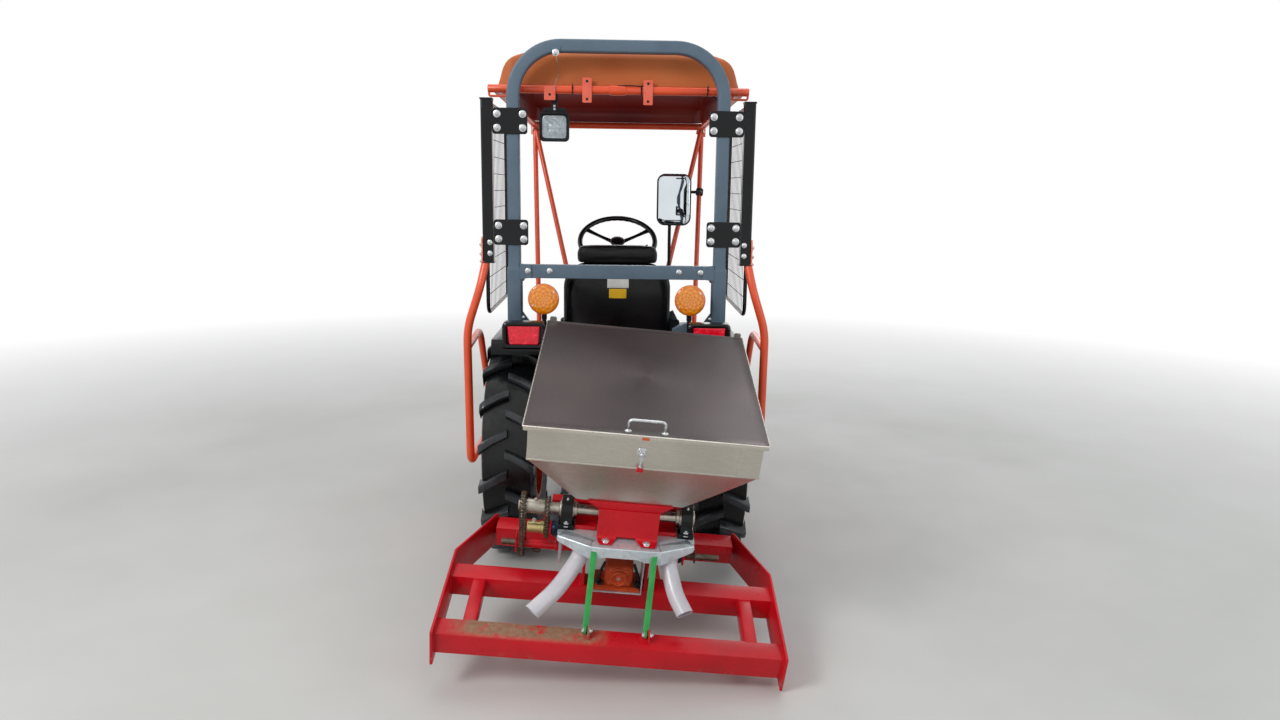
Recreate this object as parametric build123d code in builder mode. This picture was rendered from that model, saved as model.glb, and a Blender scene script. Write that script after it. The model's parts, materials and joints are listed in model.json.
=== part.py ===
import os
from math import atan2, cos, degrees, radians, sin

from build123d import *

# Compact tractor with a seed and fertiliser spreader carried on its three point hitch.
# Millimetres, +Z up, +Y the way the tractor drives, X to its right.
# The origin is on the floor under the middle of the outline's box.

# driving dimensions of the tractor
wheelbase = 1560
front_reach = 2010  # rear axle to the tow jaw
rear_reach = 1285  # rear axle to the back of the implement's side plates
axle_y = (rear_reach - front_reach) / 2
front_axle_y = axle_y + wheelbase
seat_gap = 0.3  # between a moving piece and what carries it
skin = 3  # pressed sheet

rear_wheel_r = 460
rear_tyre_width = 220
rear_track_half = 430
rear_rim_r = 235
rear_lug_height = 28
rear_lug_count = 17
front_wheel_r = 280
front_tyre_width = 136
front_track_half = 405
front_rim_r = 153
front_lug_height = 20
front_lug_count = 14

case_top = 560  # top of the transmission case
case_nose_top = 620  # its top at the engine's flange
case_bottom = 300
case_half = 120
axle_case_r = 62
axle_case_end = 290  # half width of the axle case at the wheel hub
frame_half = 118  # half width of the front frame, inside the steered wheels' sweep
kingpin_half = 300
axle_beam_z = 300
engine_length = 520

fender_top = 962
fender_inner = 284
fender_outer = 502
fender_rear = 280  # behind the axle
fender_front = 420
floor_top = 440
floor_front = axle_y + 985
floor_rear = axle_y + 505
floor_half = 425

hood_rear = axle_y + 955
hood_front = axle_y + 1935
hood_half = 212
hood_nose_half = 190
hood_bottom = 610
hood_top = 1075
hood_nose_top = 985
dash_top = 1130

hoop_y = axle_y - 100
hoop_half = 450
hoop_top = 2142
hoop_tube = 54
hoop_depth = 50
hoop_corner_r = 222
cross_bar_z = 1223
cross_bar_height = 56
plate_inner = 363
channel_inner = 505
channel_outer = 550
plate_rows = ((1382, 103), (1822, 102))  # centre height, height

canopy_rear = axle_y - 28
canopy_front = axle_y + 1130
canopy_half_rear = 505
canopy_half_front = 452
canopy_rim_rear = 1962
canopy_rim_front = 1895
canopy_shoulder = 1992  # where the rear section's round corners begin
canopy_corner = 96
canopy_crown = 2112
canopy_wall = 6
canopy_tube_r = 17

rail_tube_r = 17
rail_x = 617
rail_y = axle_y - 150
rail_low = floor_top - 8 - rail_tube_r - seat_gap  # under the platform's plate

steering_wheel_r = 200
steering_rim_r = 13
steering_tilt = 35
steering_centre = (0, axle_y + 720, 1303)

# driving dimensions of the implement, in its own frame: origin between the rear ends of its side
# plates, on their lower edge, turned with the plates as the hitch and the floor leave them
tool_pitch = 14
tool_roll = 4.7
tool_origin = (-20, axle_y - 1240, 52)
plate_height = 130
plate_thick = 10
tool_half_rear = 558
tool_half_front = 446
tool_kink = 410
tool_front = 645
rail_depth = 72
rail_height = 75
rail_base = 40
middle_rail_y = 280
strut_x = 450
strut_width = 42
lid_width = 745
lid_length = 830
lid_x = 49
lid_rear = 180
lid_top = 773
lid_skirt = 18
hopper_inset = 14  # hopper wall inside the lid's skirt
hopper_wall = 3
band_height = 118
outlet_x = 24
outlet_width = 348
outlet_rear = 262
outlet_front = 462
outlet_z = 475
shaft_y = 330
shaft_z = 390
shaft_r = 17
hitch_pin_y = 700
hitch_pin_z = 80
hitch_pin_half = 235
mast_pin_y = 700
mast_pin_z = 455

# three point hitch on the tractor
link_pivot_y = axle_y - 60
link_pivot_z = 330
top_pin_y = axle_y - 200
top_pin_z = 620
arm_pivot_y = axle_y - 60
arm_pivot_z = 700
arm_reach = 210
lift_eye_share = 0.5  # along the lower link, where the lift rod holds it


def level(z):
    """Plane at a height, seen from above."""
    return Plane.XY.offset(z)


def along(y):
    """Upright plane across the tractor at a distance forward, seen from behind."""
    return Plane.XZ.offset(-y)


def across(x):
    """Upright plane along the tractor at a distance to the right, Y then Z."""
    return Plane.YZ.offset(x)


pitch = radians(tool_pitch)
roll = radians(tool_roll)
tool_plane = Plane(
    origin=tool_origin,
    x_dir=(cos(roll), 0, -sin(roll)),
    z_dir=(cos(pitch) * sin(roll), -sin(pitch), cos(pitch) * cos(roll)),
)


def tool(plane):
    """A plane of the implement's own frame, carried to where the implement stands."""
    return Plane(tool_plane.location * plane.location)


def tool_point(x, y, z):
    """A point of the implement's own frame, in the tractor's frame."""
    return tool_plane.from_local_coords(Vector(x, y, z))


def between(start, end):
    """Plane at one point, facing another, for a bar drawn from the first to the second."""
    return Plane(origin=start, z_dir=Vector(*end) - Vector(*start))


def distance(start, end):
    return (Vector(*end) - Vector(*start)).length


def bent_tube(points, bend, tube_r):
    """Round tube along straight runs joined by bends, as one solid."""
    with BuildPart() as tube:
        with BuildLine() as path:
            FilletPolyline(*points, radius=bend)
        with BuildSketch(Plane(origin=path.line @ 0, z_dir=path.line % 0)):
            Circle(tube_r)
        sweep()
    return tube.part


def make_tyre(radius, width, rim_r, lug_height, lug_count, lug_width):
    """Farm tyre about X at the origin: flats with a lug on each, left and right rows in turn."""
    half = width / 2
    bead = half * 0.8
    tread = half * 0.86
    bead_top = rim_r + 18
    flats = 2 * lug_count
    pitch = 360 / flats
    tip = lug_width * 1.2  # half a lug's length round the tyre
    inner_end = (lug_width * 0.3, tip)
    outer_end = (-tip, -lug_width * 0.2)
    # the tips of the two neighbours of the lowest lug stand on the floor
    lug_top = (radius - tip * sin(radians(pitch))) / cos(radians(pitch))
    case_r = lug_top - lug_height
    belly_r = (rim_r + case_r) / 2
    quarter = (90 / pitch) % 1 * pitch  # turns a flat's middle to the top

    def ring(x, flat_r):
        with BuildSketch(across(x)) as outline:
            RegularPolygon(flat_r / cos(radians(pitch / 2)), flats, rotation=pitch / 2 + quarter)
        return outline.sketch

    with BuildPart() as lug:
        with BuildSketch(level(case_r - 16)):
            with BuildLine():
                Polyline(
                    (-4, inner_end[1]),
                    (-4, inner_end[0]),
                    (half, outer_end[0]),
                    (half, outer_end[1]),
                    close=True,
                )
            make_face()
        extrude(amount=lug_top - case_r + 16)
        with BuildSketch(along(tip + 1)):
            with BuildLine():
                Polyline(
                    (-5, case_r - 17),
                    (half, case_r - 50),
                    (half, lug_top - 12),
                    (tread, lug_top),
                    (-5, lug_top),
                    close=True,
                )
            make_face()
        extrude(amount=2 * tip + 2, mode=Mode.INTERSECT)
    with BuildPart() as other_lug:
        add(mirror(lug.part, about=Plane.YZ).rotate(Axis.X, pitch))
    with BuildPart() as dish:
        loft([ring(bead, bead_top), ring(half, belly_r - 12)], ruled=True)
    with BuildPart() as tyre:
        for inner, inner_r, outer, outer_r in (
            (-half, belly_r + 12, -tread, case_r - 4),
            (-tread, case_r - 4, tread, case_r - 4),
            (tread, case_r - 4, half, belly_r + 12),
        ):
            loft([ring(inner, inner_r), ring(outer, outer_r)], ruled=True)
        add(dish.part, mode=Mode.SUBTRACT)
        add(mirror(dish.part, about=Plane.YZ), mode=Mode.SUBTRACT)
        with BuildPart(mode=Mode.PRIVATE) as bore:
            with Locations(Location((0, 0, 0), (0, 90, 0))):
                Cylinder(rim_r, 2 * bead + 2)
        add(bore.part, mode=Mode.SUBTRACT)
        for n in range(lug_count):
            turn = 2 * pitch * n
            add([lug.part.rotate(Axis.X, turn), other_lug.part.rotate(Axis.X, turn)])
    return tyre.part


def make_rim(rim_r, tyre_width, disc_out, hub_r, hub_in, hub_out):
    """Pressed wheel about X at the origin: well, flanges, dished disc and hub in one turning."""
    bead = tyre_width / 2 * 0.8
    with BuildPart() as rim:
        with BuildSketch(Plane.XZ):
            with BuildLine():
                Polyline(
                    (-bead - 8, rim_r - 9),
                    (-bead - 8, rim_r + 14),
                    (-bead, rim_r + 14),
                    (-bead, rim_r),
                    (bead, rim_r),
                    (bead, rim_r + 14),
                    (bead + 8, rim_r + 14),
                    (bead + 8, rim_r - 9),
                    (disc_out + 26, rim_r - 9),
                    (disc_out, rim_r - 40),
                    (disc_out, hub_r),
                    (hub_out, hub_r),
                    (hub_out, 0),
                    (hub_in, 0),
                    (hub_in, hub_r),
                    (disc_out - 8, hub_r),
                    (disc_out - 8, rim_r - 44),
                    (disc_out + 14, rim_r - 9),
                    close=True,
                )
            make_face()
        revolve(axis=Axis.X)
    return rim.part


os.makedirs("parts", exist_ok=True)

# wheels
rear_tyre = make_tyre(rear_wheel_r, rear_tyre_width, rear_rim_r, rear_lug_height, rear_lug_count, 42)
front_tyre = make_tyre(front_wheel_r, front_tyre_width, front_rim_r, front_lug_height, front_lug_count, 28)
rear_hub_in = axle_case_end + seat_gap - rear_track_half
rear_rim = make_rim(rear_rim_r, rear_tyre_width, 6, 62, rear_hub_in, 30)
front_hub_in = kingpin_half + 52 + seat_gap - front_track_half
front_rim = make_rim(front_rim_r, front_tyre_width, 4, 46, front_hub_in, 34)

# name, tyre, rim, half track, axle height, distance forward
wheels = (
    ("rear", rear_tyre, rear_rim, rear_track_half, rear_wheel_r, axle_y),
    ("front", front_tyre, front_rim, front_track_half, front_wheel_r, front_axle_y),
)
sides = (("left", -1, 180), ("right", 1, 0))  # name, sign of X, turn about Z
for end, tyre, rim, half_track, height, forward in wheels:
    for side, sign, turn in sides:
        place = (sign * half_track, forward, height)
        with BuildPart() as wheel_tyre:
            with Locations(place):
                add(tyre)
        wheel_tyre.part.label = f"{end}_tyre_{side}"
        export_step(wheel_tyre.part, f"parts/{end}_tyre_{side}.step")
        with BuildPart() as wheel_rim:
            with Locations(Location(place, (0, 0, turn))):
                add(rim)
        wheel_rim.part.label = f"{end}_rim_{side}"
        export_step(wheel_rim.part, f"parts/{end}_rim_{side}.step")

# transmission case with its axle cases, lift housing and rear power shaft
with BuildPart() as transmission_case:
    with BuildSketch(across(0)):
        with BuildLine():
            Polyline(
                (axle_y + 60, case_bottom),
                (axle_y - 10, case_bottom + 40),
                (axle_y - 150, case_bottom + 40),
                (axle_y - 150, 620),
                (axle_y - 110, 660),
                (axle_y + 150, 660),
                (axle_y + 190, case_top),
                (axle_y + 700, case_top - 20),
                (axle_y + 960, case_nose_top),
                (axle_y + 960, case_bottom),
                (axle_y + 700, case_bottom + 40),
                (axle_y + 190, case_bottom),
                close=True,
            )
        make_face()
    extrude(amount=case_half, both=True)
    with Locations(Location((0, axle_y, rear_wheel_r), (0, 90, 0))):
        Cylinder(axle_case_r, 2 * axle_case_end)
        Cylinder(axle_case_r + 22, 2 * case_half + 50)
    with Locations(Location((0, axle_y - 150, 470), (90, 0, 0))):
        Cylinder(46, 30, align=(Align.CENTER, Align.CENTER, Align.MIN))
        Cylinder(17, 95, align=(Align.CENTER, Align.CENTER, Align.MIN))
    with Locations((0, axle_y - 185, top_pin_z)):
        Box(90, 90, 70)
    with Locations((0, axle_y - 230, top_pin_z)):
        Box(50, 70, 120, mode=Mode.SUBTRACT)
    with Locations(Location((0, top_pin_y, top_pin_z), (0, 90, 0))):
        Cylinder(24, 90)
        Cylinder(60, 50, mode=Mode.SUBTRACT)
        Cylinder(10, 90)
    with Locations((0, arm_pivot_y, arm_pivot_z - 10)):
        Box(2 * case_half - 20, 110, 90)
    for sign in (-1, 1):
        with Locations(Location((sign * (case_half - 10), arm_pivot_y, arm_pivot_z), (0, 90, 0))):
            Cylinder(18, 110)
        with Locations(Location((sign * (case_half + 50), link_pivot_y, link_pivot_z), (0, 90, 0))):
            Cylinder(14, 130)
transmission_case.part.label = "transmission_case"
export_step(transmission_case.part, "parts/transmission_case.step")

# engine as one heavy block with its sump
with BuildPart() as engine_block:
    with BuildSketch(across(0)):
        with BuildLine():
            Polyline(
                (axle_y + 960, 340),
                (axle_y + 960, 880),
                (axle_y + 960 + engine_length, 860),
                (axle_y + 960 + engine_length, 400),
                (axle_y + 1330, 400),
                (axle_y + 1290, 340),
                close=True,
            )
        make_face()
    extrude(amount=frame_half - 18, both=True)
engine_block.part.label = "engine_block"
export_step(engine_block.part, "parts/engine_block.step")

# front frame: two rails past the engine, a nose plate and the tow jaw
with BuildPart() as front_frame:
    with BuildSketch(across(frame_half - 18)):
        with BuildLine():
            Polyline(
                (axle_y + 1000, 420),
                (axle_y + 1000, 520),
                (axle_y + 1880, 520),
                (axle_y + 1930, 600),
                (axle_y + 1945, 600),
                (axle_y + 1945, 380),
                (axle_y + 1400, 395),
                close=True,
            )
        make_face()
    extrude(amount=18)
    mirror(about=Plane.YZ)
    with Locations((0, axle_y + 1955, 490)):
        Box(2 * frame_half, 20, 220)
    with Locations((0, axle_y + 1700, 430)):
        Box(2 * frame_half, 60, 60)
    with Locations((0, front_axle_y, 430)):
        Box(2 * frame_half - 20, 110, 70)
    with Locations((0, axle_y + 1965 + 45 / 2, 440)):
        Box(80, 45, 70)
        Box(110, 45, 30, mode=Mode.SUBTRACT)
        Cylinder(11, 70, mode=Mode.SUBTRACT)
front_frame.part.label = "front_frame"
export_step(front_frame.part, "parts/front_frame.step")

# front axle beam with its kingpin bosses
boss_low = axle_beam_z + 20
hub_case_r = 34
with BuildPart() as front_axle:
    with BuildSketch(along(front_axle_y)):
        with BuildLine():
            Polyline(
                (-kingpin_half + 34, axle_beam_z + 60),
                (-90, axle_beam_z + 86),
                (90, axle_beam_z + 86),
                (kingpin_half - 34, axle_beam_z + 60),
                (kingpin_half - 34, axle_beam_z + 24),
                (70, axle_beam_z - 20),
                (-70, axle_beam_z - 20),
                (-kingpin_half + 34, axle_beam_z + 24),
                close=True,
            )
        make_face()
    extrude(amount=38, both=True)
    with Locations(Location((0, front_axle_y, axle_beam_z + 30), (90, 0, 0))):
        Cylinder(62, 150)
    with Locations((0, front_axle_y, axle_beam_z + 80 - seat_gap)):
        Box(70, 76, 30)
    for sign in (-1, 1):
        with Locations((sign * kingpin_half, front_axle_y, boss_low)):
            Cylinder(40, 70, align=(Align.CENTER, Align.CENTER, Align.MIN))
front_axle.part.label = "front_axle"
export_step(front_axle.part, "parts/front_axle.step")

# steering knuckles: kingpin case above and below the boss, hub case and steering arm
arm_length = 120
for side, sign, turn in sides:
    with BuildPart() as knuckle:
        with Locations((sign * kingpin_half, front_axle_y, front_wheel_r - hub_case_r)):
            Cylinder(
                42,
                boss_low - seat_gap - front_wheel_r + hub_case_r,
                align=(Align.CENTER, Align.CENTER, Align.MIN),
            )
        with Locations(Location((sign * (kingpin_half + 6), front_axle_y, front_wheel_r), (0, 90, 0))):
            Cylinder(hub_case_r, 92)
        with Locations((sign * kingpin_half, front_axle_y - arm_length / 2, axle_beam_z - 33)):
            Box(30, arm_length, 16)
        with Locations((sign * kingpin_half, front_axle_y - arm_length, axle_beam_z - 33)):
            Cylinder(17, 16)
    knuckle.part.label = f"knuckle_{side}"
    export_step(knuckle.part, f"parts/knuckle_{side}.step")

# tie rod under the two steering arms
with BuildPart() as tie_rod:
    rod_z = axle_beam_z - 33 - 8 - seat_gap - 9
    with Locations(Location((0, front_axle_y - arm_length, rod_z), (0, 90, 0))):
        Cylinder(9, 2 * kingpin_half)
    for sign in (-1, 1):
        with Locations((sign * kingpin_half, front_axle_y - arm_length, rod_z)):
            Cylinder(15, 18)
tie_rod.part.label = "tie_rod"
export_step(tie_rod.part, "parts/tie_rod.step")

# hood: a tapered shell, open below and behind, with the grille's window in its nose
hood_sections = (  # distance forward, half width, top, bottom, corner radius
    (hood_rear, hood_half, hood_top, hood_bottom, 70),
    (hood_front - 190, hood_nose_half + 8, hood_nose_top + 18, hood_bottom, 66),
    (hood_front, hood_nose_half - 12, hood_nose_top - 75, hood_bottom + 15, 60),
)
hinge_x = 120
hinge_y = hood_rear + 3
hinge_z = hood_top + 10
hinge_eye_r = 9
hinge_pin_r = 5
hinge_width = 24
grille_half = 104
grille_low = hood_bottom + 60
grille_high = hood_nose_top - 125
headlamp_x = 140
headlamp_half = 26
headlamp_high = 84
headlamp_z = grille_high - headlamp_high / 2


def hood_outline(half, top, bottom, corner, wall, open_below):
    """Arched section of the hood, drawn in by the sheet's thickness when it is the inside."""
    low = bottom - open_below
    Polyline(
        (-half + wall, top - corner),
        (-half + wall, low),
        (half - wall, low),
        (half - wall, top - corner),
    )
    RadiusArc((half - wall, top - corner), (half - corner, top - wall), -(corner - wall))
    Line((half - corner, top - wall), (-half + corner, top - wall))
    RadiusArc((-half + corner, top - wall), (-half + wall, top - corner), -(corner - wall))


with BuildPart() as hood:
    for forward, half, top, bottom, corner in hood_sections:
        with BuildSketch(along(forward)):
            with BuildLine():
                hood_outline(half, top, bottom, corner, 0, 0)
            make_face()
    loft(ruled=True)
with BuildPart() as hood_inside:
    for forward, half, top, bottom, corner in hood_sections:
        with BuildSketch(along(forward - skin if forward == hood_front else forward - 1)):
            with BuildLine():
                hood_outline(half, top, bottom, corner, skin, 30)
            make_face()
    loft(ruled=True)
with BuildPart() as bonnet:
    add(hood.part)
    add(hood_inside.part, mode=Mode.SUBTRACT)
    with Locations((0, hood_front, (grille_low + grille_high) / 2)):
        Box(2 * grille_half, 80, grille_high - grille_low, mode=Mode.SUBTRACT)
    with Locations((headlamp_x, hood_front, headlamp_z), (-headlamp_x, hood_front, headlamp_z)):
        Box(2 * headlamp_half, 80, headlamp_high, mode=Mode.SUBTRACT)
    for sign in (-1, 1):
        with Locations(Location((sign * hinge_x, hinge_y, hinge_z), (0, 90, 0))):
            Cylinder(hinge_eye_r, hinge_width)
        with Locations((sign * hinge_x, hinge_y + 16, hood_top + 3)):
            Box(hinge_width, 32, 10)
        with Locations(Location((sign * hinge_x, hinge_y, hinge_z), (0, 90, 0))):
            Cylinder(hinge_pin_r + seat_gap, 2 * hinge_width, mode=Mode.SUBTRACT)
bonnet.part.label = "bonnet"
export_step(bonnet.part, "parts/bonnet.step")

# grille: a frame with slats in the nose's window
with BuildPart() as grille:
    high = grille_high - grille_low - 2 * seat_gap
    with Locations((0, hood_front - 12, (grille_low + grille_high) / 2)):
        Box(2 * (grille_half - seat_gap), 18, high)
        Box(2 * (grille_half - 14), 30, high - 28, mode=Mode.SUBTRACT)
    slats = int((high - 28) // 22)
    for n in range(slats):
        with Locations((0, hood_front - 12, grille_low + 14 + (n + 0.5) * (high - 28) / slats)):
            Box(2 * (grille_half - 14), 12, 7)
grille.part.label = "grille"
export_step(grille.part, "parts/grille.step")

# headlamps in their own windows beside it
with BuildPart() as headlamps:
    with Locations((headlamp_x, hood_front - 16, headlamp_z)):
        Box(2 * (headlamp_half - seat_gap), 30, headlamp_high - 2 * seat_gap)
    mirror(about=Plane.YZ)
headlamps.part.label = "headlamps"
export_step(headlamps.part, "parts/headlamps.step")

# dash cowl with the steering column
column_dir = (0, -sin(radians(steering_tilt)), cos(radians(steering_tilt)))
column_plane = Plane(origin=steering_centre, x_dir=(1, 0, 0), z_dir=column_dir)
with BuildPart() as dash:
    with BuildSketch(across(0)):
        with BuildLine():
            Polyline(
                (hood_rear - 8, case_nose_top - 4 + seat_gap),
                (hood_rear - 8, dash_top - 20),
                (hood_rear - 60, dash_top),
                (hood_rear - 130, dash_top - 60),
                (hood_rear - 60, case_nose_top - 20 + seat_gap),
                close=True,
            )
        make_face()
    extrude(amount=hood_half - 20, both=True)
    fillet(dash.edges().filter_by(Axis.X).group_by(Axis.Z)[-1], 16)
    with BuildSketch(column_plane.offset(-30)):
        Circle(24)
    extrude(amount=-270)
    for sign in (-1, 1):
        for side_x in (-1, 1):
            with Locations((sign * hinge_x + side_x * (hinge_width / 2 + 5), hood_rear - 1, hinge_z)):
                Box(9, 22, 14)
        with Locations(Location((sign * hinge_x, hinge_y, hinge_z), (0, 90, 0))):
            Cylinder(hinge_pin_r, hinge_width + 18)
dash.part.label = "dash"
export_step(dash.part, "parts/dash.step")

# steering wheel: rim, three spokes and hub
with BuildPart(column_plane) as steering_wheel:
    Torus(steering_wheel_r - steering_rim_r, steering_rim_r)
    with Locations((0, 0, -14)):
        Cylinder(30, 30)
    with PolarLocations(0, 3, start_angle=-90):
        with Locations((steering_wheel_r / 2, 0, -6)):
            Box(steering_wheel_r - 2 * steering_rim_r, 22, 8)
steering_wheel.part.label = "steering_wheel"
export_step(steering_wheel.part, "parts/steering_wheel.step")

# foot platform either side of the case
with BuildPart() as floor:
    with Locations((0, (floor_rear + floor_front) / 2, floor_top - 4)):
        Box(2 * floor_half, floor_front - floor_rear, 8)
        Box(2 * (case_half + 10), floor_front - floor_rear + 20, 20, mode=Mode.SUBTRACT)
    for forward in (floor_rear + 60, floor_front - 60):
        with Locations((0, forward, floor_top - 20)):
            Box(2 * floor_half - 60, 40, 24)
            Box(2 * case_half, 60, 60, mode=Mode.SUBTRACT)
floor.part.label = "floor"
export_step(floor.part, "parts/floor.step")

# fenders over the rear wheels, each with its inner wall
for side, sign, turn in sides:
    with BuildPart() as fender:
        with BuildSketch(across(sign * fender_inner)):
            with BuildLine():
                Polyline(
                    (axle_y - fender_rear, fender_top - 60),
                    (axle_y - fender_rear, fender_top - 12),
                    (axle_y - fender_rear + 12, fender_top),
                    (axle_y + 260, fender_top),
                    (axle_y + fender_front, fender_top - 130),
                    (axle_y + fender_front + 120, floor_top),
                    (axle_y + fender_front + 120 - 14, floor_top),
                    (axle_y + fender_front - 12, fender_top - 134),
                    (axle_y + 255, fender_top - skin - 2),
                    (axle_y - fender_rear + 14, fender_top - skin - 2),
                    (axle_y - fender_rear + 5, fender_top - 14),
                    (axle_y - fender_rear + 5, fender_top - 60),
                    close=True,
                )
            make_face()
        extrude(amount=sign * (fender_outer - fender_inner))
        with BuildSketch(across(sign * fender_inner)):
            with BuildLine():
                Polyline(
                    (axle_y - fender_rear + 2, fender_top - 60),
                    (axle_y - fender_rear + 2, fender_top - 12),
                    (axle_y - fender_rear + 13, fender_top - 2),
                    (axle_y + 260, fender_top - 2),
                    (axle_y + fender_front - 4, fender_top - 132),
                    (axle_y + fender_front + 112, floor_top),
                    (axle_y + 200, floor_top),
                    (axle_y + 60, 620),
                    (axle_y - 200, 700),
                    close=True,
                )
            make_face()
        extrude(amount=sign * skin)
    fender.part.label = f"fender_{side}"
    export_step(fender.part, f"parts/fender_{side}.step")

# tail lamp boxes behind the fenders' ends, each with its lens
lamp_x = 366
lamp_z = 989
lamp_width = 172
lamp_high = 108
lamp_deep = 58
lens_width = 122
lens_high = 78
lamp_back = axle_y - fender_rear - lamp_deep
with BuildPart() as tail_lamps:
    with Locations((lamp_x, lamp_back + lamp_deep / 2, lamp_z)):
        Box(lamp_width, lamp_deep, lamp_high)
    with Locations((lamp_x, lamp_back, lamp_z + 3)):
        Box(lens_width, 40, lens_high, mode=Mode.SUBTRACT)
    mirror(about=Plane.YZ)
tail_lamps.part.label = "tail_lamps"
export_step(tail_lamps.part, "parts/tail_lamps.step")

with BuildPart() as tail_lenses:
    with Locations((lamp_x, lamp_back + 11, lamp_z + 3)):
        Box(lens_width, 18, lens_high)
    mirror(about=Plane.YZ)
tail_lenses.part.label = "tail_lenses"
export_step(tail_lenses.part, "parts/tail_lenses.step")

# seat: pan on its bracket, back shell and the thick pad along its top
seat_back_y = axle_y + 195
with BuildPart() as seat:
    with Locations((0, seat_back_y + 250, 800)):
        Box(440, 430, 90)
    fillet(seat.edges().filter_by(Axis.Z), 60)
    fillet(seat.faces().sort_by(Axis.Z)[-1].edges(), 25)
    with BuildSketch(along(seat_back_y + 70)):
        with BuildLine():
            Polyline((-240, 1100), (-240, 790), (240, 790), (240, 1100))
            RadiusArc((240, 1100), (130, 1235), -150)
            Line((130, 1235), (-130, 1235))
            RadiusArc((-130, 1235), (-240, 1100), -150)
        make_face()
    extrude(amount=70)
    with Locations((0, seat_back_y + 147, case_top + 148 + seat_gap / 2)):
        Box(240, 485, 96 - seat_gap)
seat.part.label = "seat"
export_step(seat.part, "parts/seat.step")

with BuildPart() as seat_pad:
    with Locations((0, seat_back_y + 35, 1235 + seat_gap + 38)):
        Box(360, 90, 76)
    fillet(seat_pad.edges().filter_by(Axis.X), 25)
seat_pad.part.label = "seat_pad"
export_step(seat_pad.part, "parts/seat_pad.step")

# roll-over hoop: a bent rectangular tube with its feet brought in to the axle case
hoop_line = hoop_half - hoop_tube


def hoop_outline(half, top, corner):
    Polyline((-half, top - corner), (-half, fender_top + 28), (half, fender_top + 28), (half, top - corner))
    RadiusArc((half, top - corner), (half - corner, top), -corner)
    Line((half - corner, top), (-half + corner, top))
    RadiusArc((-half + corner, top), (-half, top - corner), -corner)


foot_inner = fender_inner - 50
with BuildPart() as rops_hoop:
    with BuildSketch(along(hoop_y)):
        with BuildLine():
            hoop_outline(hoop_half, hoop_top, hoop_corner_r)
        make_face()
        with BuildLine():
            hoop_outline(hoop_line, hoop_top - hoop_tube + 8, hoop_corner_r - hoop_tube)
        make_face(mode=Mode.SUBTRACT)
    extrude(amount=hoop_depth / 2, both=True)
    for sign in (-1, 1):
        with BuildSketch(along(hoop_y)):
            with BuildLine():
                Polyline(
                    (sign * hoop_half, fender_top + 48),
                    (sign * foot_inner, fender_top + 48),
                    (sign * foot_inner, rear_wheel_r + axle_case_r - 20),
                    (sign * (fender_inner - 6), rear_wheel_r + axle_case_r - 20),
                    (sign * (fender_inner - 6), fender_top + seat_gap),
                    (sign * hoop_half, fender_top + seat_gap),
                    close=True,
                )
            make_face()
        extrude(amount=hoop_depth / 2, both=True)
    with Locations(Location((0, hoop_y, hoop_top - 20), (90, 0, 0))):
        Cylinder(6, 80, mode=Mode.SUBTRACT)
rops_hoop.part.label = "rops_hoop"
export_step(rops_hoop.part, "parts/rops_hoop.step")

with BuildPart() as rops_crossbar:
    with Locations((0, hoop_y - hoop_depth / 2 + 5, cross_bar_z)):
        Box(2 * hoop_line, 8, cross_bar_height)
    with Locations((0, hoop_y - hoop_depth / 2 + 20, cross_bar_z + cross_bar_height / 2 - 3)):
        Box(2 * hoop_line, 32, 6)
rops_crossbar.part.label = "rops_crossbar"
export_step(rops_crossbar.part, "parts/rops_crossbar.step")

# clamp plates behind the hoop's posts, carrying the side guards
with BuildPart() as clamp_plates:
    for height, high in plate_rows:
        with Locations(((plate_inner + channel_inner) / 2, hoop_y - hoop_depth / 2 - 4, height)):
            Box(channel_inner - plate_inner - 2 * seat_gap, 8, high)
    mirror(about=Plane.YZ)
clamp_plates.part.label = "clamp_plates"
export_step(clamp_plates.part, "parts/clamp_plates.step")

# side guards: a black channel by each post, and a tube frame with its wires running forward
guard_low = 1035
guard_high = 1914
guard_front = axle_y + 610
guard_back = hoop_y + 10
guard_x = (channel_inner + channel_outer) / 2 + 10
guard_tube = 16
wire = 4
with BuildPart() as side_guards:
    with Locations(((channel_inner + channel_outer) / 2, hoop_y - 7.5, 1584)):
        Box(channel_outer - channel_inner, 51, 648)
    with BuildSketch(across(guard_x)):
        with Locations(((guard_back + guard_front) / 2, (guard_low + guard_high) / 2)):
            RectangleRounded(guard_front - guard_back, guard_high - guard_low, 60)
            RectangleRounded(
                guard_front - guard_back - 2 * guard_tube,
                guard_high - guard_low - 2 * guard_tube,
                60 - guard_tube,
                mode=Mode.SUBTRACT,
            )
    extrude(amount=guard_tube / 2, both=True)
    wire_count = 16
    wire_span = guard_front - guard_back - 2 * guard_tube
    for n in range(1, wire_count):
        forward = guard_back + guard_tube + n * wire_span / wire_count
        with Locations((guard_x, forward, (guard_low + guard_high) / 2)):
            Box(wire, wire, guard_high - guard_low - guard_tube)
    for n in range(1, 6):
        height = guard_low + n * (guard_high - guard_low) / 6
        with Locations((guard_x, (guard_back + guard_front) / 2, height)):
            Box(wire, wire_span + guard_tube, wire)
    mirror(about=Plane.YZ)
side_guards.part.label = "side_guards"
export_step(side_guards.part, "parts/side_guards.step")

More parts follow.
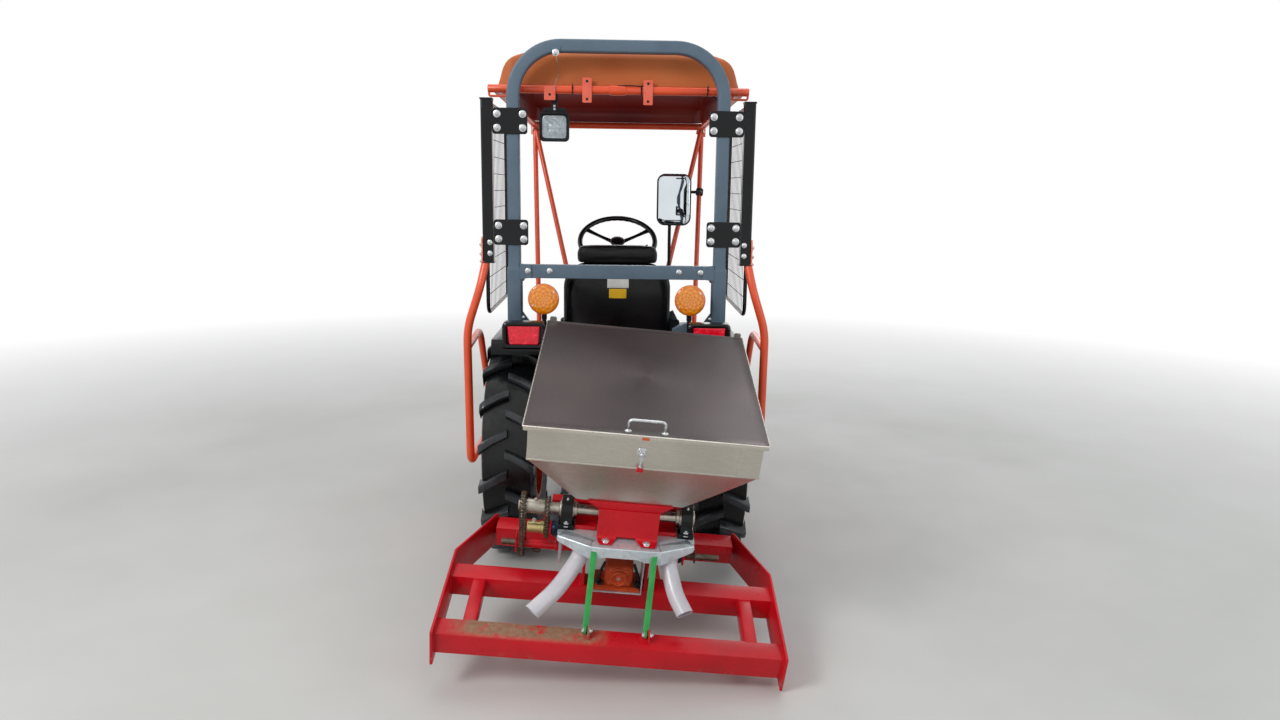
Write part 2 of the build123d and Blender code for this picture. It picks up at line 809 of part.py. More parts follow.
# canopy: a tube frame with front struts, and the moulded roof on it
tube_drop = 6  # the frame's middle below the roof's rim
tube_end = 532
end_spigot = 110
end_spigot_r = canopy_tube_r - 1  # fits in the tube
loop_width = 78
loop_height = 44
loop_bar = 9
strut_r = 13
strut_top = (canopy_half_front - 8, canopy_front - 4, canopy_rim_front - tube_drop)
strut_foot = (410, floor_front - 16, floor_top + 2)
with BuildPart() as canopy_frame:
    with BuildLine() as loop_path:
        FilletPolyline(
            (-canopy_half_rear + 4, canopy_rear, canopy_rim_rear - tube_drop),
            (canopy_half_rear - 4, canopy_rear, canopy_rim_rear - tube_drop),
            (canopy_half_front - 4, canopy_front - 4, canopy_rim_front - tube_drop),
            (-canopy_half_front + 4, canopy_front - 4, canopy_rim_front - tube_drop),
            close=True,
            radius=60,
        )
    with BuildSketch(Plane(origin=loop_path.line @ 0, z_dir=loop_path.line % 0)):
        Circle(canopy_tube_r)
    sweep()
    for sign in (-1, 1):
        middle = sign * (tube_end - end_spigot / 2)
        with Locations(Location((middle, canopy_rear, canopy_rim_rear - tube_drop), (0, 90, 0))):
            Cylinder(end_spigot_r, end_spigot)
    with BuildSketch(along(canopy_rear + loop_bar / 2)):
        for sign in (-1, 1):
            with Locations((sign * (tube_end - loop_width / 2), canopy_rim_rear - tube_drop - 12)):
                Rectangle(loop_width, loop_height)
                Rectangle(loop_width - 2 * loop_bar, loop_height - 2 * loop_bar, mode=Mode.SUBTRACT)
    extrude(amount=loop_bar)
    for sign in (-1, 1):
        top = (sign * strut_top[0], strut_top[1], strut_top[2])
        for foot in (strut_foot, (hood_half - 20 + strut_r + 1, hood_rear - 40, 880)):
            foot = (sign * foot[0], foot[1], foot[2])
            with BuildSketch(between(top, foot)):
                Circle(strut_r)
            extrude(amount=distance(top, foot))
canopy_frame.part.label = "canopy_frame"
export_step(canopy_frame.part, "parts/canopy_frame.step")


def roof_space(wall, drop):
    """Space under the moulded roof, drawn in by its wall and let down when it is the inside."""
    half = canopy_half_rear - wall
    rear = canopy_rear + wall
    front = canopy_front - wall
    low = canopy_rim_front - 60
    top = canopy_shoulder + canopy_corner - wall
    bend = (canopy_corner - wall) * (1 - 0.5**0.5)
    with BuildPart() as space:
        with BuildSketch(along(rear)):
            with BuildLine():
                ThreePointArc(
                    (-half, canopy_shoulder),
                    (-half + bend, top - bend),
                    (-half + canopy_corner - wall, top),
                )
                ThreePointArc(
                    (-half + canopy_corner - wall, top),
                    (0, canopy_crown - wall),
                    (half - canopy_corner + wall, top),
                )
                ThreePointArc(
                    (half - canopy_corner + wall, top),
                    (half - bend, top - bend),
                    (half, canopy_shoulder),
                )
                Polyline((half, canopy_shoulder), (half, low), (-half, low), (-half, canopy_shoulder))
            make_face()
        extrude(amount=rear - front)
        with BuildSketch(across(0)):
            with BuildLine():
                crest = ThreePointArc(
                    (front, canopy_rim_front + 70 - wall),
                    ((rear + front) / 2, canopy_crown + 2 - wall),
                    (rear, canopy_shoulder + canopy_corner - 6 - wall),
                )
                rear_low = canopy_rim_rear - drop
                front_low = canopy_rim_front - drop
                Polyline(crest @ 1, (rear, rear_low), (front, front_low), crest @ 0)
            make_face()
        extrude(amount=canopy_half_rear + 1, both=True, mode=Mode.INTERSECT)
        with BuildSketch(level(low - 1)):
            with BuildLine():
                Polyline(
                    (-half, rear),
                    (half, rear),
                    (canopy_half_front - wall, front),
                    (-canopy_half_front + wall, front),
                    close=True,
                )
            make_face()
        extrude(amount=canopy_crown, mode=Mode.INTERSECT)
    return space.part


with BuildPart() as canopy_roof:
    add(roof_space(0, tube_drop - canopy_tube_r - seat_gap))
    add(roof_space(canopy_wall, 40), mode=Mode.SUBTRACT)
canopy_roof.part.label = "canopy_roof"
export_step(canopy_roof.part, "parts/canopy_roof.step")

# work lamp hung from the canopy's rear tube
work_lamp_x = -262
work_lamp_z = 1806
with BuildPart() as work_lamp:
    with Locations((work_lamp_x, canopy_rear, work_lamp_z)):
        Box(122, 62, 116)
    fillet(work_lamp.edges().filter_by(Axis.Y), 14)
    lamp_top = work_lamp_z + 58
    tube_low = canopy_rim_rear - 6 - canopy_tube_r
    with Locations((work_lamp_x, canopy_rear, (lamp_top + tube_low) / 2)):
        Box(26, 6, tube_low - lamp_top)
work_lamp.part.label = "work_lamp"
export_step(work_lamp.part, "parts/work_lamp.step")

# round turn lamps on stems from the fenders
with BuildPart() as amber_lamps:
    with Locations(Location((300, hoop_y - 40, 1115), (90, 0, 0))):
        Cylinder(52, 40)
        with Locations((0, 0, 26)):
            Cylinder(64, 28)
    with Locations((300, hoop_y - 38, (fender_top + 1070) / 2)):
        Cylinder(11, 1070 - fender_top)
    mirror(about=Plane.YZ)
amber_lamps.part.label = "amber_lamps"
export_step(amber_lamps.part, "parts/amber_lamps.step")

# bent tube rails outside the rear wheels, bolted under the guards' channels and to the platform
rail_step = (floor_half - 60, floor_rear + 130, rail_low)
rail_main = bent_tube(
    (
        (channel_outer - 8, rail_y + 34, 1253),
        (channel_outer + 14, rail_y, 1150),
        (rail_x, rail_y, 985),
        (rail_x - 4, rail_y, rail_low),
        (rail_x - 8, floor_rear + 100, rail_low),
        rail_step,
    ),
    50,
    rail_tube_r,
)
rail_branch = bent_tube(
    (
        (rail_x, rail_y, 905),
        (rail_x, axle_y + 200, 930),
        (rail_x - 7, floor_rear + 20, rail_low),
    ),
    60,
    rail_tube_r - 2,
)
with BuildPart() as grab_rails:
    add(rail_main)
    add(rail_branch)
    mirror(about=Plane.YZ)
grab_rails.part.label = "grab_rails"
export_step(grab_rails.part, "parts/grab_rails.step")

# mirror head on a bent stalk from the right front strut
mirror_x = 290
mirror_z = 1508
mirror_y = axle_y + 925
strut_share = (mirror_z + 40 - strut_foot[2]) / (strut_top[2] - strut_foot[2])
strut_point = Vector(*strut_foot) * (1 - strut_share) + Vector(*strut_top) * strut_share
with BuildPart() as mirror_head:
    with BuildSketch(along(mirror_y)):
        with Locations((mirror_x, mirror_z)):
            RectangleRounded(178, 264, 42)
    extrude(amount=34)
    fillet(mirror_head.faces().sort_by(Axis.Y)[-1].edges(), 12)
    add(
        bent_tube(
            (
                (mirror_x + 60, mirror_y - 12, strut_point.Z),
                (mirror_x + 60, mirror_y + 50, strut_point.Z),
                (strut_point.X, mirror_y + 50, strut_point.Z),
                (strut_point.X, strut_point.Y - strut_r - 1, strut_point.Z),
            ),
            24,
            8,
        )
    )
mirror_head.part.label = "mirror"
export_step(mirror_head.part, "parts/mirror.step")

# pedals and levers standing on the platform and the case
lever_x = fender_inner - 12 - seat_gap
with BuildPart() as control_levers:
    for x, y, z, dx, dy, dz in (  # foot and reach of each lever
        (-lever_x, axle_y + 400, floor_top + 200, 20, 30, 300),
        (lever_x, axle_y + 400, floor_top + 210, -20, 50, 290),
        (lever_x, axle_y + 340, floor_top + 220, -20, 10, 300),
    ):
        start = (x, y, z)
        end = (x + dx, y + dy, z + dz)
        with BuildSketch(between(start, end)):
            Circle(6)
        extrude(amount=distance(start, end))
        with Locations(end):
            Sphere(17)
        with Locations((x, y, z - 10)):
            Box(24, 40, 36)
    for x in (-210, 200, 290):
        with Locations((x, axle_y + 880, floor_top + 60)):
            Box(60, 12, 90)
        with Locations((x, axle_y + 905, floor_top + 25)):
            Box(16, 44, 50)
control_levers.part.label = "control_levers"
export_step(control_levers.part, "parts/control_levers.step")

# drawbar under the case
with BuildPart() as drawbar:
    with Locations((0, axle_y - 175, 312)):
        Box(70, 310, 16)
    with Locations((0, axle_y - 300, 312)):
        Cylinder(12, 40, mode=Mode.SUBTRACT)
    with Locations((0, axle_y - 90, 330)):
        Box(110, 90, 20)
drawbar.part.label = "drawbar"
export_step(drawbar.part, "parts/drawbar.step")

# lower links: flat bars with an eye at each end, the rear eyes turned to the implement's pins
link_eye_r = 28
link_pin_r = 14
lift_pin_r = 8
lift_lug_rise = 38
eye_drift = 6  # play in the eyes where the linkage closes
tool_pin_r = 11
link_x = case_half + 70
tool_x_dir = tool_plane.x_dir
with BuildPart() as lower_links:
    for sign in (-1, 1):
        front_eye = Vector(sign * link_x, link_pivot_y, link_pivot_z)
        rear_eye = tool_point(sign * hitch_pin_half, hitch_pin_y, hitch_pin_z)
        run = rear_eye - front_eye
        bar = Plane(origin=front_eye, x_dir=run.cross(Vector(0, 0, 1)), z_dir=run)
        with BuildSketch(bar):
            Rectangle(16, 46)
        extrude(amount=run.length)
        with BuildSketch(Plane(origin=front_eye, x_dir=(0, 1, 0), z_dir=(1, 0, 0))):
            Circle(link_eye_r)
        extrude(amount=14, both=True)
        with BuildSketch(Plane(origin=front_eye, x_dir=(0, 1, 0), z_dir=(1, 0, 0))):
            Circle(link_pin_r + seat_gap)
        extrude(amount=20, both=True, mode=Mode.SUBTRACT)
        with BuildSketch(Plane(origin=rear_eye, z_dir=tool_x_dir)):
            Circle(link_eye_r)
        extrude(amount=16, both=True)
        with BuildSketch(Plane(origin=rear_eye, z_dir=tool_x_dir)):
            Circle(tool_pin_r + seat_gap)
        extrude(amount=24, both=True, mode=Mode.SUBTRACT)
        lug = front_eye * (1 - lift_eye_share) + rear_eye * lift_eye_share
        lug += Vector(0, 0, lift_lug_rise)
        with BuildSketch(Plane(origin=lug, x_dir=(0, 1, 0), z_dir=(sign, 0, 0))):
            Rectangle(34, 50)
        extrude(amount=-7, both=True)
        with BuildSketch(Plane(origin=lug, x_dir=(0, 1, 0), z_dir=(-sign, 0, 0))):
            Circle(lift_pin_r)
        extrude(amount=40)
lower_links.part.label = "lower_links"
export_step(lower_links.part, "parts/lower_links.step")

# lift arms on their shaft, and the rods down to the lower links
arm_x = case_half + 20
arm_end = (arm_pivot_y - arm_reach, arm_pivot_z - 30)
with BuildPart() as lift_arms:
    for sign in (-1, 1):
        with BuildSketch(across(sign * arm_x)):
            with BuildLine():
                Polyline(
                    (arm_pivot_y + 30, arm_pivot_z - 34),
                    (arm_pivot_y + 30, arm_pivot_z + 34),
                    (arm_pivot_y - 40, arm_pivot_z + 34),
                    (arm_end[0] - 20, arm_end[1] + 22),
                    (arm_end[0] - 20, arm_end[1] - 22),
                    (arm_pivot_y - 40, arm_pivot_z - 34),
                    close=True,
                )
            make_face()
        extrude(amount=10, both=True)
        with BuildSketch(across(sign * arm_x)):
            with Locations((arm_pivot_y, arm_pivot_z)):
                Circle(18 + seat_gap)
            with Locations(arm_end):
                Circle(10)
        extrude(amount=30, both=True, mode=Mode.SUBTRACT)
lift_arms.part.label = "lift_arms"
export_step(lift_arms.part, "parts/lift_arms.step")

with BuildPart() as lift_rods:
    for sign in (-1, 1):
        upper = Vector(sign * arm_x, *arm_end)
        front_eye = Vector(sign * link_x, link_pivot_y, link_pivot_z)
        rear_eye = tool_point(sign * hitch_pin_half, hitch_pin_y, hitch_pin_z)
        share = lift_eye_share
        lug = front_eye * (1 - share) + rear_eye * share + Vector(0, 0, lift_lug_rise)
        lower = lug - Vector(sign * 27, 0, 0)
        with BuildSketch(across(sign * arm_x)):
            with Locations(arm_end):
                Circle(10 - seat_gap)
        extrude(amount=34, both=True)
        outer = upper + Vector(sign * 24, 0, 0)
        with BuildSketch(between(outer, lower)):
            Circle(11)
        extrude(amount=(lower - outer).length - 14)
        eye = Plane(origin=lower, x_dir=(0, 1, 0), z_dir=(1, 0, 0))
        with BuildSketch(eye):
            Circle(lift_pin_r + eye_drift + 8)
        extrude(amount=8, both=True)
        with BuildSketch(eye):
            Circle(lift_pin_r + eye_drift)
        extrude(amount=20, both=True, mode=Mode.SUBTRACT)
lift_rods.part.label = "lift_rods"
export_step(lift_rods.part, "parts/lift_rods.step")

# top link between the case and the implement's mast
mast_pin = tool_point(0, mast_pin_y, mast_pin_z)
top_pin = Vector(0, top_pin_y, top_pin_z)
with BuildPart() as top_link:
    with BuildSketch(between(top_pin, mast_pin)):
        Circle(13)
    extrude(amount=(mast_pin - top_pin).length)
    with BuildSketch(across(0)):
        with Locations((top_pin.Y, top_pin.Z)):
            Circle(24)
    extrude(amount=18, both=True)
    with BuildSketch(Plane(origin=mast_pin, z_dir=tool_x_dir)):
        Circle(24)
    extrude(amount=18, both=True)
    with BuildSketch(across(0)):
        with Locations((top_pin.Y, top_pin.Z)):
            Circle(10 + seat_gap)
    extrude(amount=30, both=True, mode=Mode.SUBTRACT)
    with BuildSketch(Plane(origin=mast_pin, z_dir=tool_x_dir)):
        Circle(10 - seat_gap + eye_drift)
    extrude(amount=30, both=True, mode=Mode.SUBTRACT)
top_link.part.label = "top_link"
export_step(top_link.part, "parts/top_link.step")

# implement frame: side plates bent in plan
with BuildPart() as tool_side_plates:
    for sign in (-1, 1):
        with BuildSketch(tool(level(0))):
            with BuildLine():
                Polyline(
                    (sign * tool_half_rear, -14),
                    (sign * tool_half_rear, tool_kink),
                    (sign * tool_half_front, tool_front),
                    (sign * (tool_half_front - plate_thick), tool_front),
                    (sign * (tool_half_rear - plate_thick), tool_kink - 4),
                    (sign * (tool_half_rear - plate_thick), -14),
                    close=True,
                )
            make_face()
        extrude(amount=plate_height)
tool_side_plates.part.label = "tool_side_plates"
export_step(tool_side_plates.part, "parts/tool_side_plates.step")

# three cross rails of the implement, the rear two joined by short struts
rail_top = rail_base + rail_height
stay_rows = ((-76, -83), (120, 108))  # across at the plate and at the rear rail
stay_foot_y = 46
stay_lug = 10
inner_half = tool_half_rear - plate_thick
front_inner = tool_half_front - plate_thick
with BuildPart(tool_plane) as tool_rails:
    for y in (rail_depth / 2, middle_rail_y + rail_depth / 2):
        with Locations((0, y, rail_base + rail_height / 2)):
            Box(2 * inner_half, rail_depth, rail_height)
    with Locations((0, tool_front - rail_depth / 2, rail_base + rail_height / 2)):
        Box(2 * front_inner, rail_depth, rail_height)
    with Locations((-hitch_pin_half, 0, 0), (hitch_pin_half, 0, 0)):
        for x in (-32, 32):
            with Locations((x, (tool_front + hitch_pin_y + 30) / 2, hitch_pin_z)):
                Box(10, hitch_pin_y + 30 - tool_front, rail_height - 14)
        with Locations(Location((0, hitch_pin_y, hitch_pin_z), (0, 90, 0))):
            Cylinder(tool_pin_r, 74)
    for top_x, foot_x in stay_rows:
        with Locations((foot_x, stay_foot_y, rail_top + stay_lug / 2)):
            Box(36, 30, stay_lug)
tool_rails.part.label = "tool_rails"
export_step(tool_rails.part, "parts/tool_rails.step")

with BuildPart(tool_plane) as tool_struts:
    strut_length = middle_rail_y - rail_depth
    with Locations((strut_x, rail_depth + strut_length / 2, 88)):
        Box(strut_width, strut_length, 50)
    with Locations((-strut_x, rail_depth + strut_length / 2, 88)):
        Box(strut_width, strut_length, 50)
tool_struts.part.label = "tool_struts"
export_step(tool_struts.part, "parts/tool_struts.step")

# mast on the front rail, braced back to the middle rail
with BuildPart(tool_plane) as mast:
    for sign in (-1, 1):
        with BuildSketch(tool(across(sign * 30 - 6))):
            with BuildLine():
                Polyline(
                    (tool_front - rail_depth, rail_top),
                    (tool_front - 4, rail_top),
                    (mast_pin_y + 24, mast_pin_z - 14),
                    (mast_pin_y + 24, mast_pin_z + 20),
                    (mast_pin_y - 24, mast_pin_z + 20),
                    (mast_pin_y - 30, mast_pin_z - 20),
                    close=True,
                )
            make_face()
        extrude(amount=12)
        top = tool_point(sign * 38, mast_pin_y - 16, mast_pin_z - 10)
        foot = tool_point(sign * 150, middle_rail_y + rail_depth - 20, rail_top + 13)
        with BuildSketch(between(top, foot)):
            Rectangle(22, 22)
        extrude(amount=distance(top, foot))
    with BuildSketch(Plane(origin=mast_pin, z_dir=tool_x_dir)):
        Circle(10 - seat_gap)
    extrude(amount=40, both=True)
mast.part.label = "mast"
export_step(mast.part, "parts/mast.step")

# hopper: sheet band and tapered body, open above and at its outlet
def hopper_space(wall, above, below):
    """Inside or outside form of the hopper, drawn in by its sheet."""
    half_w = lid_width / 2 - hopper_inset - wall
    rear = lid_rear + hopper_inset / 2 + wall
    front = lid_rear + lid_length - hopper_inset / 2 - 6 - wall
    top = lid_top - skin - seat_gap
    half_out = outlet_width / 2 - wall
    with BuildPart() as space:
        with BuildSketch(tool(level(top - band_height))):
            with Locations((lid_x, (rear + front) / 2)):
                Rectangle(2 * half_w, front - rear)
        extrude(amount=band_height + above)
        with BuildSketch(tool(level(top - band_height))):
            with Locations((lid_x, (rear + front) / 2)):
                Rectangle(2 * half_w, front - rear)
        with BuildSketch(tool(level(outlet_z))):
            with Locations((outlet_x, (outlet_rear + outlet_front) / 2)):
                Rectangle(2 * half_out, outlet_front - outlet_rear - 2 * wall)
        loft(ruled=True)
        if below:
            with BuildSketch(tool(level(outlet_z))):
                with Locations((outlet_x, (outlet_rear + outlet_front) / 2)):
                    Rectangle(2 * half_out, outlet_front - outlet_rear - 2 * wall)
            extrude(amount=-below)
    return space.part


lid_hinge_x = 310
lid_hinge_y = lid_rear + lid_length + 8
lid_hinge_z = lid_top - 16
lid_hinge_width = 30
lid_pin_r = 4
with BuildPart(tool_plane) as hinge_brackets:
    for x in (lid_x - lid_hinge_x, lid_x + lid_hinge_x):
        for side_x in (-1, 1):
            bracket_x = x + side_x * (lid_hinge_width / 2 + 4)
            with Locations((bracket_x, lid_hinge_y - 8, lid_hinge_z - 17)):
                Box(6, 30, 24)
            with Locations((bracket_x, lid_hinge_y, lid_hinge_z - 5)):
                Box(6, 14, 10)
            with Locations(Location((bracket_x, lid_hinge_y, lid_hinge_z), (0, 90, 0))):
                Cylinder(7, 6)
        with Locations(Location((x, lid_hinge_y, lid_hinge_z), (0, 90, 0))):
            Cylinder(lid_pin_r, lid_hinge_width + 12)
with BuildPart() as hopper:
    add(hopper_space(0, 0, 0))
    add(hopper_space(hopper_wall, 5, 5), mode=Mode.SUBTRACT)
    add(hinge_brackets.part)
hopper.part.label = "hopper"
export_step(hopper.part, "parts/hopper.step")

# lid: a shallow tray over the band, with its handle
handle_bends = ((-8, -1), (-8, 35), (104, 35), (104, -1))  # across, above the lid
with BuildPart(tool_plane) as lid_tray:
    with Locations((lid_x, lid_rear + lid_length / 2, lid_top - lid_skirt / 2)):
        Box(lid_width, lid_length, lid_skirt)
    with Locations((lid_x, lid_rear + lid_length / 2, lid_top - skin - lid_skirt / 2)):
        Box(lid_width - 5, lid_length - 5, lid_skirt, mode=Mode.SUBTRACT)
    for x in (lid_x - lid_hinge_x, lid_x + lid_hinge_x):
        with Locations((x, lid_rear + lid_length + 3, lid_hinge_z)):
            Box(lid_hinge_width, 10, 12)
        with Locations(Location((x, lid_hinge_y, lid_hinge_z), (0, 90, 0))):
            Cylinder(8, lid_hinge_width)
            Cylinder(lid_pin_r + seat_gap, lid_hinge_width + 10, mode=Mode.SUBTRACT)
with BuildPart() as lid:
    add(lid_tray.part)
    add(bent_tube([tool_point(x, lid_rear + 26, lid_top + up) for x, up in handle_bends], 14, 5))
lid.part.label = "lid"
export_step(lid.part, "parts/lid.step")

# metering housing under the outlet, with the cross beam behind it
with BuildPart(tool_plane) as metering_housing:
    with Locations((outlet_x + 3, (outlet_rear + outlet_front) / 2, (338 + outlet_z) / 2)):
        Box(212, outlet_front - outlet_rear + 10, outlet_z - 338)
    with Locations((10, 404, 360)):
        Box(480, 36, 44)
    with Locations(Location((0, shaft_y, shaft_z), (0, 90, 0))):
        Cylinder(shaft_r + seat_gap, 600, mode=Mode.SUBTRACT)
metering_housing.part.label = "metering_housing"
export_step(metering_housing.part, "parts/metering_housing.step")

low_shaft_y = 396
low_shaft_z = 190
low_shaft_r = 13
stub_r = 11
chain_loops = (  # across, lower sprocket's distance and height, sprocket radius
    (-322, low_shaft_y, low_shaft_z, 38),
    (-240, 360, 286, 28),
)
with BuildPart(tool_plane) as metering_shaft:
    with Locations(Location((-45, shaft_y, shaft_z), (0, 90, 0))):
        Cylinder(shaft_r, 584)
    for x, low_y, low_z, r in chain_loops:
        with Locations(Location((x, shaft_y, shaft_z), (0, 90, 0))):
            Cylinder(r - seat_gap, 10)
    with Locations(Location((-281, shaft_y, shaft_z), (0, 90, 0))):
        Cylinder(24, 60)
metering_shaft.part.label = "metering_shaft"
export_step(metering_shaft.part, "parts/metering_shaft.step")

# pillow blocks on the plate
with BuildPart(tool_plane) as pillow_blocks:
    for x in (-175, 220):
        with Locations((x, shaft_y, 359)):
            Box(54, 96, 42)
        with Locations(Location((x, shaft_y, shaft_z), (0, 90, 0))):
            Cylinder(48, 40)
            Cylinder(shaft_r + seat_gap, 80, mode=Mode.SUBTRACT)
pillow_blocks.part.label = "pillow_blocks"
export_step(pillow_blocks.part, "parts/pillow_blocks.step")

# galvanised plate with its down-turned rear lip
spread_left = -200
spread_right = 250
spread_rear = 200
spread_front = 440
spread_top = 338
with BuildPart(tool_plane) as spreader_plate:
    with Locations(((spread_left + spread_right) / 2, (spread_rear + spread_front) / 2, spread_top - 2.5)):
        Box(spread_right - spread_left, spread_front - spread_rear, 5)
    with BuildSketch(tool(along(spread_rear))):
        with BuildLine():
            Polyline(
                (spread_left, spread_top),
                (spread_right, spread_top),
                (spread_right, spread_top - 22),
                (spread_right - 82, spread_top - 55),
                (spread_left + 82, spread_top - 55),
                (spread_left, spread_top - 22),
                close=True,
            )
        make_face()
    extrude(amount=-4)
spreader_plate.part.label = "spreader_plate"
export_step(spreader_plate.part, "parts/spreader_plate.step")

# uprights from the middle rail, chain bracket and the cross shaft's ends
with BuildPart(tool_plane) as drive_bracket:
    for x in (-104, 108):
        with Locations((x, middle_rail_y + rail_depth / 2, (rail_top + 333) / 2)):
            Box(10, 62, 333 - rail_top)
    for inner, outer in ((-184, -395), (204, 360)):
        with Locations(Location(((inner + outer) / 2, low_shaft_y, low_shaft_z), (0, 90, 0))):
            Cylinder(stub_r, abs(outer - inner))
    for x in (-190, 210):
        with Locations((x, low_shaft_y - 6, (low_shaft_z - 30 + 333) / 2)):
            Box(12, 90, 333 - low_shaft_z + 30)
    for x, low_y, low_z, r in chain_loops:
        with Locations(Location((x, low_y, low_z), (0, 90, 0))):
            Cylinder(r - seat_gap, 10)
            with Locations((0, 0, -(190 + x) / 2)):
                Cylinder(low_shaft_r, abs(190 + x))
drive_bracket.part.label = "drive_bracket"
export_step(drive_bracket.part, "parts/drive_bracket.step")

# worm gearbox on the middle rail
with BuildPart(tool_plane) as gearbox:
    with Locations((10, middle_rail_y + 36, 121)):
        Box(157, 96, 12)
    with Locations((15, middle_rail_y + 36, 167)):
        Box(97, 80, 80)
    with Locations(Location((15, middle_rail_y - 8, 170), (90, 0, 0))):
        Cylinder(26, 14)
gearbox.part.label = "gearbox"
export_step(gearbox.part, "parts/gearbox.step")

# chain loops round their upper and lower sprockets
with BuildPart() as drive_chains:
    for x, low_y, low_z, r in chain_loops:
        span = ((shaft_y - low_y) ** 2 + (shaft_z - low_z) ** 2) ** 0.5
        turn = degrees(atan2(low_z - shaft_z, low_y - shaft_y))
        with BuildSketch(tool(across(x - 6))):
            with Locations(((shaft_y + low_y) / 2, (shaft_z + low_z) / 2)):
                SlotCenterToCenter(span, 2 * (r + 8), rotation=turn)
                SlotCenterToCenter(span, 2 * r, rotation=turn, mode=Mode.SUBTRACT)
        extrude(amount=12)
drive_chains.part.label = "drive_chains"
export_step(drive_chains.part, "parts/drive_chains.step")

# discharge hoses under the housing
hose_r = 28
hose_bend = 60
hose_routes = (  # side, then the corners of its route
    ("left", ((-117, 250, 332.7), (-117, 250, 266), (-185, 150, 195), (-255, 80, 160))),
    ("right", ((168, 250, 332.7), (168, 250, 272), (198, 160, 205), (230, 100, 182))),
)
for side, route in hose_routes:
    with BuildPart() as hose:
        add(bent_tube([tool_point(*corner) for corner in route], hose_bend, hose_r))
    hose.part.label = f"hose_{side}"
    export_step(hose.part, f"parts/hose_{side}.step")

# flat stay bars from the plate to lugs on the rear rail
with BuildPart(tool_plane) as stay_bars:
    for x, foot_x in stay_rows:
        with Locations((x, 200 - 4 - seat_gap, 296)):
            Box(24, 8, 30)
        with Locations((foot_x, stay_foot_y, rail_top + stay_lug + 4 + seat_gap)):
            Box(24, 26, 8)
        top = tool_point(x, 194, 292)
        foot = tool_point(foot_x, stay_foot_y, rail_top + stay_lug + 6)
        with BuildSketch(between(top, foot)):
            Rectangle(8, 24)
        extrude(amount=distance(top, foot))
stay_bars.part.label = "stay_bars"
export_step(stay_bars.part, "parts/stay_bars.step")
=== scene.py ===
import json
from math import cos, radians, sin

import bmesh
import bpy
import numpy as np
from mathutils import Matrix, Vector
from mathutils.bvhtree import BVHTree

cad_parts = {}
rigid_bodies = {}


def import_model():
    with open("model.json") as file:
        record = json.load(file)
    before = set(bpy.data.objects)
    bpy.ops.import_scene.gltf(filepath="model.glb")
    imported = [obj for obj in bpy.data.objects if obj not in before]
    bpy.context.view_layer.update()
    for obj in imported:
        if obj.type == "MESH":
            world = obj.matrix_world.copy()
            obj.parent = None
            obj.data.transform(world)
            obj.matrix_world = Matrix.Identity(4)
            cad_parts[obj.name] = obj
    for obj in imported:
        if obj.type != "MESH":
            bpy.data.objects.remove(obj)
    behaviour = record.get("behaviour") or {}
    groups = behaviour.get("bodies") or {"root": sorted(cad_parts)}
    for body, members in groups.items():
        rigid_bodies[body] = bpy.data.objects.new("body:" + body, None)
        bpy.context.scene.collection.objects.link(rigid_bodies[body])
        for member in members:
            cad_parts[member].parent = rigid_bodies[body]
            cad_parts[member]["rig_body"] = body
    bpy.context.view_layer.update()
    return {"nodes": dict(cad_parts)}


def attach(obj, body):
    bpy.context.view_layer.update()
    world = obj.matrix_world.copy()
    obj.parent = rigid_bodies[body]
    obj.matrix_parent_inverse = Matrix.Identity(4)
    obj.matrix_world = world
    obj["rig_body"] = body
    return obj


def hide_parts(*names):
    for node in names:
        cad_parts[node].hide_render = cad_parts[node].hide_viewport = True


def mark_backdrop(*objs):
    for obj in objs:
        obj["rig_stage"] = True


# Compact tractor with a hopper spreader on its hitch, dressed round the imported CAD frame.
# Metres, +Z up, +Y the way the tractor drives. Pieces sit where the CAD nodes say.

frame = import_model()
nodes = frame["nodes"]
bodyOf = {name: node["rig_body"] for name, node in nodes.items()}
rng = np.random.default_rng(7)

axleY = -0.3625
frontAxleY = axleY + 1.56
toolPitch, toolRoll = radians(14), radians(4.7)
toolX = np.array((cos(toolRoll), 0, -sin(toolRoll)))
toolZ = np.array((cos(toolPitch) * sin(toolRoll), -sin(toolPitch), cos(toolPitch) * cos(toolRoll)))
toolAxes = np.stack((toolX, np.cross(toolZ, toolX), toolZ))  # rows: the implement's own X, Y, Z
toolOrigin = np.array((-0.020, axleY - 1.240, 0.052))


def toolToWorld(points):
    # Points in the implement's own millimetres, carried to the tractor's frame in metres.
    return toolOrigin + np.asarray(points, float) / 1000 @ toolAxes


# shapes: points and faces as arrays, then one mesh
def meshObject(name, verts, faces, smooth=True, sharp=35):
    mesh = bpy.data.meshes.new(name)
    mesh.from_pydata(np.asarray(verts, float).reshape(-1, 3).tolist(), [], [list(f) for f in faces])
    mesh.validate()
    if smooth:
        mesh.shade_smooth()
        mesh.set_sharp_from_angle(angle=radians(sharp))
    obj = bpy.data.objects.new(name, mesh)
    bpy.context.scene.collection.objects.link(obj)
    return obj


def gridFaces(rows, cols, closeRows=False, closeCols=False, start=0):
    # Quads between neighbours of a rows by cols grid of points.
    r = np.arange(rows if closeRows else rows - 1)
    c = np.arange(cols if closeCols else cols - 1)
    i, j = np.meshgrid(r, c, indexing="ij")
    i2, j2 = (i + 1) % rows, (j + 1) % cols
    quads = np.stack((i * cols + j, i * cols + j2, i2 * cols + j2, i2 * cols + j), -1)
    return quads.reshape(-1, 4) + start


def joinParts(parts):
    # One list of points and faces from several (points, faces) pairs.
    verts, faces, base = [], [], 0
    for v, f in parts:
        v = np.asarray(v, float).reshape(-1, 3)
        verts.append(v)
        faces += [[int(k) + base for k in face] for face in f]
        base += len(v)
    return np.concatenate(verts), faces


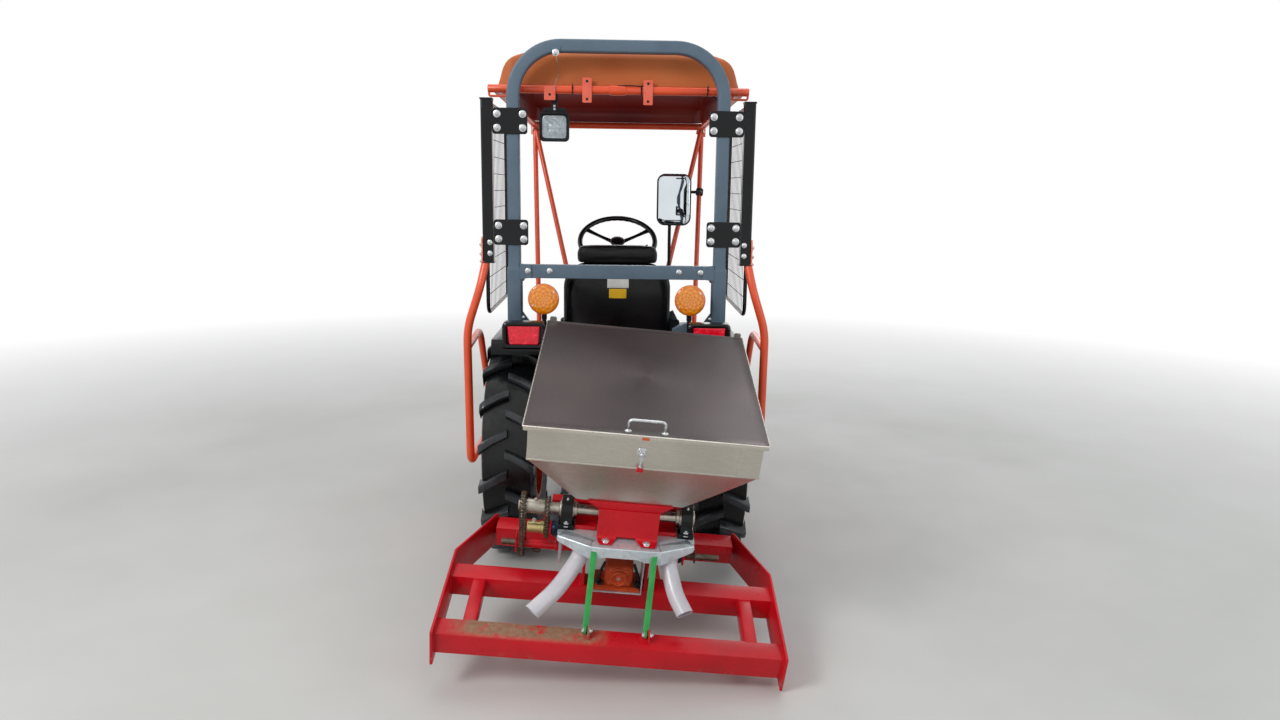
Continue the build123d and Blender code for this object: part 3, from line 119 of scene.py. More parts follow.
def frameOf(direction, up=(0, 0, 1)):
    # Rows: side, up and forward of a frame that looks along a direction.
    forward = np.asarray(direction, float) / np.linalg.norm(direction)
    up = np.asarray(up, float)
    if abs(forward @ up) > 0.95:
        up = np.array((0.0, 1.0, 0.0)) if abs(forward[1]) < 0.9 else np.array((1.0, 0.0, 0.0))
    side = np.cross(up, forward)
    side /= np.linalg.norm(side)
    return np.stack((side, np.cross(forward, side), forward))


def latheParts(profile, centre, direction, sides=32, up=(0, 0, 1)):
    # A profile of (distance along, radius) turned about a direction; ends at radius 0 close it.
    profile = np.asarray(profile, float)
    side, over, forward = frameOf(direction, up)
    turn = np.linspace(0, 2 * np.pi, sides, endpoint=False)
    ring = np.cos(turn)[:, None] * side + np.sin(turn)[:, None] * over
    points = np.asarray(centre, float) + profile[:, None, 0:1] * forward + profile[:, None, 1:2] * ring
    return points.reshape(-1, 3), gridFaces(len(profile), sides, False, True)


def smoothPath(points, radius=0.03, steps=5):
    # Straight runs between corners, each corner rounded by an arc as a quadratic curve.
    points = np.asarray(points, float)
    out = [points[0]]
    for before, corner, after in zip(points[:-2], points[1:-1], points[2:]):
        a, b = before - corner, after - corner
        la, lb = np.linalg.norm(a), np.linalg.norm(b)
        cut = min(radius, 0.48 * la, 0.48 * lb)
        start, end = corner + a / la * cut, corner + b / lb * cut
        t = np.linspace(0, 1, steps)[:, None]
        out += list((1 - t) ** 2 * start + 2 * t * (1 - t) * corner + t**2 * end)
    out.append(points[-1])
    return np.array(out)


def sweepParts(path, section, closed=False, up=(0, 0, 1), scale=None, caps=True):
    # A closed section of (side, over) points carried along a path, square to it all the way.
    path, section = np.asarray(path, float), np.asarray(section, float)
    ahead = np.roll(path, -1, 0) - path
    if closed:
        tangent = ahead + path - np.roll(path, 1, 0)
    else:
        ahead[-1] = ahead[-2]
        unit = ahead / np.linalg.norm(ahead, axis=1)[:, None]
        tangent = unit.copy()
        tangent[1:] = unit[1:] + unit[:-1]
        tangent[-1] = unit[-1]
    tangent /= np.linalg.norm(tangent, axis=1)[:, None]
    side = frameOf(tangent[0], up)[0]
    sides = []
    for t in tangent:  # the side turns as little as it can from point to point
        side = side - (side @ t) * t
        side /= np.linalg.norm(side)
        sides.append(side)
    sides = np.array(sides)
    over = np.cross(tangent, sides)
    if closed:  # spread what is left over round the loop
        gap = np.arctan2(sides[-1] @ over[0], sides[-1] @ sides[0])
        turn = -gap * np.arange(len(path)) / len(path)
        sides, over = (
            np.cos(turn)[:, None] * sides + np.sin(turn)[:, None] * over,
            -np.sin(turn)[:, None] * sides + np.cos(turn)[:, None] * over,
        )
    size = np.ones(len(path)) if scale is None else np.asarray(scale, float)
    rings = (
        path[:, None]
        + size[:, None, None] * section[None, :, 0:1] * sides[:, None]
        + size[:, None, None] * section[None, :, 1:2] * over[:, None]
    )
    n = len(section)
    faces = gridFaces(len(path), n, closed, True).tolist()
    if caps and not closed:
        faces += [list(range(n))[::-1], [(len(path) - 1) * n + k for k in range(n)]]
    return rings.reshape(-1, 3), faces


def circle(radius, sides=16):
    turn = np.linspace(0, 2 * np.pi, sides, endpoint=False)
    return np.stack((radius * np.cos(turn), radius * np.sin(turn)), -1)


def roundedRect(width, height, radius, steps=4):
    # Corner points of a rectangle with round corners, anticlockwise.
    turn = np.linspace(0, np.pi / 2, steps)
    out = []
    for k, (sx, sy) in enumerate(((1, 1), (-1, 1), (-1, -1), (1, -1))):
        a = turn + k * np.pi / 2
        out.append(
            np.stack(
                (
                    sx * (width / 2 - radius) + radius * np.cos(a),
                    sy * (height / 2 - radius) + radius * np.sin(a),
                ),
                -1,
            )
        )
    return np.concatenate(out)


def plateParts(outline, low, high, place):
    # A flat outline of (x, y) points given a thickness, then placed by a function of points.
    outline = np.asarray(outline, float)
    n = len(outline)
    lower = np.column_stack((outline, np.full(n, low)))
    upper = np.column_stack((outline, np.full(n, high)))
    faces = [list(range(n))[::-1], list(range(n, 2 * n))]
    faces += [[k, (k + 1) % n, n + (k + 1) % n, n + k] for k in range(n)]
    return place(np.concatenate((lower, upper))), faces


def outwards(obj, merge=1e-5):
    # Merges doubles and turns every face outwards.
    bm = bmesh.new()
    bm.from_mesh(obj.data)
    bmesh.ops.remove_doubles(bm, verts=bm.verts, dist=merge)
    bmesh.ops.recalc_face_normals(bm, faces=bm.faces)
    bm.to_mesh(obj.data)
    bm.free()
    return obj


def bevelled(obj, width, segments=2, angle=30):
    bevel = obj.modifiers.new("edges", "BEVEL")
    bevel.width, bevel.segments, bevel.limit_method = width, segments, "ANGLE"
    bevel.angle_limit = radians(angle)
    bevel.harden_normals = False
    bevel.use_clamp_overlap = True
    return obj


def finishPiece(obj, body, look, stands=()):
    # Gives a piece its finish and body, and hides the CAD nodes that it stands for.
    if obj.data.materials:
        obj.data.materials.clear()
    for finish in look if isinstance(look, (list, tuple)) else [look]:
        obj.data.materials.append(finishes[finish])
    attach(obj, body)
    if stands:
        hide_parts(*stands)
    return obj


# finishes: each is built from the same few layers of noise, in Object coordinates
def linear(hexColour):
    # sRGB hex to the linear colour that the shader takes.
    c = np.array([int(hexColour[k : k + 2], 16) for k in (0, 2, 4)]) / 255
    return (*np.where(c <= 0.04045, c / 12.92, ((c + 0.055) / 1.055) ** 2.4), 1.0)


def addNode(tree, kind, inputs=None, **settings):
    # A shader node with its settings, its sockets given numbers or links.
    node = tree.nodes.new(kind)
    for key, value in settings.items():
        setattr(node, key, value)
    for key, value in (inputs or {}).items():
        if isinstance(value, bpy.types.NodeSocket):
            tree.links.new(value, node.inputs[key])
        else:
            node.inputs[key].default_value = value
    return node


def noiseFac(tree, vector, scale, detail=3.0, roughness=0.55):
    sockets = {"Vector": vector, "Scale": scale, "Detail": detail, "Roughness": roughness}
    return addNode(tree, "ShaderNodeTexNoise", sockets).outputs[0]


def ranged(tree, value, low, high, toLow=0.0, toHigh=1.0):
    sockets = {"Value": value, "From Min": low, "From Max": high, "To Min": toLow, "To Max": toHigh}
    return addNode(tree, "ShaderNodeMapRange", sockets, clamp=True).outputs[0]


def mixColour(tree, factor, a, b, blend="MIX"):
    sockets = {0: factor, 6: a, 7: b}
    return addNode(tree, "ShaderNodeMix", sockets, data_type="RGBA", blend_type=blend).outputs[2]


def maths(tree, operation, a, b=0.5):
    return addNode(tree, "ShaderNodeMath", {0: a, 1: b}, operation=operation).outputs[0]


toolEuler = Matrix(toolAxes.tolist()).to_euler("XYZ")
toolShift = -(toolAxes @ toolOrigin)


def placeSocket(tree, tilted, stretch):
    # Object coordinates, turned into the implement's own axes where it is tilted, then stretched.
    place = addNode(tree, "ShaderNodeTexCoord").outputs["Object"]
    if tilted:
        sockets = {"Vector": place, "Rotation": tuple(toolEuler), "Location": tuple(toolShift)}
        place = addNode(tree, "ShaderNodeMapping", sockets).outputs[0]
    if stretch:
        place = addNode(tree, "ShaderNodeMapping", {"Vector": place, "Scale": stretch}).outputs[0]
    return place


def makeFinish(name, look):
    # colour, second: the base and what it is mottled with, as mottle (scale, low, high) says
    # dirt: (colour, scale, low, high, strength), patches from a coarse noise
    # specks: (colour, scale, low, high), small chips or dust
    # edge: (colour, low, high), a lighter tone in patches on edges, where the mesh is convex
    # rough: lowest and highest roughness, bump: (scale, strength, millimetres)
    material = bpy.data.materials.new(name)
    material.use_nodes = True
    tree = material.node_tree
    shader = tree.nodes["Principled BSDF"]
    place = placeSocket(tree, look.get("tilted"), look.get("stretch"))
    plain = placeSocket(tree, look.get("tilted"), None) if look.get("stretch") else place
    scale, low, high = look.get("mottle", (6, 0.35, 0.7))
    blotch = ranged(tree, noiseFac(tree, place, scale, 5), low, high)
    colour = mixColour(tree, blotch, linear(look["colour"]), linear(look.get("second", look["colour"])))
    roughLow, roughHigh = look.get("rough", (0.35, 0.5))
    rough = ranged(tree, noiseFac(tree, place, scale * 2.3, 4), 0.3, 0.7, roughLow, roughHigh)
    if "cloudy" in look:  # a second, larger tone over the first
        cloudColour, cloudScale, cloudLow, cloudHigh = look["cloudy"]
        cloud = ranged(tree, noiseFac(tree, plain, cloudScale, 2), cloudLow, cloudHigh)
        colour = mixColour(tree, cloud, colour, linear(cloudColour))
    if "specks" in look:
        speckColour, speckScale, speckLow, speckHigh = look["specks"]
        speck = ranged(tree, noiseFac(tree, plain, speckScale, 2), speckLow, speckHigh)
        colour = mixColour(tree, speck, colour, linear(speckColour))
    # a lighter tone in patches where the mesh is convex
    if "edge" in look:
        edgeColour, edgeLow, edgeHigh = look["edge"]
        point = addNode(tree, "ShaderNodeNewGeometry").outputs["Pointiness"]
        convexEdgeTone = maths(tree, "MULTIPLY", ranged(tree, point, edgeLow, edgeHigh), noiseFac(tree, plain, 38, 4))
        colour = mixColour(tree, ranged(tree, convexEdgeTone, 0.25, 0.7), colour, linear(edgeColour))
    if "dirt" in look:
        dirtColour, dirtScale, dirtLow, dirtHigh, strength = look["dirt"]
        coarse = ranged(tree, noiseFac(tree, plain, dirtScale, 6, 0.65), dirtLow, dirtHigh, 0.0, strength)
        colour = mixColour(tree, coarse, colour, linear(dirtColour))
        rough = maths(tree, "ADD", rough, maths(tree, "MULTIPLY", coarse, 0.35))
    if "spangle" in look:  # zinc's crystals
        spangleScale, spangleTint = look["spangle"]
        cells = addNode(tree, "ShaderNodeTexVoronoi", {"Vector": plain, "Scale": spangleScale})
        tone = addNode(tree, "ShaderNodeRGBToBW", {0: cells.outputs["Color"]}).outputs[0]
        colour = mixColour(tree, maths(tree, "MULTIPLY", tone, 0.6), colour, linear(spangleTint))
    if "local" in look:
        colour, rough = look["local"](tree, plain, colour, rough)
    tree.links.new(colour, shader.inputs["Base Color"])
    tree.links.new(rough, shader.inputs["Roughness"])
    if "bump" in look:
        bumpScale, strength, depth = look["bump"]
        height = noiseFac(tree, place, bumpScale, 4)
        sockets = {"Strength": strength, "Distance": depth / 1000, "Height": height}
        tree.links.new(addNode(tree, "ShaderNodeBump", sockets).outputs[0], shader.inputs["Normal"])
    for socket, value in look.get("sockets", {}).items():
        shader.inputs[socket].default_value = value
    shader.inputs["Metallic"].default_value = look.get("metal", 0.0)
    finishes[name] = material
    return material


def rustOnRail(tree, plain, colour, rough):
    # Bare, rusty steel on top of the rear rail, left of the middle, and soil rubbed along its face.
    parts = addNode(tree, "ShaderNodeSeparateXYZ", {0: plain}).outputs
    ragged = noiseFac(tree, plain, 22, 8, 0.7)
    alongX = maths(tree, "MULTIPLY", ranged(tree, parts[0], -0.52, -0.44), ranged(tree, parts[0], 0.0, -0.06))
    alongY = maths(tree, "MULTIPLY", ranged(tree, parts[1], -0.004, 0.02), ranged(tree, parts[1], 0.082, 0.07))
    top = maths(tree, "MULTIPLY", alongY, ranged(tree, parts[2], 0.108, 0.114))
    patch = maths(tree, "MULTIPLY", maths(tree, "MULTIPLY", alongX, top), ranged(tree, ragged, 0.36, 0.5))
    band = maths(tree, "MULTIPLY", ranged(tree, parts[1], 0.03, 0.0), ranged(tree, ragged, 0.56, 0.66))
    smear = maths(tree, "MULTIPLY", band, ranged(tree, parts[2], 0.06, 0.045))
    shade = maths(tree, "MAXIMUM", patch, maths(tree, "MULTIPLY", smear, 0.8))
    earth = mixColour(tree, noiseFac(tree, plain, 60, 5), linear("7a3b22"), linear("a88f74"))
    return mixColour(tree, shade, colour, earth), maths(tree, "ADD", rough, maths(tree, "MULTIPLY", shade, 0.4))


def lensGlintsAndShade(tree, plain, colour, rough):
    # Painted highlights and painted shade in rings and rays round the middle of each turn lamp's lens, for light
    # through its facets; darker towards the lens's edge.
    parts = addNode(tree, "ShaderNodeSeparateXYZ", {0: plain}).outputs
    across = maths(tree, "SUBTRACT", maths(tree, "ABSOLUTE", parts[0], 0.0), 0.300)
    upward2 = maths(tree, "SUBTRACT", parts[2], 1.115)
    flat = addNode(tree, "ShaderNodeCombineXYZ", {0: across, 1: upward2, 2: 0.0}).outputs[0]
    radius = addNode(tree, "ShaderNodeVectorMath", {0: flat}, operation="LENGTH").outputs["Value"]
    angle = maths(tree, "ARCTAN2", upward2, across)
    rays = maths(tree, "SINE", maths(tree, "MULTIPLY", angle, 7.0), 0.0)
    rings = maths(tree, "SINE", maths(tree, "MULTIPLY", radius, 330.0), 0.0)
    wobble = maths(tree, "MULTIPLY", noiseFac(tree, plain, 60, 2), 1.2)
    both = maths(tree, "ADD", maths(tree, "MULTIPLY", rays, rings), wobble)
    # pale orange: painted highlight; dark orange: painted shade
    colour = mixColour(tree, ranged(tree, both, 0.75, 1.45, 0.0, 0.42), colour, linear("ffd05a"))
    colour = mixColour(tree, ranged(tree, both, 0.5, -0.3, 0.0, 0.36), colour, linear("a33c02"))
    rim = ranged(tree, radius, 0.050, 0.060)
    return mixColour(tree, rim, colour, linear("d96a06")), rough


def treadDustAndHighlight(tree, plain, colour, rough):
    # The lugs' outer faces are greyer and smoother, partly dust and partly a painted highlight: by distance from each
    # axle, front and rear.
    parts = addNode(tree, "ShaderNodeSeparateXYZ", {0: plain}).outputs
    masks = []
    for middleY, middleZ, low, high, near, far in ((axleY, 0.46, 0.436, 0.452, 0.3, 0.2), (frontAxleY, 0.28, 0.262, 0.272, 0.6, 0.7)):
        away, above = maths(tree, "SUBTRACT", parts[1], middleY), maths(tree, "SUBTRACT", parts[2], middleZ)
        flat = addNode(tree, "ShaderNodeCombineXYZ", {0: away, 1: above, 2: 0.0}).outputs[0]
        radius = addNode(tree, "ShaderNodeVectorMath", {0: flat}, operation="LENGTH").outputs["Value"]
        masks.append(maths(tree, "MULTIPLY", ranged(tree, radius, low, high), ranged(tree, parts[1], near, far)))
    dustAndHighlightMask = maths(tree, "MULTIPLY", maths(tree, "MAXIMUM", *masks), ranged(tree, noiseFac(tree, plain, 16, 4), 0.3, 0.62, 0.25, 0.9))
    return mixColour(tree, dustAndHighlightMask, colour, linear("3d4145")), maths(tree, "SUBTRACT", rough, maths(tree, "MULTIPLY", dustAndHighlightMask, 0.06))


finishes = {}
looks = {
    "redPaint": {
        "colour": "cf0c1e", "second": "b90a19", "mottle": (5, 0.4, 0.7), "rough": (0.26, 0.42), "tilted": True,
        "edge": ("ee5a66", 0.55, 0.66), "dirt": ("8f4a3c", 9, 0.65, 0.76, 0.6), "specks": ("e8837e", 120, 0.76, 0.8),
        "local": rustOnRail, "bump": (90, 0.12, 0.6), "sockets": {"Specular IOR Level": 0.35},
    },
    "orangePaint": {
        "colour": "ee5528", "second": "e04a20", "mottle": (7, 0.4, 0.7), "rough": (0.3, 0.45),
        "edge": ("ffa284", 0.53, 0.64), "specks": ("7d2a16", 150, 0.74, 0.78), "bump": (120, 0.08, 0.5),
        "sockets": {"Coat Weight": 0.3, "Coat Roughness": 0.15},
    },
    "salmonPaint": {
        "colour": "f07058", "second": "e9624a", "mottle": (18, 0.4, 0.7), "rough": (0.4, 0.55),
        "specks": ("7d2a16", 190, 0.7, 0.75), "bump": (150, 0.1, 0.4),
    },
    # the roof's outside: its orange painted darker, to the brown it shows in shade, as painted shade over the whole
    # outside
    "roofOutsideInShade": {
        "colour": "bf6230", "second": "b05526", "mottle": (3, 0.35, 0.7), "rough": (0.5, 0.64),
        "cloudy": ("c9763f", 1.6, 0.45, 0.75), "specks": ("8a4020", 170, 0.74, 0.79), "bump": (60, 0.06, 0.8),
        "sockets": {"Specular IOR Level": 0.35},
    },
    "roofInside": {
        "colour": "7c1a18", "second": "64100f", "mottle": (3, 0.35, 0.7), "rough": (0.35, 0.5),
        "cloudy": ("8f2a1e", 2.0, 0.45, 0.75), "bump": (50, 0.15, 0.8),
    },
    "greyBluePaint": {
        "colour": "596c7c", "second": "4f6272", "mottle": (9, 0.4, 0.7), "rough": (0.36, 0.5),
        "edge": ("8ba0b0", 0.53, 0.64), "specks": ("2c3a46", 180, 0.72, 0.77), "bump": (140, 0.1, 0.5),
    },
    "blackPaint": {
        "colour": "121416", "second": "1b1d20", "mottle": (8, 0.4, 0.7), "rough": (0.2, 0.36),
        "specks": ("4b4d50", 200, 0.73, 0.77), "bump": (130, 0.1, 0.4),
        "sockets": {"Specular IOR Level": 0.25},
    },
    "greenPaint": {
        "colour": "1f9c43", "second": "188238", "mottle": (20, 0.4, 0.7), "rough": (0.3, 0.45), "tilted": True,
        "edge": ("7fd09a", 0.53, 0.64), "specks": ("d8e5da", 210, 0.72, 0.77), "bump": (120, 0.1, 0.4),
    },
    "caseGreyPaint": {
        "colour": "3b3f43", "second": "303438", "mottle": (7, 0.35, 0.7), "rough": (0.45, 0.62),
        "dirt": ("6d6152", 8, 0.58, 0.72, 0.5), "bump": (90, 0.2, 0.8),
    },
    "castIron": {
        "colour": "26292c", "second": "34373a", "mottle": (12, 0.35, 0.7), "rough": (0.5, 0.68),
        "dirt": ("5f5548", 7, 0.56, 0.72, 0.5), "bump": (160, 0.5, 1.0), "metal": 0.2,
    },
    "rubber": {
        "local": treadDustAndHighlight, "colour": "0a0b0d", "second": "101214", "mottle": (14, 0.35, 0.7), "rough": (0.2, 0.36),
        "dirt": ("3e3a34", 10, 0.62, 0.78, 0.3), "bump": (220, 0.15, 0.5), "sockets": {"Specular IOR Level": 0.32},
    },
    # the lid's top: stainless painted dark, a painted reflection of a dark roof overhead
    "lidPaintedReflection": {
        "colour": "5c5657", "second": "4b4647", "mottle": (30, 0.3, 0.7), "rough": (0.36, 0.48), "metal": 0.8,
        "tilted": True, "stretch": (34, 0.9, 6), "cloudy": ("615757", 2.4, 0.4, 0.7),
        "specks": ("9a9590", 130, 0.75, 0.8), "bump": (45, 0.08, 0.3), "sockets": {"Anisotropic": 0.5},
    },
    "stainless": {
        "colour": "d2ccc2", "second": "bab4aa", "mottle": (30, 0.3, 0.7), "rough": (0.24, 0.38), "metal": 0.95,
        "tilted": True, "stretch": (1.2, 1.2, 46), "cloudy": ("b2aca2", 2.2, 0.4, 0.7),
        "bump": (40, 0.06, 0.3), "sockets": {"Anisotropic": 0.4},
    },
    "steel": {
        "colour": "b9b3a8", "second": "9d978c", "mottle": (40, 0.3, 0.7), "rough": (0.22, 0.4), "metal": 0.95,
        "specks": ("6c655c", 240, 0.66, 0.74), "bump": (90, 0.1, 0.3),
    },
    "brassSteel": {
        "colour": "c9b883", "second": "b7a670", "mottle": (40, 0.3, 0.7), "rough": (0.24, 0.4), "metal": 0.9,
        "specks": ("7c6f52", 240, 0.66, 0.74), "bump": (90, 0.1, 0.3),
    },
    "chainSteel": {
        "colour": "6d6458", "second": "4c443b", "mottle": (60, 0.3, 0.7), "rough": (0.32, 0.55), "metal": 0.85,
        "dirt": ("6b4630", 30, 0.5, 0.66, 0.6), "bump": (150, 0.25, 0.4),
    },
    "boltSteel": {
        "colour": "d5d7d8", "second": "b3b6b9", "mottle": (60, 0.3, 0.7), "rough": (0.22, 0.38), "metal": 0.9,
        "specks": ("8a7c5c", 260, 0.66, 0.74), "bump": (120, 0.1, 0.2),
    },
    "zinc": {
        "colour": "b4c0c6", "second": "c6d2d8", "mottle": (9, 0.35, 0.7), "rough": (0.36, 0.55), "metal": 0.55,
        "tilted": True, "spangle": (70, "e4edf0"), "specks": ("8d979c", 140, 0.7, 0.76), "bump": (60, 0.15, 0.4),
    },
    "gearOrange": {
        "colour": "d9541f", "second": "c04415", "mottle": (24, 0.35, 0.7), "rough": (0.4, 0.6), "tilted": True,
        "edge": ("f0905c", 0.53, 0.64), "dirt": ("6e3a22", 26, 0.55, 0.7, 0.6), "bump": (150, 0.35, 0.6),
    },
    "blackPlastic": {
        "colour": "15171a", "second": "1d1f22", "mottle": (12, 0.35, 0.7), "rough": (0.42, 0.58),
        "specks": ("3a3c40", 260, 0.7, 0.76), "bump": (420, 0.25, 0.3), "sockets": {"Specular IOR Level": 0.2},
    },
    "glossBlack": {
        "colour": "0b0c0e", "second": "121417", "mottle": (9, 0.35, 0.7), "rough": (0.12, 0.24),
        "specks": ("303338", 260, 0.72, 0.77), "bump": (80, 0.04, 0.3), "sockets": {"Specular IOR Level": 0.28},
    },
    "vinyl": {
        "colour": "101113", "second": "17181b", "mottle": (10, 0.35, 0.7), "rough": (0.3, 0.46),
        "specks": ("2e3034", 240, 0.7, 0.76), "bump": (330, 0.4, 0.5), "sockets": {"Specular IOR Level": 0.25},
    },
    "hosePlastic": {
        "colour": "cfccd2", "second": "bdbac4", "mottle": (14, 0.35, 0.7), "rough": (0.26, 0.4), "tilted": True,
        "cloudy": ("e2dde2", 7, 0.4, 0.7), "dirt": ("9c9488", 14, 0.62, 0.76, 0.35), "bump": (40, 0.1, 0.6),
        "sockets": {"Subsurface Weight": 0.35, "Subsurface Radius": (0.03, 0.03, 0.035), "Coat Weight": 0.25},
    },
    "bonnetPaint": {
        "colour": "e4501f", "second": "da481a", "mottle": (2, 0.4, 0.7), "rough": (0.26, 0.38),
        "specks": ("7d2a16", 170, 0.76, 0.8), "bump": (120, 0.04, 0.4),
        "sockets": {"Coat Weight": 0.35, "Coat Roughness": 0.1},
    },
    "stripeGrey": {
        "colour": "3c4248", "second": "343a40", "mottle": (10, 0.4, 0.7), "rough": (0.3, 0.42),
        "specks": ("6a7076", 190, 0.74, 0.79), "bump": (120, 0.05, 0.3),
    },
    "rubberMat": {
        "colour": "16171a", "second": "1f2023", "mottle": (20, 0.35, 0.7), "rough": (0.6, 0.8),
        "dirt": ("6a6053", 9, 0.55, 0.72, 0.45), "bump": (300, 0.3, 0.4), "sockets": {"Specular IOR Level": 0.25},
    },
    "dialFace": {
        "colour": "e3e1d8", "second": "d2d0c6", "mottle": (30, 0.3, 0.7), "rough": (0.5, 0.6),
        "specks": ("9c9a92", 220, 0.72, 0.77), "bump": (60, 0.03, 0.2),
    },
    "brownPaint": {
        "colour": "8a3526", "second": "74281c", "mottle": (16, 0.35, 0.7), "rough": (0.4, 0.55),
        "edge": ("b0583f", 0.53, 0.64), "specks": ("4b1a12", 180, 0.7, 0.76), "bump": (120, 0.15, 0.4),
    },
    "hemSteel": {
        "colour": "d9d4cb", "second": "c4beb4", "mottle": (30, 0.3, 0.7), "rough": (0.2, 0.34), "metal": 0.9,
        "tilted": True, "specks": ("8d877e", 220, 0.7, 0.76), "bump": (60, 0.08, 0.3),
    },
    "amberLens": {
        "colour": "f5930f", "second": "ee7c08", "mottle": (30, 0.3, 0.7), "rough": (0.07, 0.14),
        "local": lensGlintsAndShade, "bump": (60, 0.05, 0.4),
        "sockets": {"Coat Weight": 0.7, "Emission Color": (1.0, 0.32, 0.0, 1.0), "Emission Strength": 0.06},
    },
    "redLens": {
        "colour": "e60d2c", "second": "c40820", "mottle": (40, 0.3, 0.7), "rough": (0.08, 0.18),
        "cloudy": ("ff3a52", 60, 0.55, 0.7), "specks": ("ff9aa8", 90, 0.7, 0.76), "bump": (60, 0.05, 0.4),
        "sockets": {"Coat Weight": 0.4, "Specular IOR Level": 0.35, "Emission Color": (1.0, 0.0, 0.03, 1.0), "Emission Strength": 0.12},
    },
    "clearLens": {
        "colour": "eef3f5", "second": "dfe6ea", "mottle": (30, 0.3, 0.7), "rough": (0.04, 0.1),
        "bump": (160, 0.1, 0.3), "sockets": {"Transmission Weight": 0.85, "IOR": 1.48},
    },
    "reflector": {
        "colour": "e8ecee", "second": "c9d0d4", "mottle": (30, 0.3, 0.7), "rough": (0.06, 0.14), "metal": 1.0,
        "bump": (50, 0.06, 0.3),
    },
    "mirrorGlass": {
        "colour": "dfe6ea", "second": "cfd8de", "mottle": (5, 0.3, 0.7), "rough": (0.015, 0.04), "metal": 1.0,
        "specks": ("8e989e", 120, 0.74, 0.78), "bump": (14, 0.03, 0.6),
    },
    "whiteSticker": {
        "colour": "e9e9e6", "second": "dcdcd8", "mottle": (30, 0.3, 0.7), "rough": (0.3, 0.42),
        "specks": ("b5b3ac", 200, 0.7, 0.76), "bump": (60, 0.05, 0.2),
    },
    "yellowSticker": {
        "colour": "f4c318", "second": "e8b30f", "mottle": (30, 0.3, 0.7), "rough": (0.3, 0.42),
        "specks": ("b98f12", 200, 0.7, 0.76), "bump": (60, 0.05, 0.2),
    },
    "webbing": {
        "colour": "23262a", "second": "2f3337", "mottle": (60, 0.3, 0.7), "rough": (0.7, 0.85),
        "stretch": (1, 1, 9), "bump": (900, 0.6, 0.4),
    },
    "blueSteel": {
        "colour": "1f3350", "second": "192a42", "mottle": (40, 0.3, 0.7), "rough": (0.25, 0.42), "metal": 0.6,
        "specks": ("5a6a7d", 260, 0.7, 0.76), "bump": (90, 0.1, 0.2),
    },
}
for finishName, look in looks.items():
    makeFinish(finishName, look)
print("finishes:", len(finishes))


# the camera, worked out from the hoop, the wheels and the horizon of the picture
focalPixels, imageWidth = 915.0, 1280.0
camera = bpy.data.objects.new("camera", bpy.data.cameras.new("camera"))
bpy.context.scene.collection.objects.link(camera)
bpy.context.scene.camera = camera
pitch, yaw, roll = radians(10.7), np.arctan2(24, focalPixels), radians(0.8)
forward = np.array((sin(yaw) * cos(pitch), cos(yaw) * cos(pitch), -sin(pitch)))
rightward = np.array((cos(yaw), -sin(yaw), 0.0))
upward = np.cross(rightward, forward)
side = rightward * cos(roll) + upward * sin(roll)
over = upward * cos(roll) - rightward * sin(roll)
place = np.eye(4)
place[:3, :3] = np.stack((side, over, -forward), -1)
place[:3, 3] = (0.0, axleY - 3.9, 1.57)
camera.matrix_world = Matrix(place.tolist())
camera.data.sensor_width = 36.0
camera.data.lens = focalPixels / imageWidth * 36.0
camera.data.clip_start, camera.data.clip_end = 0.05, 100.0


# floor, background and lights: a pale studio with one large key from the upper left
def stageObject(name, verts, faces, material):
    obj = meshObject(name, verts, faces, smooth=False)
    obj.data.materials.append(material)
    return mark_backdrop(obj) or obj


def addBackdropRays(tree):
    # 1 where the camera, a reflection or a look through glass sees the background, else 0.
    ray = addNode(tree, "ShaderNodeLightPath").outputs
    seen = maths(tree, "MAXIMUM", ray["Is Camera Ray"], ray["Is Glossy Ray"])
    return maths(tree, "MAXIMUM", seen, ray["Is Transmission Ray"])


def floorMaterial():
    # Pale concrete that keeps the shadow near the tractor and runs into the white further out.
    material = bpy.data.materials.new("floor")
    material.use_nodes = True
    tree = material.node_tree
    shader = tree.nodes["Principled BSDF"]
    place = addNode(tree, "ShaderNodeTexCoord").outputs["Object"]
    tone = ranged(tree, noiseFac(tree, place, 0.9, 6), 0.35, 0.7)
    colour = mixColour(tree, tone, linear("cfcfcc"), linear("c6c6c2"))
    tree.links.new(colour, shader.inputs["Base Color"])
    tree.links.new(ranged(tree, noiseFac(tree, place, 3.0, 4), 0.3, 0.7, 0.6, 0.75), shader.inputs["Roughness"])
    reach = addNode(tree, "ShaderNodeVectorMath", {0: place}, operation="LENGTH").outputs["Value"]
    fade = ranged(tree, reach, floorFade[0], floorFade[1])
    white = addNode(tree, "ShaderNodeEmission", {"Color": (1.0, 1.0, 1.0, 1.0), "Strength": 1.0})
    factor = maths(tree, "MULTIPLY", fade, addBackdropRays(tree))
    both = addNode(tree, "ShaderNodeMixShader", {0: factor, 1: shader.outputs[0], 2: white.outputs[0]})
    tree.links.new(both.outputs[0], tree.nodes["Material Output"].inputs[0])
    return material


floorSide, floorFade = 60.0, (2.6, 7.5)
floorCorners = [(-floorSide, -floorSide, -0.002), (floorSide, -floorSide, -0.002)]
floorCorners += [(floorSide, floorSide, -0.002), (-floorSide, floorSide, -0.002)]
stageObject("studioFloor", floorCorners, [(0, 1, 2, 3)], floorMaterial())

bpy.context.scene.view_settings.view_transform = "Standard"
world = bpy.context.scene.world or bpy.data.worlds.new("world")
bpy.context.scene.world = world
world.use_nodes = True
worldTree = world.node_tree
for node in list(worldTree.nodes):
    worldTree.nodes.remove(node)
soft = addNode(worldTree, "ShaderNodeBackground", {"Color": linear("e9eef3"), "Strength": 0.5})
bright = addNode(worldTree, "ShaderNodeBackground", {"Color": (1.0, 1.0, 1.0, 1.0), "Strength": 1.0})
sky = {0: addBackdropRays(worldTree), 1: soft.outputs[0], 2: bright.outputs[0]}
pick = addNode(worldTree, "ShaderNodeMixShader", sky)
worldOut = addNode(worldTree, "ShaderNodeOutputWorld", {0: pick.outputs[0]})


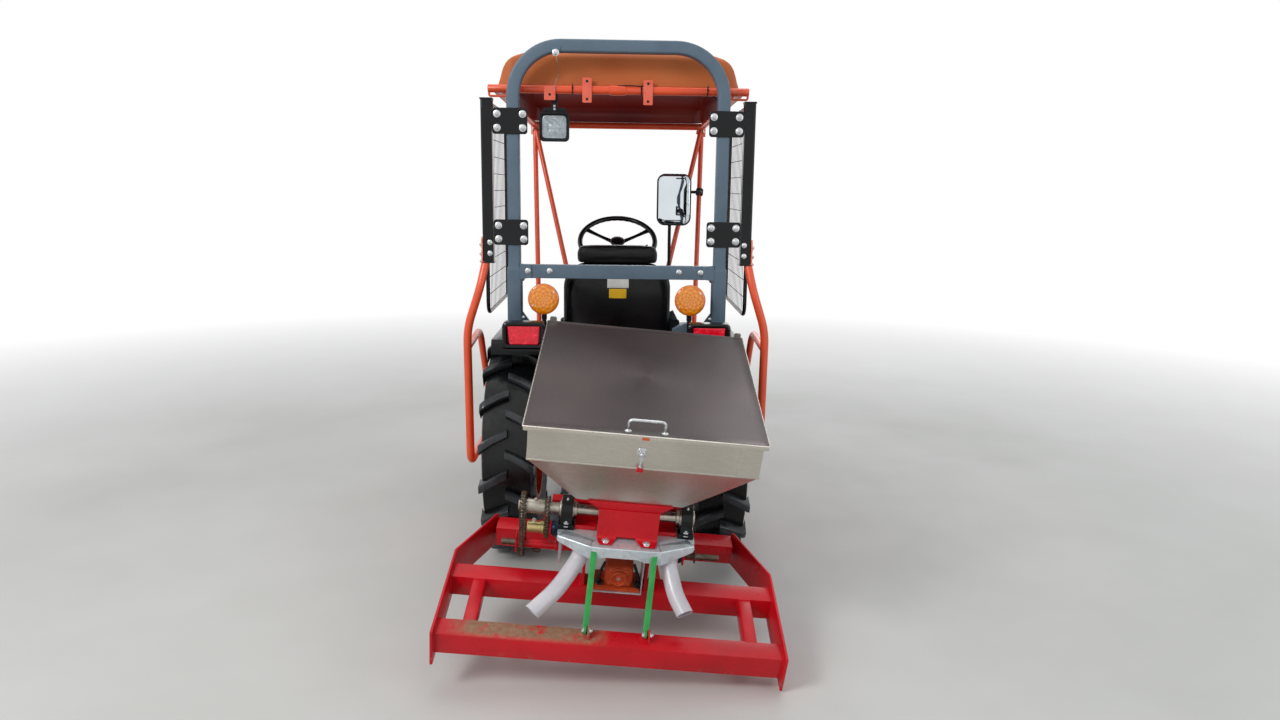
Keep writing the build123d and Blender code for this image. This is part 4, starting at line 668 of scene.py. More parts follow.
def areaLight(name, where, towards, size, power, tint=(1.0, 1.0, 1.0)):
    lamp = bpy.data.lights.new(name, "AREA")
    lamp.shape, lamp.size, lamp.size_y = "RECTANGLE", size[0], size[1]
    lamp.energy, lamp.color = power, tint
    obj = bpy.data.objects.new(name, lamp)
    bpy.context.scene.collection.objects.link(obj)
    obj.location = where
    obj.rotation_euler = (Vector(towards) - Vector(where)).to_track_quat("-Z", "Y").to_euler()
    return obj


areaLight("key", (-4.2, -5.0, 4.8), (0, -0.6, 0.8), (2.2, 2.2), 230, (1.0, 0.98, 0.95))
areaLight("fill", (5.2, -4.4, 2.6), (0, -0.6, 0.9), (3.5, 3.0), 55, (0.95, 0.98, 1.0))
areaLight("top", (0.4, 0.2, 5.6), (0, -0.2, 1.0), (4.5, 4.5), 75)
areaLight("back", (1.5, 5.5, 3.4), (0, 0.6, 1.0), (4.0, 2.0), 60)
print("stage set")


# plain pieces: the CAD node's own mesh, merged, with its edges rounded and its finish on
def nodeObject(name):
    return bpy.data.objects[name]


def copyOf(names, called=None):
    # One mesh from the merged meshes of some nodes, in the shared frame.
    bm = bmesh.new()
    for name in names if isinstance(names, (list, tuple)) else [names]:
        bm.from_mesh(nodeObject(name).data)
    bmesh.ops.remove_doubles(bm, verts=bm.verts, dist=2e-5)
    mesh = bpy.data.meshes.new(called or names)
    bm.to_mesh(mesh)
    bm.free()
    obj = bpy.data.objects.new(called or names, mesh)
    bpy.context.scene.collection.objects.link(obj)
    return obj


def roundedNode(name, look, width=0.002, angle=35, flat=False):
    # A node's copy with coplanar faces joined, then its sharp edges bevelled.
    obj = copyOf(name, "shown_" + name)
    bm = bmesh.new()
    bm.from_mesh(obj.data)
    bmesh.ops.dissolve_limit(
        bm, angle_limit=radians(1.5), use_dissolve_boundaries=False, verts=bm.verts, edges=bm.edges, delimit={"NORMAL"}
    )
    bm.to_mesh(obj.data)
    bm.free()
    obj.data.shade_smooth()
    if width:
        bevelled(obj, width, 2, angle)
    return finishPiece(obj, bodyOf[name], look, [name])


plainNodes = {
    # node: (finish, bevel width)
    "engine_block": ("castIron", 0.004),
    "transmission_case": ("caseGreyPaint", 0.003),
    "front_frame": ("caseGreyPaint", 0.002),
    "front_axle": ("castIron", 0.003),
    "knuckle_left": ("castIron", 0.002),
    "knuckle_right": ("castIron", 0.002),
    "tie_rod": ("steel", 0.001),
    "bonnet": ("bonnetPaint", 0.003),
    "grille": ("blackPlastic", 0.0015),
    "dash": ("blackPlastic", 0.003),
    "floor": ("caseGreyPaint", 0.002),
    "fender_left": ("glossBlack", 0.006),
    "fender_right": ("glossBlack", 0.006),
    "drawbar": ("castIron", 0.002),
    "lower_links": ("caseGreyPaint", 0.002),
    "lift_arms": ("caseGreyPaint", 0.002),
    "lift_rods": ("steel", 0.001),
    "top_link": ("steel", 0.001),
    "tool_side_plates": ("redPaint", 0.003),
    "tool_rails": ("redPaint", 0.004),
    "tool_struts": ("redPaint", 0.003),
    "mast": ("redPaint", 0.003),
}
for nodeName, (finish, width) in plainNodes.items():
    roundedNode(nodeName, finish, width)
print("plain nodes:", len(plainNodes))


# wheels: a revolved case with two rows of bars, and a pressed rim with its nuts and hub
wheelSets = {
    # name: tyre radius, width, rim radius, lug height, lugs a row, lug width, half track, forward
    "rear": dict(
        radius=0.460, width=0.220, rim=0.235, lug=0.028, lugs=17, bar=0.042, track=0.430, forward=axleY,
        discOut=0.006, hub=0.062, hubOut=0.030, hubIn=-0.1397, nuts=6, nutCircle=0.088, nut=0.0125,
    ),
    "front": dict(
        radius=0.280, width=0.136, rim=0.153, lug=0.020, lugs=14, bar=0.028, track=0.405, forward=frontAxleY,
        discOut=0.004, hub=0.046, hubOut=0.034, hubIn=-0.0527, nuts=5, nutCircle=0.066, nut=0.0105,
    ),
}


def tyreCase(w, caseR, tread):
    # across the tyre: bead, bulging wall with a few raised rings, shoulder and nearly flat crown
    half, bead = w["width"] / 2, w["width"] * 0.4
    t = np.linspace(0, 1, 34)
    wallR = w["rim"] + 0.002 + (caseR - w["rim"] - 0.002) * t
    wallX = bead * (1 - t) + tread * t + (half - (bead + tread) / 2) * 0.9 * np.sin(np.pi * t)
    for middle, wide, high in ((0.14, 0.018, 0.0018), (0.22, 0.012, 0.0012), (0.62, 0.014, 0.0014)):
        wallX = wallX + high * np.exp(-(((t - middle) / wide) ** 2))
    crownX = np.linspace(tread, -tread, 9)[1:-1]
    crownR = caseR + 0.0016 * (1 - (crownX / tread) ** 2)
    inner = np.array(((-bead + 0.012, w["rim"] - 0.001), (bead - 0.012, w["rim"] - 0.001)))
    return np.concatenate(
        (
            np.stack((wallX, wallR), -1),
            np.stack((crownX, crownR), -1),
            np.stack((-wallX[::-1], wallR[::-1]), -1),
            inner,
        )
    )


def tyreLugs(w, caseR, tread, centre):
    # a bar runs from the tyre's middle (u = 0) out over the shoulder (u = 1); its section is a
    # trapezoid with round top edges, w across the bar; height follows the tread, then the shoulder
    half = w["width"] / 2
    u = np.linspace(0, 1, 10)[:, None]
    section = np.array(
        ((-1.16, 0.0), (-1.02, 0.5), (-0.93, 0.86), (-0.8, 0.97), (-0.5, 1.0), (0.5, 1.0), (0.8, 0.97), (0.93, 0.86), (1.02, 0.5), (1.16, 0.0))
    )
    across = -0.004 + (half - 0.001 + 0.004) * u + 0 * section[:, 0]
    middle = w["bar"] * (0.76 - 1.5 * u + 0.12 * np.sin(np.pi * u))
    along = middle + section[None, :, 0] * w["bar"] * (0.39 + 0.07 * u)
    past = np.clip((across - tread) / (half - tread), 0, 1)
    low = caseR - 0.006 - 0.036 * past
    top = w["radius"] - 0.0105 * past**1.4 - 0.0012 * (1 - u) ** 6
    height = low + (top - low) * section[None, :, 1]
    rows, cols = across.shape
    faces = gridFaces(rows, cols).tolist()
    faces += [list(range(cols)), [(rows - 1) * cols + k for k in range(cols)][::-1]]
    parts = []
    pitch = np.pi / w["lugs"]
    for flip in (1, -1):
        turns = pitch * (2 * np.arange(w["lugs"]) + (0 if flip == 1 else 1))
        x = np.broadcast_to(flip * across, (len(turns), rows, cols))
        angle = turns[:, None, None] + np.arctan2(along, height)[None]
        reach = np.hypot(along, height)
        reach = np.minimum(reach, w["radius"])[None]
        points = np.stack((x, reach * np.sin(angle), reach * np.cos(angle)), -1) + centre
        for block in points:
            parts.append((block.reshape(-1, 3), faces if flip == 1 else [f[::-1] for f in faces]))
    return parts


def wheelRim(w, centre, outward):
    # the CAD rim's section with rounded lips; its disc is pressed in shallow pockets round the hub
    bead, rim, disc = w["width"] * 0.4, w["rim"], w["discOut"]
    discR = np.linspace(rim - 0.040, w["hub"] + 0.004, 14)
    outer = np.stack((np.full(14, disc), discR), -1)
    inner = np.stack((np.full(14, disc - 0.008), discR[::-1]), -1)
    lip = np.array(((-bead - 0.008, rim - 0.009), (-bead - 0.008, rim + 0.012), (-bead - 0.005, rim + 0.014), (-bead, rim + 0.014), (-bead, rim)))
    profile = np.concatenate(
        (
            lip,
            np.array(((-bead * 0.45, rim), (-bead * 0.35, rim - 0.006), (bead * 0.3, rim - 0.006), (bead * 0.4, rim))),
            -lip[::-1] * (1, -1),
            np.array(((disc + 0.026, rim - 0.010), (disc + 0.010, rim - 0.020), (disc + 0.002, rim - 0.032))),
            outer,
            np.array(((w["hubOut"] - 0.004, w["hub"]), (w["hubOut"], w["hub"] - 0.004), (w["hubOut"], 0.0))),
            np.array(((w["hubIn"], 0.0), (w["hubIn"], w["hub"]))),
            inner,
            np.array(((disc - 0.006, rim - 0.036), (disc + 0.014, rim - 0.010))),
        )
    )
    sides = 96
    verts, faces = latheParts(profile, (0, 0, 0), (1, 0, 0), sides)
    grid = verts.reshape(len(profile), sides, 3)
    reach = np.hypot(grid[..., 1], grid[..., 2])
    angle = np.arctan2(grid[..., 1], grid[..., 2])
    middle, span = (rim - 0.040 + w["hub"]) / 2, (rim - 0.040 - w["hub"]) / 2
    window = np.clip(1 - ((reach - middle) / (span * 0.72)) ** 2, 0, 1)
    onDisc = (np.abs(profile[:, 0] - disc) < 0.009)[:, None] & (reach < rim - 0.038) & (reach > w["hub"])
    grid[..., 0] -= np.where(onDisc, 0.007 * window * np.clip(np.cos(angle * w["nuts"]) * 1.6, 0, 1) ** 1.5, 0)
    points = grid.reshape(-1, 3) * (outward, 1, 1) + centre
    loop = gridFaces(len(profile), sides, True, True)
    return points, loop if outward > 0 else loop[:, ::-1]


def hexNut(centre, direction, radius, height, stud=0.0, washer=True, sides=6):
    # a washer, a six-sided head with turned corners, and a stud that stands out of it
    parts = []
    rest = 0.0
    if washer:
        rest = radius * 0.18
        edge = radius * 1.62
        profile = ((-0.0005, 0), (-0.0005, edge), (rest * 0.8, edge), (rest, edge * 0.95), (rest, 0))
        parts.append(latheParts(profile, centre, direction, 20))
    top = rest + height
    profile = ((rest, 0), (rest, radius * 1.12), (top - height * 0.16, radius * 1.12), (top, radius * 0.94), (top, 0))
    parts.append(latheParts(profile, centre, direction, sides))
    if stud:
        core = radius * 0.58
        profile = ((top, core), (top + stud - core * 0.3, core), (top + stud, core * 0.7), (top + stud, 0))
        parts.append(latheParts(profile, centre, direction, 12))
    return parts


for endName, w in wheelSets.items():
    lugTop = (w["radius"] - w["bar"] * 1.2 * sin(np.pi / w["lugs"])) / cos(np.pi / w["lugs"])
    caseR, tread = lugTop - w["lug"] - 0.004, w["width"] * 0.43
    for sideName, sign in (("left", -1), ("right", 1)):
        centre = np.array((sign * w["track"], w["forward"], w["radius"]))
        wheelBody = bodyOf[f"{endName}_tyre_{sideName}"]
        profile = tyreCase(w, caseR, tread)
        verts, _ = latheParts(profile, centre, (1, 0, 0), w["lugs"] * 8)
        case = (verts, gridFaces(len(profile), w["lugs"] * 8, True, True))
        tyre = meshObject(f"tyre_{endName}_{sideName}", *joinParts([case] + tyreLugs(w, caseR, tread, centre)), sharp=40)
        outwards(tyre)
        finishPiece(tyre, wheelBody, "rubber", stands=[f"{endName}_tyre_{sideName}"])

        rim = meshObject(f"rim_{endName}_{sideName}", *wheelRim(w, centre, sign), sharp=32)
        outwards(rim)
        bevelled(rim, 0.0012, 2, 32)
        finishPiece(rim, wheelBody, "orangePaint", stands=[f"{endName}_rim_{sideName}"])

        turns = 2 * np.pi * (np.arange(w["nuts"]) + 0.5) / w["nuts"]
        fasteners = []
        for angle in turns:
            spot = centre + (sign * w["discOut"], w["nutCircle"] * sin(angle), w["nutCircle"] * cos(angle))
            fasteners += hexNut(spot, (sign, 0, 0), w["nut"], w["nut"] * 0.95, w["nut"] * 0.7)
        hubFace = centre + (sign * w["hubOut"], 0, 0)
        capR = w["hub"] * 0.62
        capProfile = ((0, capR), (0.008, capR), (0.013, capR * 0.86), (0.015, capR * 0.5), (0.0155, 0))
        fasteners.append(latheParts(capProfile, hubFace, (sign, 0, 0), 32))
        for angle in 2 * np.pi * np.arange(4) / 4 + 0.4:
            spot = hubFace + (0, capR * 1.3 * sin(angle), capR * 1.3 * cos(angle))
            fasteners += hexNut(spot, (sign, 0, 0), 0.0065, 0.006, washer=False)
        valve = centre + (sign * (w["discOut"] + 0.024), 0, w["rim"] - 0.022)
        stem = ((0, 0.0042), (0.016, 0.0038), (0.017, 0.0052), (0.028, 0.0052), (0.030, 0.0035), (0.030, 0))
        fasteners.append(latheParts(stem, valve, (sign, 0, -0.5), 12))
        nuts = meshObject(f"wheel_nuts_{endName}_{sideName}", *joinParts(fasteners), sharp=30)
        outwards(nuts)
        finishPiece(nuts, wheelBody, "boltSteel")
print("wheels on")


# small builders for the implement, all in its own millimetres
def inTool(parts):
    return [(toolToWorld(points), faces) for points, faces in parts]


def rectRing(halfX, halfY, radius, perSide=3, steps=4):
    # A rectangle's outline with round corners and evenly pointed sides, anticlockwise.
    turn = np.linspace(0, np.pi / 2, steps)
    corners = ((1, 1), (-1, 1), (-1, -1), (1, -1))
    arcs = []
    for k, (sx, sy) in enumerate(corners):
        a = turn + k * np.pi / 2
        x = sx * (halfX - radius) + radius * np.cos(a)
        arcs.append(np.stack((x, sy * (halfY - radius) + radius * np.sin(a)), -1))
    share = np.linspace(0, 1, perSide + 2)[1:-1, None]
    out = []
    for k in range(4):
        start, end = arcs[k][-1], arcs[(k + 1) % 4][0]
        out += [arcs[k], start + (end - start) * share]
    return np.concatenate(out)


def ringStack(rings, closed=False, capStart=False, capEnd=False):
    # Rings with as many points each, joined one to the next.
    rings = np.asarray(rings, float)
    rows, cols = rings.shape[:2]
    faces = gridFaces(rows, cols, closed, True).tolist()
    if capStart:
        faces.append(list(range(cols))[::-1])
    if capEnd:
        faces.append([(rows - 1) * cols + k for k in range(cols)])
    return rings.reshape(-1, 3), faces


def boxParts(low, high):
    # A box between two corners; some of the pieces that use it have their edges bevelled.
    low, high = np.minimum(low, high), np.maximum(low, high)
    pick = np.array([(i, j, k) for k in (0, 1) for i, j in ((0, 0), (1, 0), (1, 1), (0, 1))])
    faces = [(3, 2, 1, 0), (4, 5, 6, 7), (0, 1, 5, 4), (1, 2, 6, 5), (2, 3, 7, 6), (3, 0, 4, 7)]
    return np.where(pick, high, low), faces


def prismParts(outline, low, high, axis):
    # An outline given a thickness along one axis: 0 takes (y, z), 1 takes (x, z), 2 takes (x, y).
    order = {0: (2, 0, 1), 1: (0, 2, 1), 2: (0, 1, 2)}[axis]
    points, faces = plateParts(outline, low, high, lambda v: v[:, order])
    return (points, [f[::-1] for f in faces]) if axis == 1 else (points, faces)


def tubeParts(path, outer, inner, sides=24, slant=0.0, up=(0, 0, 1)):
    # A pipe with both walls and its rims; the last ring is cut askew by slant.
    out, _ = sweepParts(path, circle(outer, sides), up=up, caps=False)
    core, _ = sweepParts(path, circle(inner, sides), up=up, caps=False)
    rows = len(path)
    ahead = np.asarray(path[-1], float) - path[-2]
    ahead /= np.linalg.norm(ahead)
    for grid in (out.reshape(rows, sides, 3), core.reshape(rows, sides, 3)):
        grid[-1] += ahead * ((grid[-1] - path[-1])[:, 2:3] * slant)
    base = rows * sides
    walls = gridFaces(rows, sides, False, True)
    faces = walls.tolist() + (walls[:, ::-1] + base).tolist()
    k = np.arange(sides)
    for row, flip in ((0, True), (rows - 1, False)):
        rim = np.stack((row * sides + k, row * sides + (k + 1) % sides), -1)
        rim = np.column_stack((rim, rim[:, ::-1] + base))
        faces += (rim[:, ::-1] if flip else rim).tolist()
    return np.concatenate((out, core)), faces


def stripParts(path, left, right, thick):
    # Sheet metal of changing width that follows a path of (y, z) points; x is left to right.
    path = np.asarray(path, float)
    along = np.gradient(path, axis=0)
    along /= np.linalg.norm(along, axis=1)[:, None]
    over = np.stack((-along[:, 1], along[:, 0]), -1) * thick
    left, right = np.broadcast_to(left, len(path)), np.broadcast_to(right, len(path))
    rings = np.stack(
        (
            np.column_stack((left, path)),
            np.column_stack((right, path)),
            np.column_stack((right, path + over)),
            np.column_stack((left, path + over)),
        ),
        1,
    )
    return ringStack(rings, capStart=True, capEnd=True)


def beadParts(start, end, radius=4.0, count=None):
    # A weld bead: a rippled half-round run between two points.
    start, end = np.asarray(start, float), np.asarray(end, float)
    count = count or max(6, int(np.linalg.norm(end - start) / (radius * 1.1)))
    t = np.linspace(0, 1, count)
    size = 0.86 + 0.2 * np.sin(t * count * 2.6) + 0.06 * np.sin(t * 37.0)
    size[0], size[-1] = 0.35, 0.35
    return sweepParts(start + (end - start) * t[:, None], circle(radius, 8), scale=size)


def pieceOf(name, parts, look, sharp=35, bevel=0.0, segments=2, body="implement", slot=None, stands=(), angle=30):
    # A finished piece from parts in the tractor's frame.
    obj = meshObject(name, *joinParts(parts), sharp=sharp)
    outwards(obj)
    if bevel:
        bevelled(obj, bevel, segments, angle)
    return finishPiece(obj, body, look, stands)


def toolNut(x, y, z, direction, radius, height, stud=0.0, washer=True):
    # A nut whose place and direction are the implement's.
    return hexNut((x, y, z), direction, radius, height, stud, washer)


# lid: a thin sheet with a rolled bright hem, its bent handle, hinge leaves and far corner tabs
lid = dict(x=49, rear=180, width=745, length=830, top=773, skirt=18, hem=3.0, hingeX=310, hingeY=1018, hingeZ=757)


def sheetWave(x, y, height):
    # uneven sheet: one shallow hollow, and weaker ripples that run askew across it
    u, v = x / 372.0, y / 415.0
    edge = np.clip((1 - u**2) * (1 - v**2), 0, 1) ** 0.8
    ripple = 0.5 * np.sin(3.1 * u + 1.7 * v + 0.6) + 0.35 * np.sin(2.2 * v - 4.4 * u)
    return -height * edge * (0.75 - 0.45 * ripple)


def lidSheet():
    halfX, halfY = lid["width"] / 2, lid["length"] / 2
    turn = np.radians(np.linspace(-70, 96, 9))
    rings = [(s * (halfX - 6), s * (halfY - 6), lid["top"] - 3.2, 1.0) for s in np.linspace(0, 1, 9)]
    rings += [(halfX - 2.6, halfY - 2.6, lid["top"] - 4.0, 0), (halfX - 2.6, halfY - 2.6, lid["top"] - 17.6, 0)]
    rings += [(halfX - 0.9, halfY - 0.9, lid["top"] - 18.0, 0), (halfX - 0.9, halfY - 0.9, lid["top"] - 8.0, 0)]
    for a in turn:
        off = lid["hem"] * (1 - cos(a))
        rings.append((halfX - off, halfY - off, lid["top"] - lid["hem"] * (1 - sin(a)), 0))
    rings += [(halfX - 6.6, halfY - 6.6, lid["top"] - 1.6, 0)]
    rings += [(s * (halfX - 6.6), s * (halfY - 6.6), lid["top"] - 1.4, 1.0) for s in np.linspace(1, 0, 15)[1:]]
    out = []
    for ringX, ringY, z, wavy in rings:
        ring = rectRing(max(ringX, 0.01), max(ringY, 0.01), min(2.5, max(ringX, 0.02) / 2), 14, 3)
        lift = sheetWave(ring[:, 0], ring[:, 1], 2.4) * wavy
        out.append(np.column_stack((ring + (lid["x"], lid["rear"] + halfY), z + lift)))
    return ringStack(out)


lidParts = [lidSheet()]
for sign in (-1, 1):  # a small upright tab at each far corner, rounded above
    tabX, tabY = lid["x"] + sign * 352, lid["rear"] + lid["length"] - 6
    outline = np.array(((-13, 0), (13, 0), (13, 15), (9, 20), (-9, 20), (-13, 15))) + (tabX, lid["top"] - 2)
    lidParts.append(prismParts(outline, tabY - 2, tabY + 1, 1))
    hinge = lid["x"] + sign * lid["hingeX"]
    barrel = ((-14, 4.6), (-14, 8), (14, 8), (14, 4.6))
    points, faces = latheParts(barrel, (hinge, lid["hingeY"], lid["hingeZ"]), (1, 0, 0), 20)
    lidParts.append((points, gridFaces(4, 20, True, True)))
    lidParts.append(boxParts((hinge - 15, 1008, 753), (hinge + 15, 1013, 767)))
lidPiece = pieceOf("lid_sheet", inTool(lidParts), ["lidPaintedReflection", "stainless"], sharp=32, stands=["lid"], body="lid")
lidNormals = np.empty(len(lidPiece.data.polygons) * 3)
lidPiece.data.polygons.foreach_get("normal", lidNormals)
lidSides = (lidNormals.reshape(-1, 3) @ toolZ < 0.8).astype(int)  # the upward faces take the dark lid finish, a painted reflection; skirt, hem and underside stay bright
lidPiece.data.polygons.foreach_set("material_index", lidSides)

handlePath = smoothPath(((-8, 206, 770), (-8, 206, 808), (104, 206, 808), (104, 206, 770)), 15, 7)
handleParts = [sweepParts(handlePath, circle(5, 14), up=(0, 1, 0))]
for x in (-8, 104):  # welded feet
    foot = ((0, 11), (0.8, 10.2), (1.6, 8.2), (3.4, 6.0), (5.0, 5.1))
    handleParts.append(latheParts(foot, (x, 206, 771), (0, 0, 1), 20))
pieceOf("lid_handle", inTool(handleParts), "boltSteel", body="lid", sharp=50)

tabOutline = np.array(((36, 756.4), (58, 756.4), (58.6, 758), (58.6, 764), (36, 764.6)))
pieceOf("lid_tab", inTool([prismParts(tabOutline, 178.6, 180.6, 1)]), "gearOrange", body="lid", bevel=0.0006)


# hopper: a folded band over a tapered body, open above and below, with a lap seam and a latch
def hopperSheet():
    # rings from the outlet up the outside, over the rim and back down the inside
    band, foot = (49, 592, 358.5, 405.0), (24, 362, 174.0, 100.0)
    rows = []
    for t in np.linspace(0, 1, 8):  # the taper
        rows.append((*(np.array(foot) * (1 - t) + np.array(band) * t), 475 + 175 * t, 2.0 * t, t * (1 - t) * 5))
    rows += [(*band, 650.6, 0.4, 0), (*band, 652.4, 0.0, 0)]
    rows += [(*band, z, 0.0, bulge) for z, bulge in ((672, 0.7), (700, 1.1), (728, 0.9), (752, 0.4), (768, 0))]
    rows += [(*band, 769.6, 0.6, 0), (*band, 769.6, 2.0, 0)]
    rows += [(*band, z, 2.8, 0) for z in (767, 652)]
    for t in np.linspace(1, 0, 5):
        rows.append((*(np.array(foot) * (1 - t) + np.array(band) * t), 475 + 175 * t, 3.0, 0))
    out = []
    for x, y, halfX, halfY, z, inset, bulge in rows:
        ring = rectRing(halfX - inset, halfY - inset, 5.0, 9, 4)
        u, v = ring[:, 0] / halfX, ring[:, 1] / halfY
        swell = bulge * np.sin(1.3 + 2.6 * u + 1.7 * v + z / 90.0)
        ring = ring * (1 + swell[:, None] / halfX)
        out.append(np.column_stack((ring + (x, y), np.full(len(ring), float(z)))))
    return ringStack(out, closed=True)


hopperParts = [hopperSheet()]
bandRear = 187.0
for sign in (-1, 1):  # hinge ears on the band's far side, with their pin
    hinge = lid["x"] + sign * lid["hingeX"]
    for side in (-1, 1):
        x = hinge + side * 19
        ear = ((996, 730), (1014, 730), (1025, 748), (1025, 757), (1022, 763), (1018, 765), (1014, 763), (1011, 757), (996, 748))
        hopperParts.append(prismParts(np.array(ear), x - 2.5, x + 2.5, 0))
    pin = ((-24, 0), (-24, 5.4), (-22, 5.4), (-22, 4), (22, 4), (22, 5.4), (24, 5.4), (24, 0))
    hopperParts.append(latheParts(pin, (hinge, 1018, 757), (1, 0, 0), 16))
seam = np.array(((333, 654), (406, 654), (406.4, 768), (336, 768)))
hopperParts.append(prismParts(seam, bandRear - 1.4, bandRear + 1, 1))
lip = np.array(((-309, 649.6), (407, 649.6), (407, 655.4), (-309, 655.4)))
hopperParts.append(prismParts(lip, bandRear - 0.9, bandRear + 1, 1))
pieceOf("hopper_sheet", inTool(hopperParts), "stainless", sharp=24, stands=["hopper"], bevel=0.0007, angle=40)

# latch on the band: a clamp bolt with its washer over a threaded rod and foot
latchX, latchZ = 40, 709
latchParts = toolNut(latchX, bandRear - 1, latchZ, (0, -1, 0), 10.5, 9, 9)
latchParts.append(boxParts((latchX - 6, bandRear - 12, latchZ - 24), (latchX + 6, bandRear - 3, latchZ - 9)))
thread = [(0, 0)] + [(z, 4.2 - 0.55 * (k % 2)) for k, z in enumerate(np.arange(0, 33, 1.5))] + [(33, 0)]
latchParts.append(latheParts(thread, (latchX - 1, bandRear - 8, latchZ - 22), (0, 0, -1), 12))
latchParts += toolNut(latchX - 1, bandRear - 8, latchZ - 42, (0, 0, -1), 6.4, 6, washer=False)
pieceOf("latch_bolt", inTool(latchParts), "boltSteel", sharp=30, bevel=0.0005)
bracket = np.array(((-11, 0), (11, 0), (8, 13), (-8, 13))) + (latchX - 1, 648)
pieceOf("latch_foot", inTool([prismParts(bracket, bandRear - 15, bandRear + 1, 1)]), "redPaint", bevel=0.001)

# metering housing: a hood under the outlet, a rear apron whose two feet are bolted to the plate
housingX = 27
hood = []
for z, halfX, rear, front in ((337.8, 94, 262, 462), (430, 94, 262, 462), (446, 101, 259, 464), (471, 137, 256, 467), (474.6, 138, 256, 467)):
    ring = rectRing(halfX, (front - rear) / 2, 4.0, 2, 4)
    hood.append(np.column_stack((ring + (housingX, (rear + front) / 2), np.full(len(ring), z))))
apronPath = np.array(((258.5, 447), (257.5, 430), (256.5, 400), (255.5, 372), (254.5, 358), (251.5, 349), (245, 343.4), (236, 341.6), (226, 341.2), (214, 341.0)))
housingParts = [
    ringStack(hood, capStart=True, capEnd=True),
    stripParts(apronPath[:6], housingX - 99, housingX + 99, -3),
    stripParts(apronPath[5:], housingX - np.array((99, 98, 96, 94, 88)), housingX - np.array((36, 37, 41, 46, 50)), -3),
    stripParts(apronPath[5:], housingX + np.array((27, 29, 35, 41, 46)), housingX + np.array((99, 99, 98, 96, 92)), -3),
    boxParts((-230, 386, 338), (250, 390, 382)),  # cross beam: web and flanges
    boxParts((-230, 386, 377), (250, 422, 382)),
    boxParts((-230, 380, 338), (250, 422, 343)),
]
for low, high in ((-146, -74), (129, 190)):  # the pan beside the housing, with its upstand
    housingParts.append(boxParts((low, 292, 338), (high, 388, 341.5)))
    housingParts.append(boxParts((low, 292, 338), (high, 296, 353)))
    housingParts.append(boxParts((low, 340, 341), (high, 344, 366)))
pieceOf("housing_sheet", inTool(housingParts), "redPaint", stands=["metering_housing"], bevel=0.0014, angle=28)
apronBolts = toolNut(-42, 229, 341.2, (0, -0.45, 1), 9.5, 7, 3) + toolNut(91, 229, 341.2, (0, -0.45, 1), 9.5, 7, 3)
pieceOf("apron_bolts", inTool(apronBolts), "boltSteel", bevel=0.0004)

# plate under it: the rear edge runs back at both ends, and a lip of changing depth hangs from it
plateEdge = np.array(((-200, 252), (-196, 246), (-92, 202), (-60, 199), (110, 199), (142, 202), (246, 246), (250, 252)), float)
lipDepth = np.array((14, 20, 46, 44, 44, 52, 22, 14), float)
fine = np.linspace(0, 7, 57)
edgeFine = np.column_stack([np.interp(fine, range(8), plateEdge[:, k]) for k in (0, 1)])
depthFine = np.interp(fine, range(8), lipDepth)
depthFine -= 9 * (np.clip((edgeFine[:, 0] + 62) / 12, 0, 1) * np.clip((84 - edgeFine[:, 0]) / 12, 0, 1))
away = np.column_stack((np.gradient(edgeFine[:, 1]), -np.gradient(edgeFine[:, 0])))
away /= np.linalg.norm(away, axis=1)[:, None]
zincRings = []
for step, drop, thick in ((40.0, 0, 0), (6.0, 0, 0), (2.6, 0.6, 0), (0.8, 2.4, 0), (0.0, 6.0, 0)):
    zincRings.append(np.column_stack((edgeFine - away * step * (1, 1), np.full(57, 338 - drop))))
zincRings.append(np.column_stack((edgeFine + away * 1.2, 338 - depthFine)))
zincRings.append(np.column_stack((edgeFine - away * 2.8, 338 - depthFine)))
for step, drop in ((4.0, 7.0), (4.6, 5.4), (6.0, 4.6), (40.0, 4.4)):
    zincRings.append(np.column_stack((edgeFine - away * step, np.full(57, 338 - drop))))
points = np.array(zincRings)
rows = len(points)
ends = [[r * 57 for r in range(rows)], [r * 57 + 56 for r in range(rows)][::-1]]
zincParts = [(points.reshape(-1, 3), gridFaces(rows, 57, True, False).tolist() + ends)]
deck = np.array(((-200, 440), (-200, 262), (-184, 262), (-88, 236), (138, 236), (234, 262), (250, 262), (250, 440)), float)
zincParts.append(prismParts(deck, 333.4, 338, 2))
pieceOf("plate_sheet", inTool(zincParts), "zinc", sharp=28, stands=["spreader_plate"])

# pillow blocks: an arched casting on two feet, its bearing ring, bolts and grease nipple
archTurn = np.radians(np.linspace(-18, 198, 25))
arch = np.stack((330 + 46 * np.cos(archTurn), 390 + 46 * np.sin(archTurn)), -1)
blockOutline = np.concatenate(
    (
        np.array(((282, 338.2), (378, 338.2), (378, 350), (376.5, 352), (374, 353.5))),
        arch,
        np.array(((286, 353.5), (283.5, 352), (282, 350))),
    )
)
blockParts, ringParts, blockBolts = [], [], []
for x in (-175, 220):
    blockParts.append(prismParts(blockOutline, x - 19, x + 19, 0))
    for y in (282, 378):
        inward = 1 if y < 330 else -1
        foot = boxParts((x - 27, y, 338.2), (x + 27, y + inward * 34, 356))
        blockParts.append(foot)
        blockBolts += toolNut(x, y + inward * 14, 356, (0, -0.5 * inward, 1), 10.5, 9, 5)
    for side in (-1, 1):
        ring = ((16, 34), (20.5, 34), (21, 33), (21, 28), (24, 27.4), (25, 26), (25, 18), (16, 18))
        points, faces = latheParts(ring, (x, 330, 390), (side, 0, 0), 36)
        ringParts.append((points, gridFaces(len(ring), 36, True, True)))
    nipple = ((0, 4.5), (3, 4.5), (3.4, 2.4), (6, 2.4), (7, 3.2), (9, 2.6), (10, 0))
    blockBolts.append(latheParts(nipple, (x, 316, 433), (0, -0.4, 1), 10))
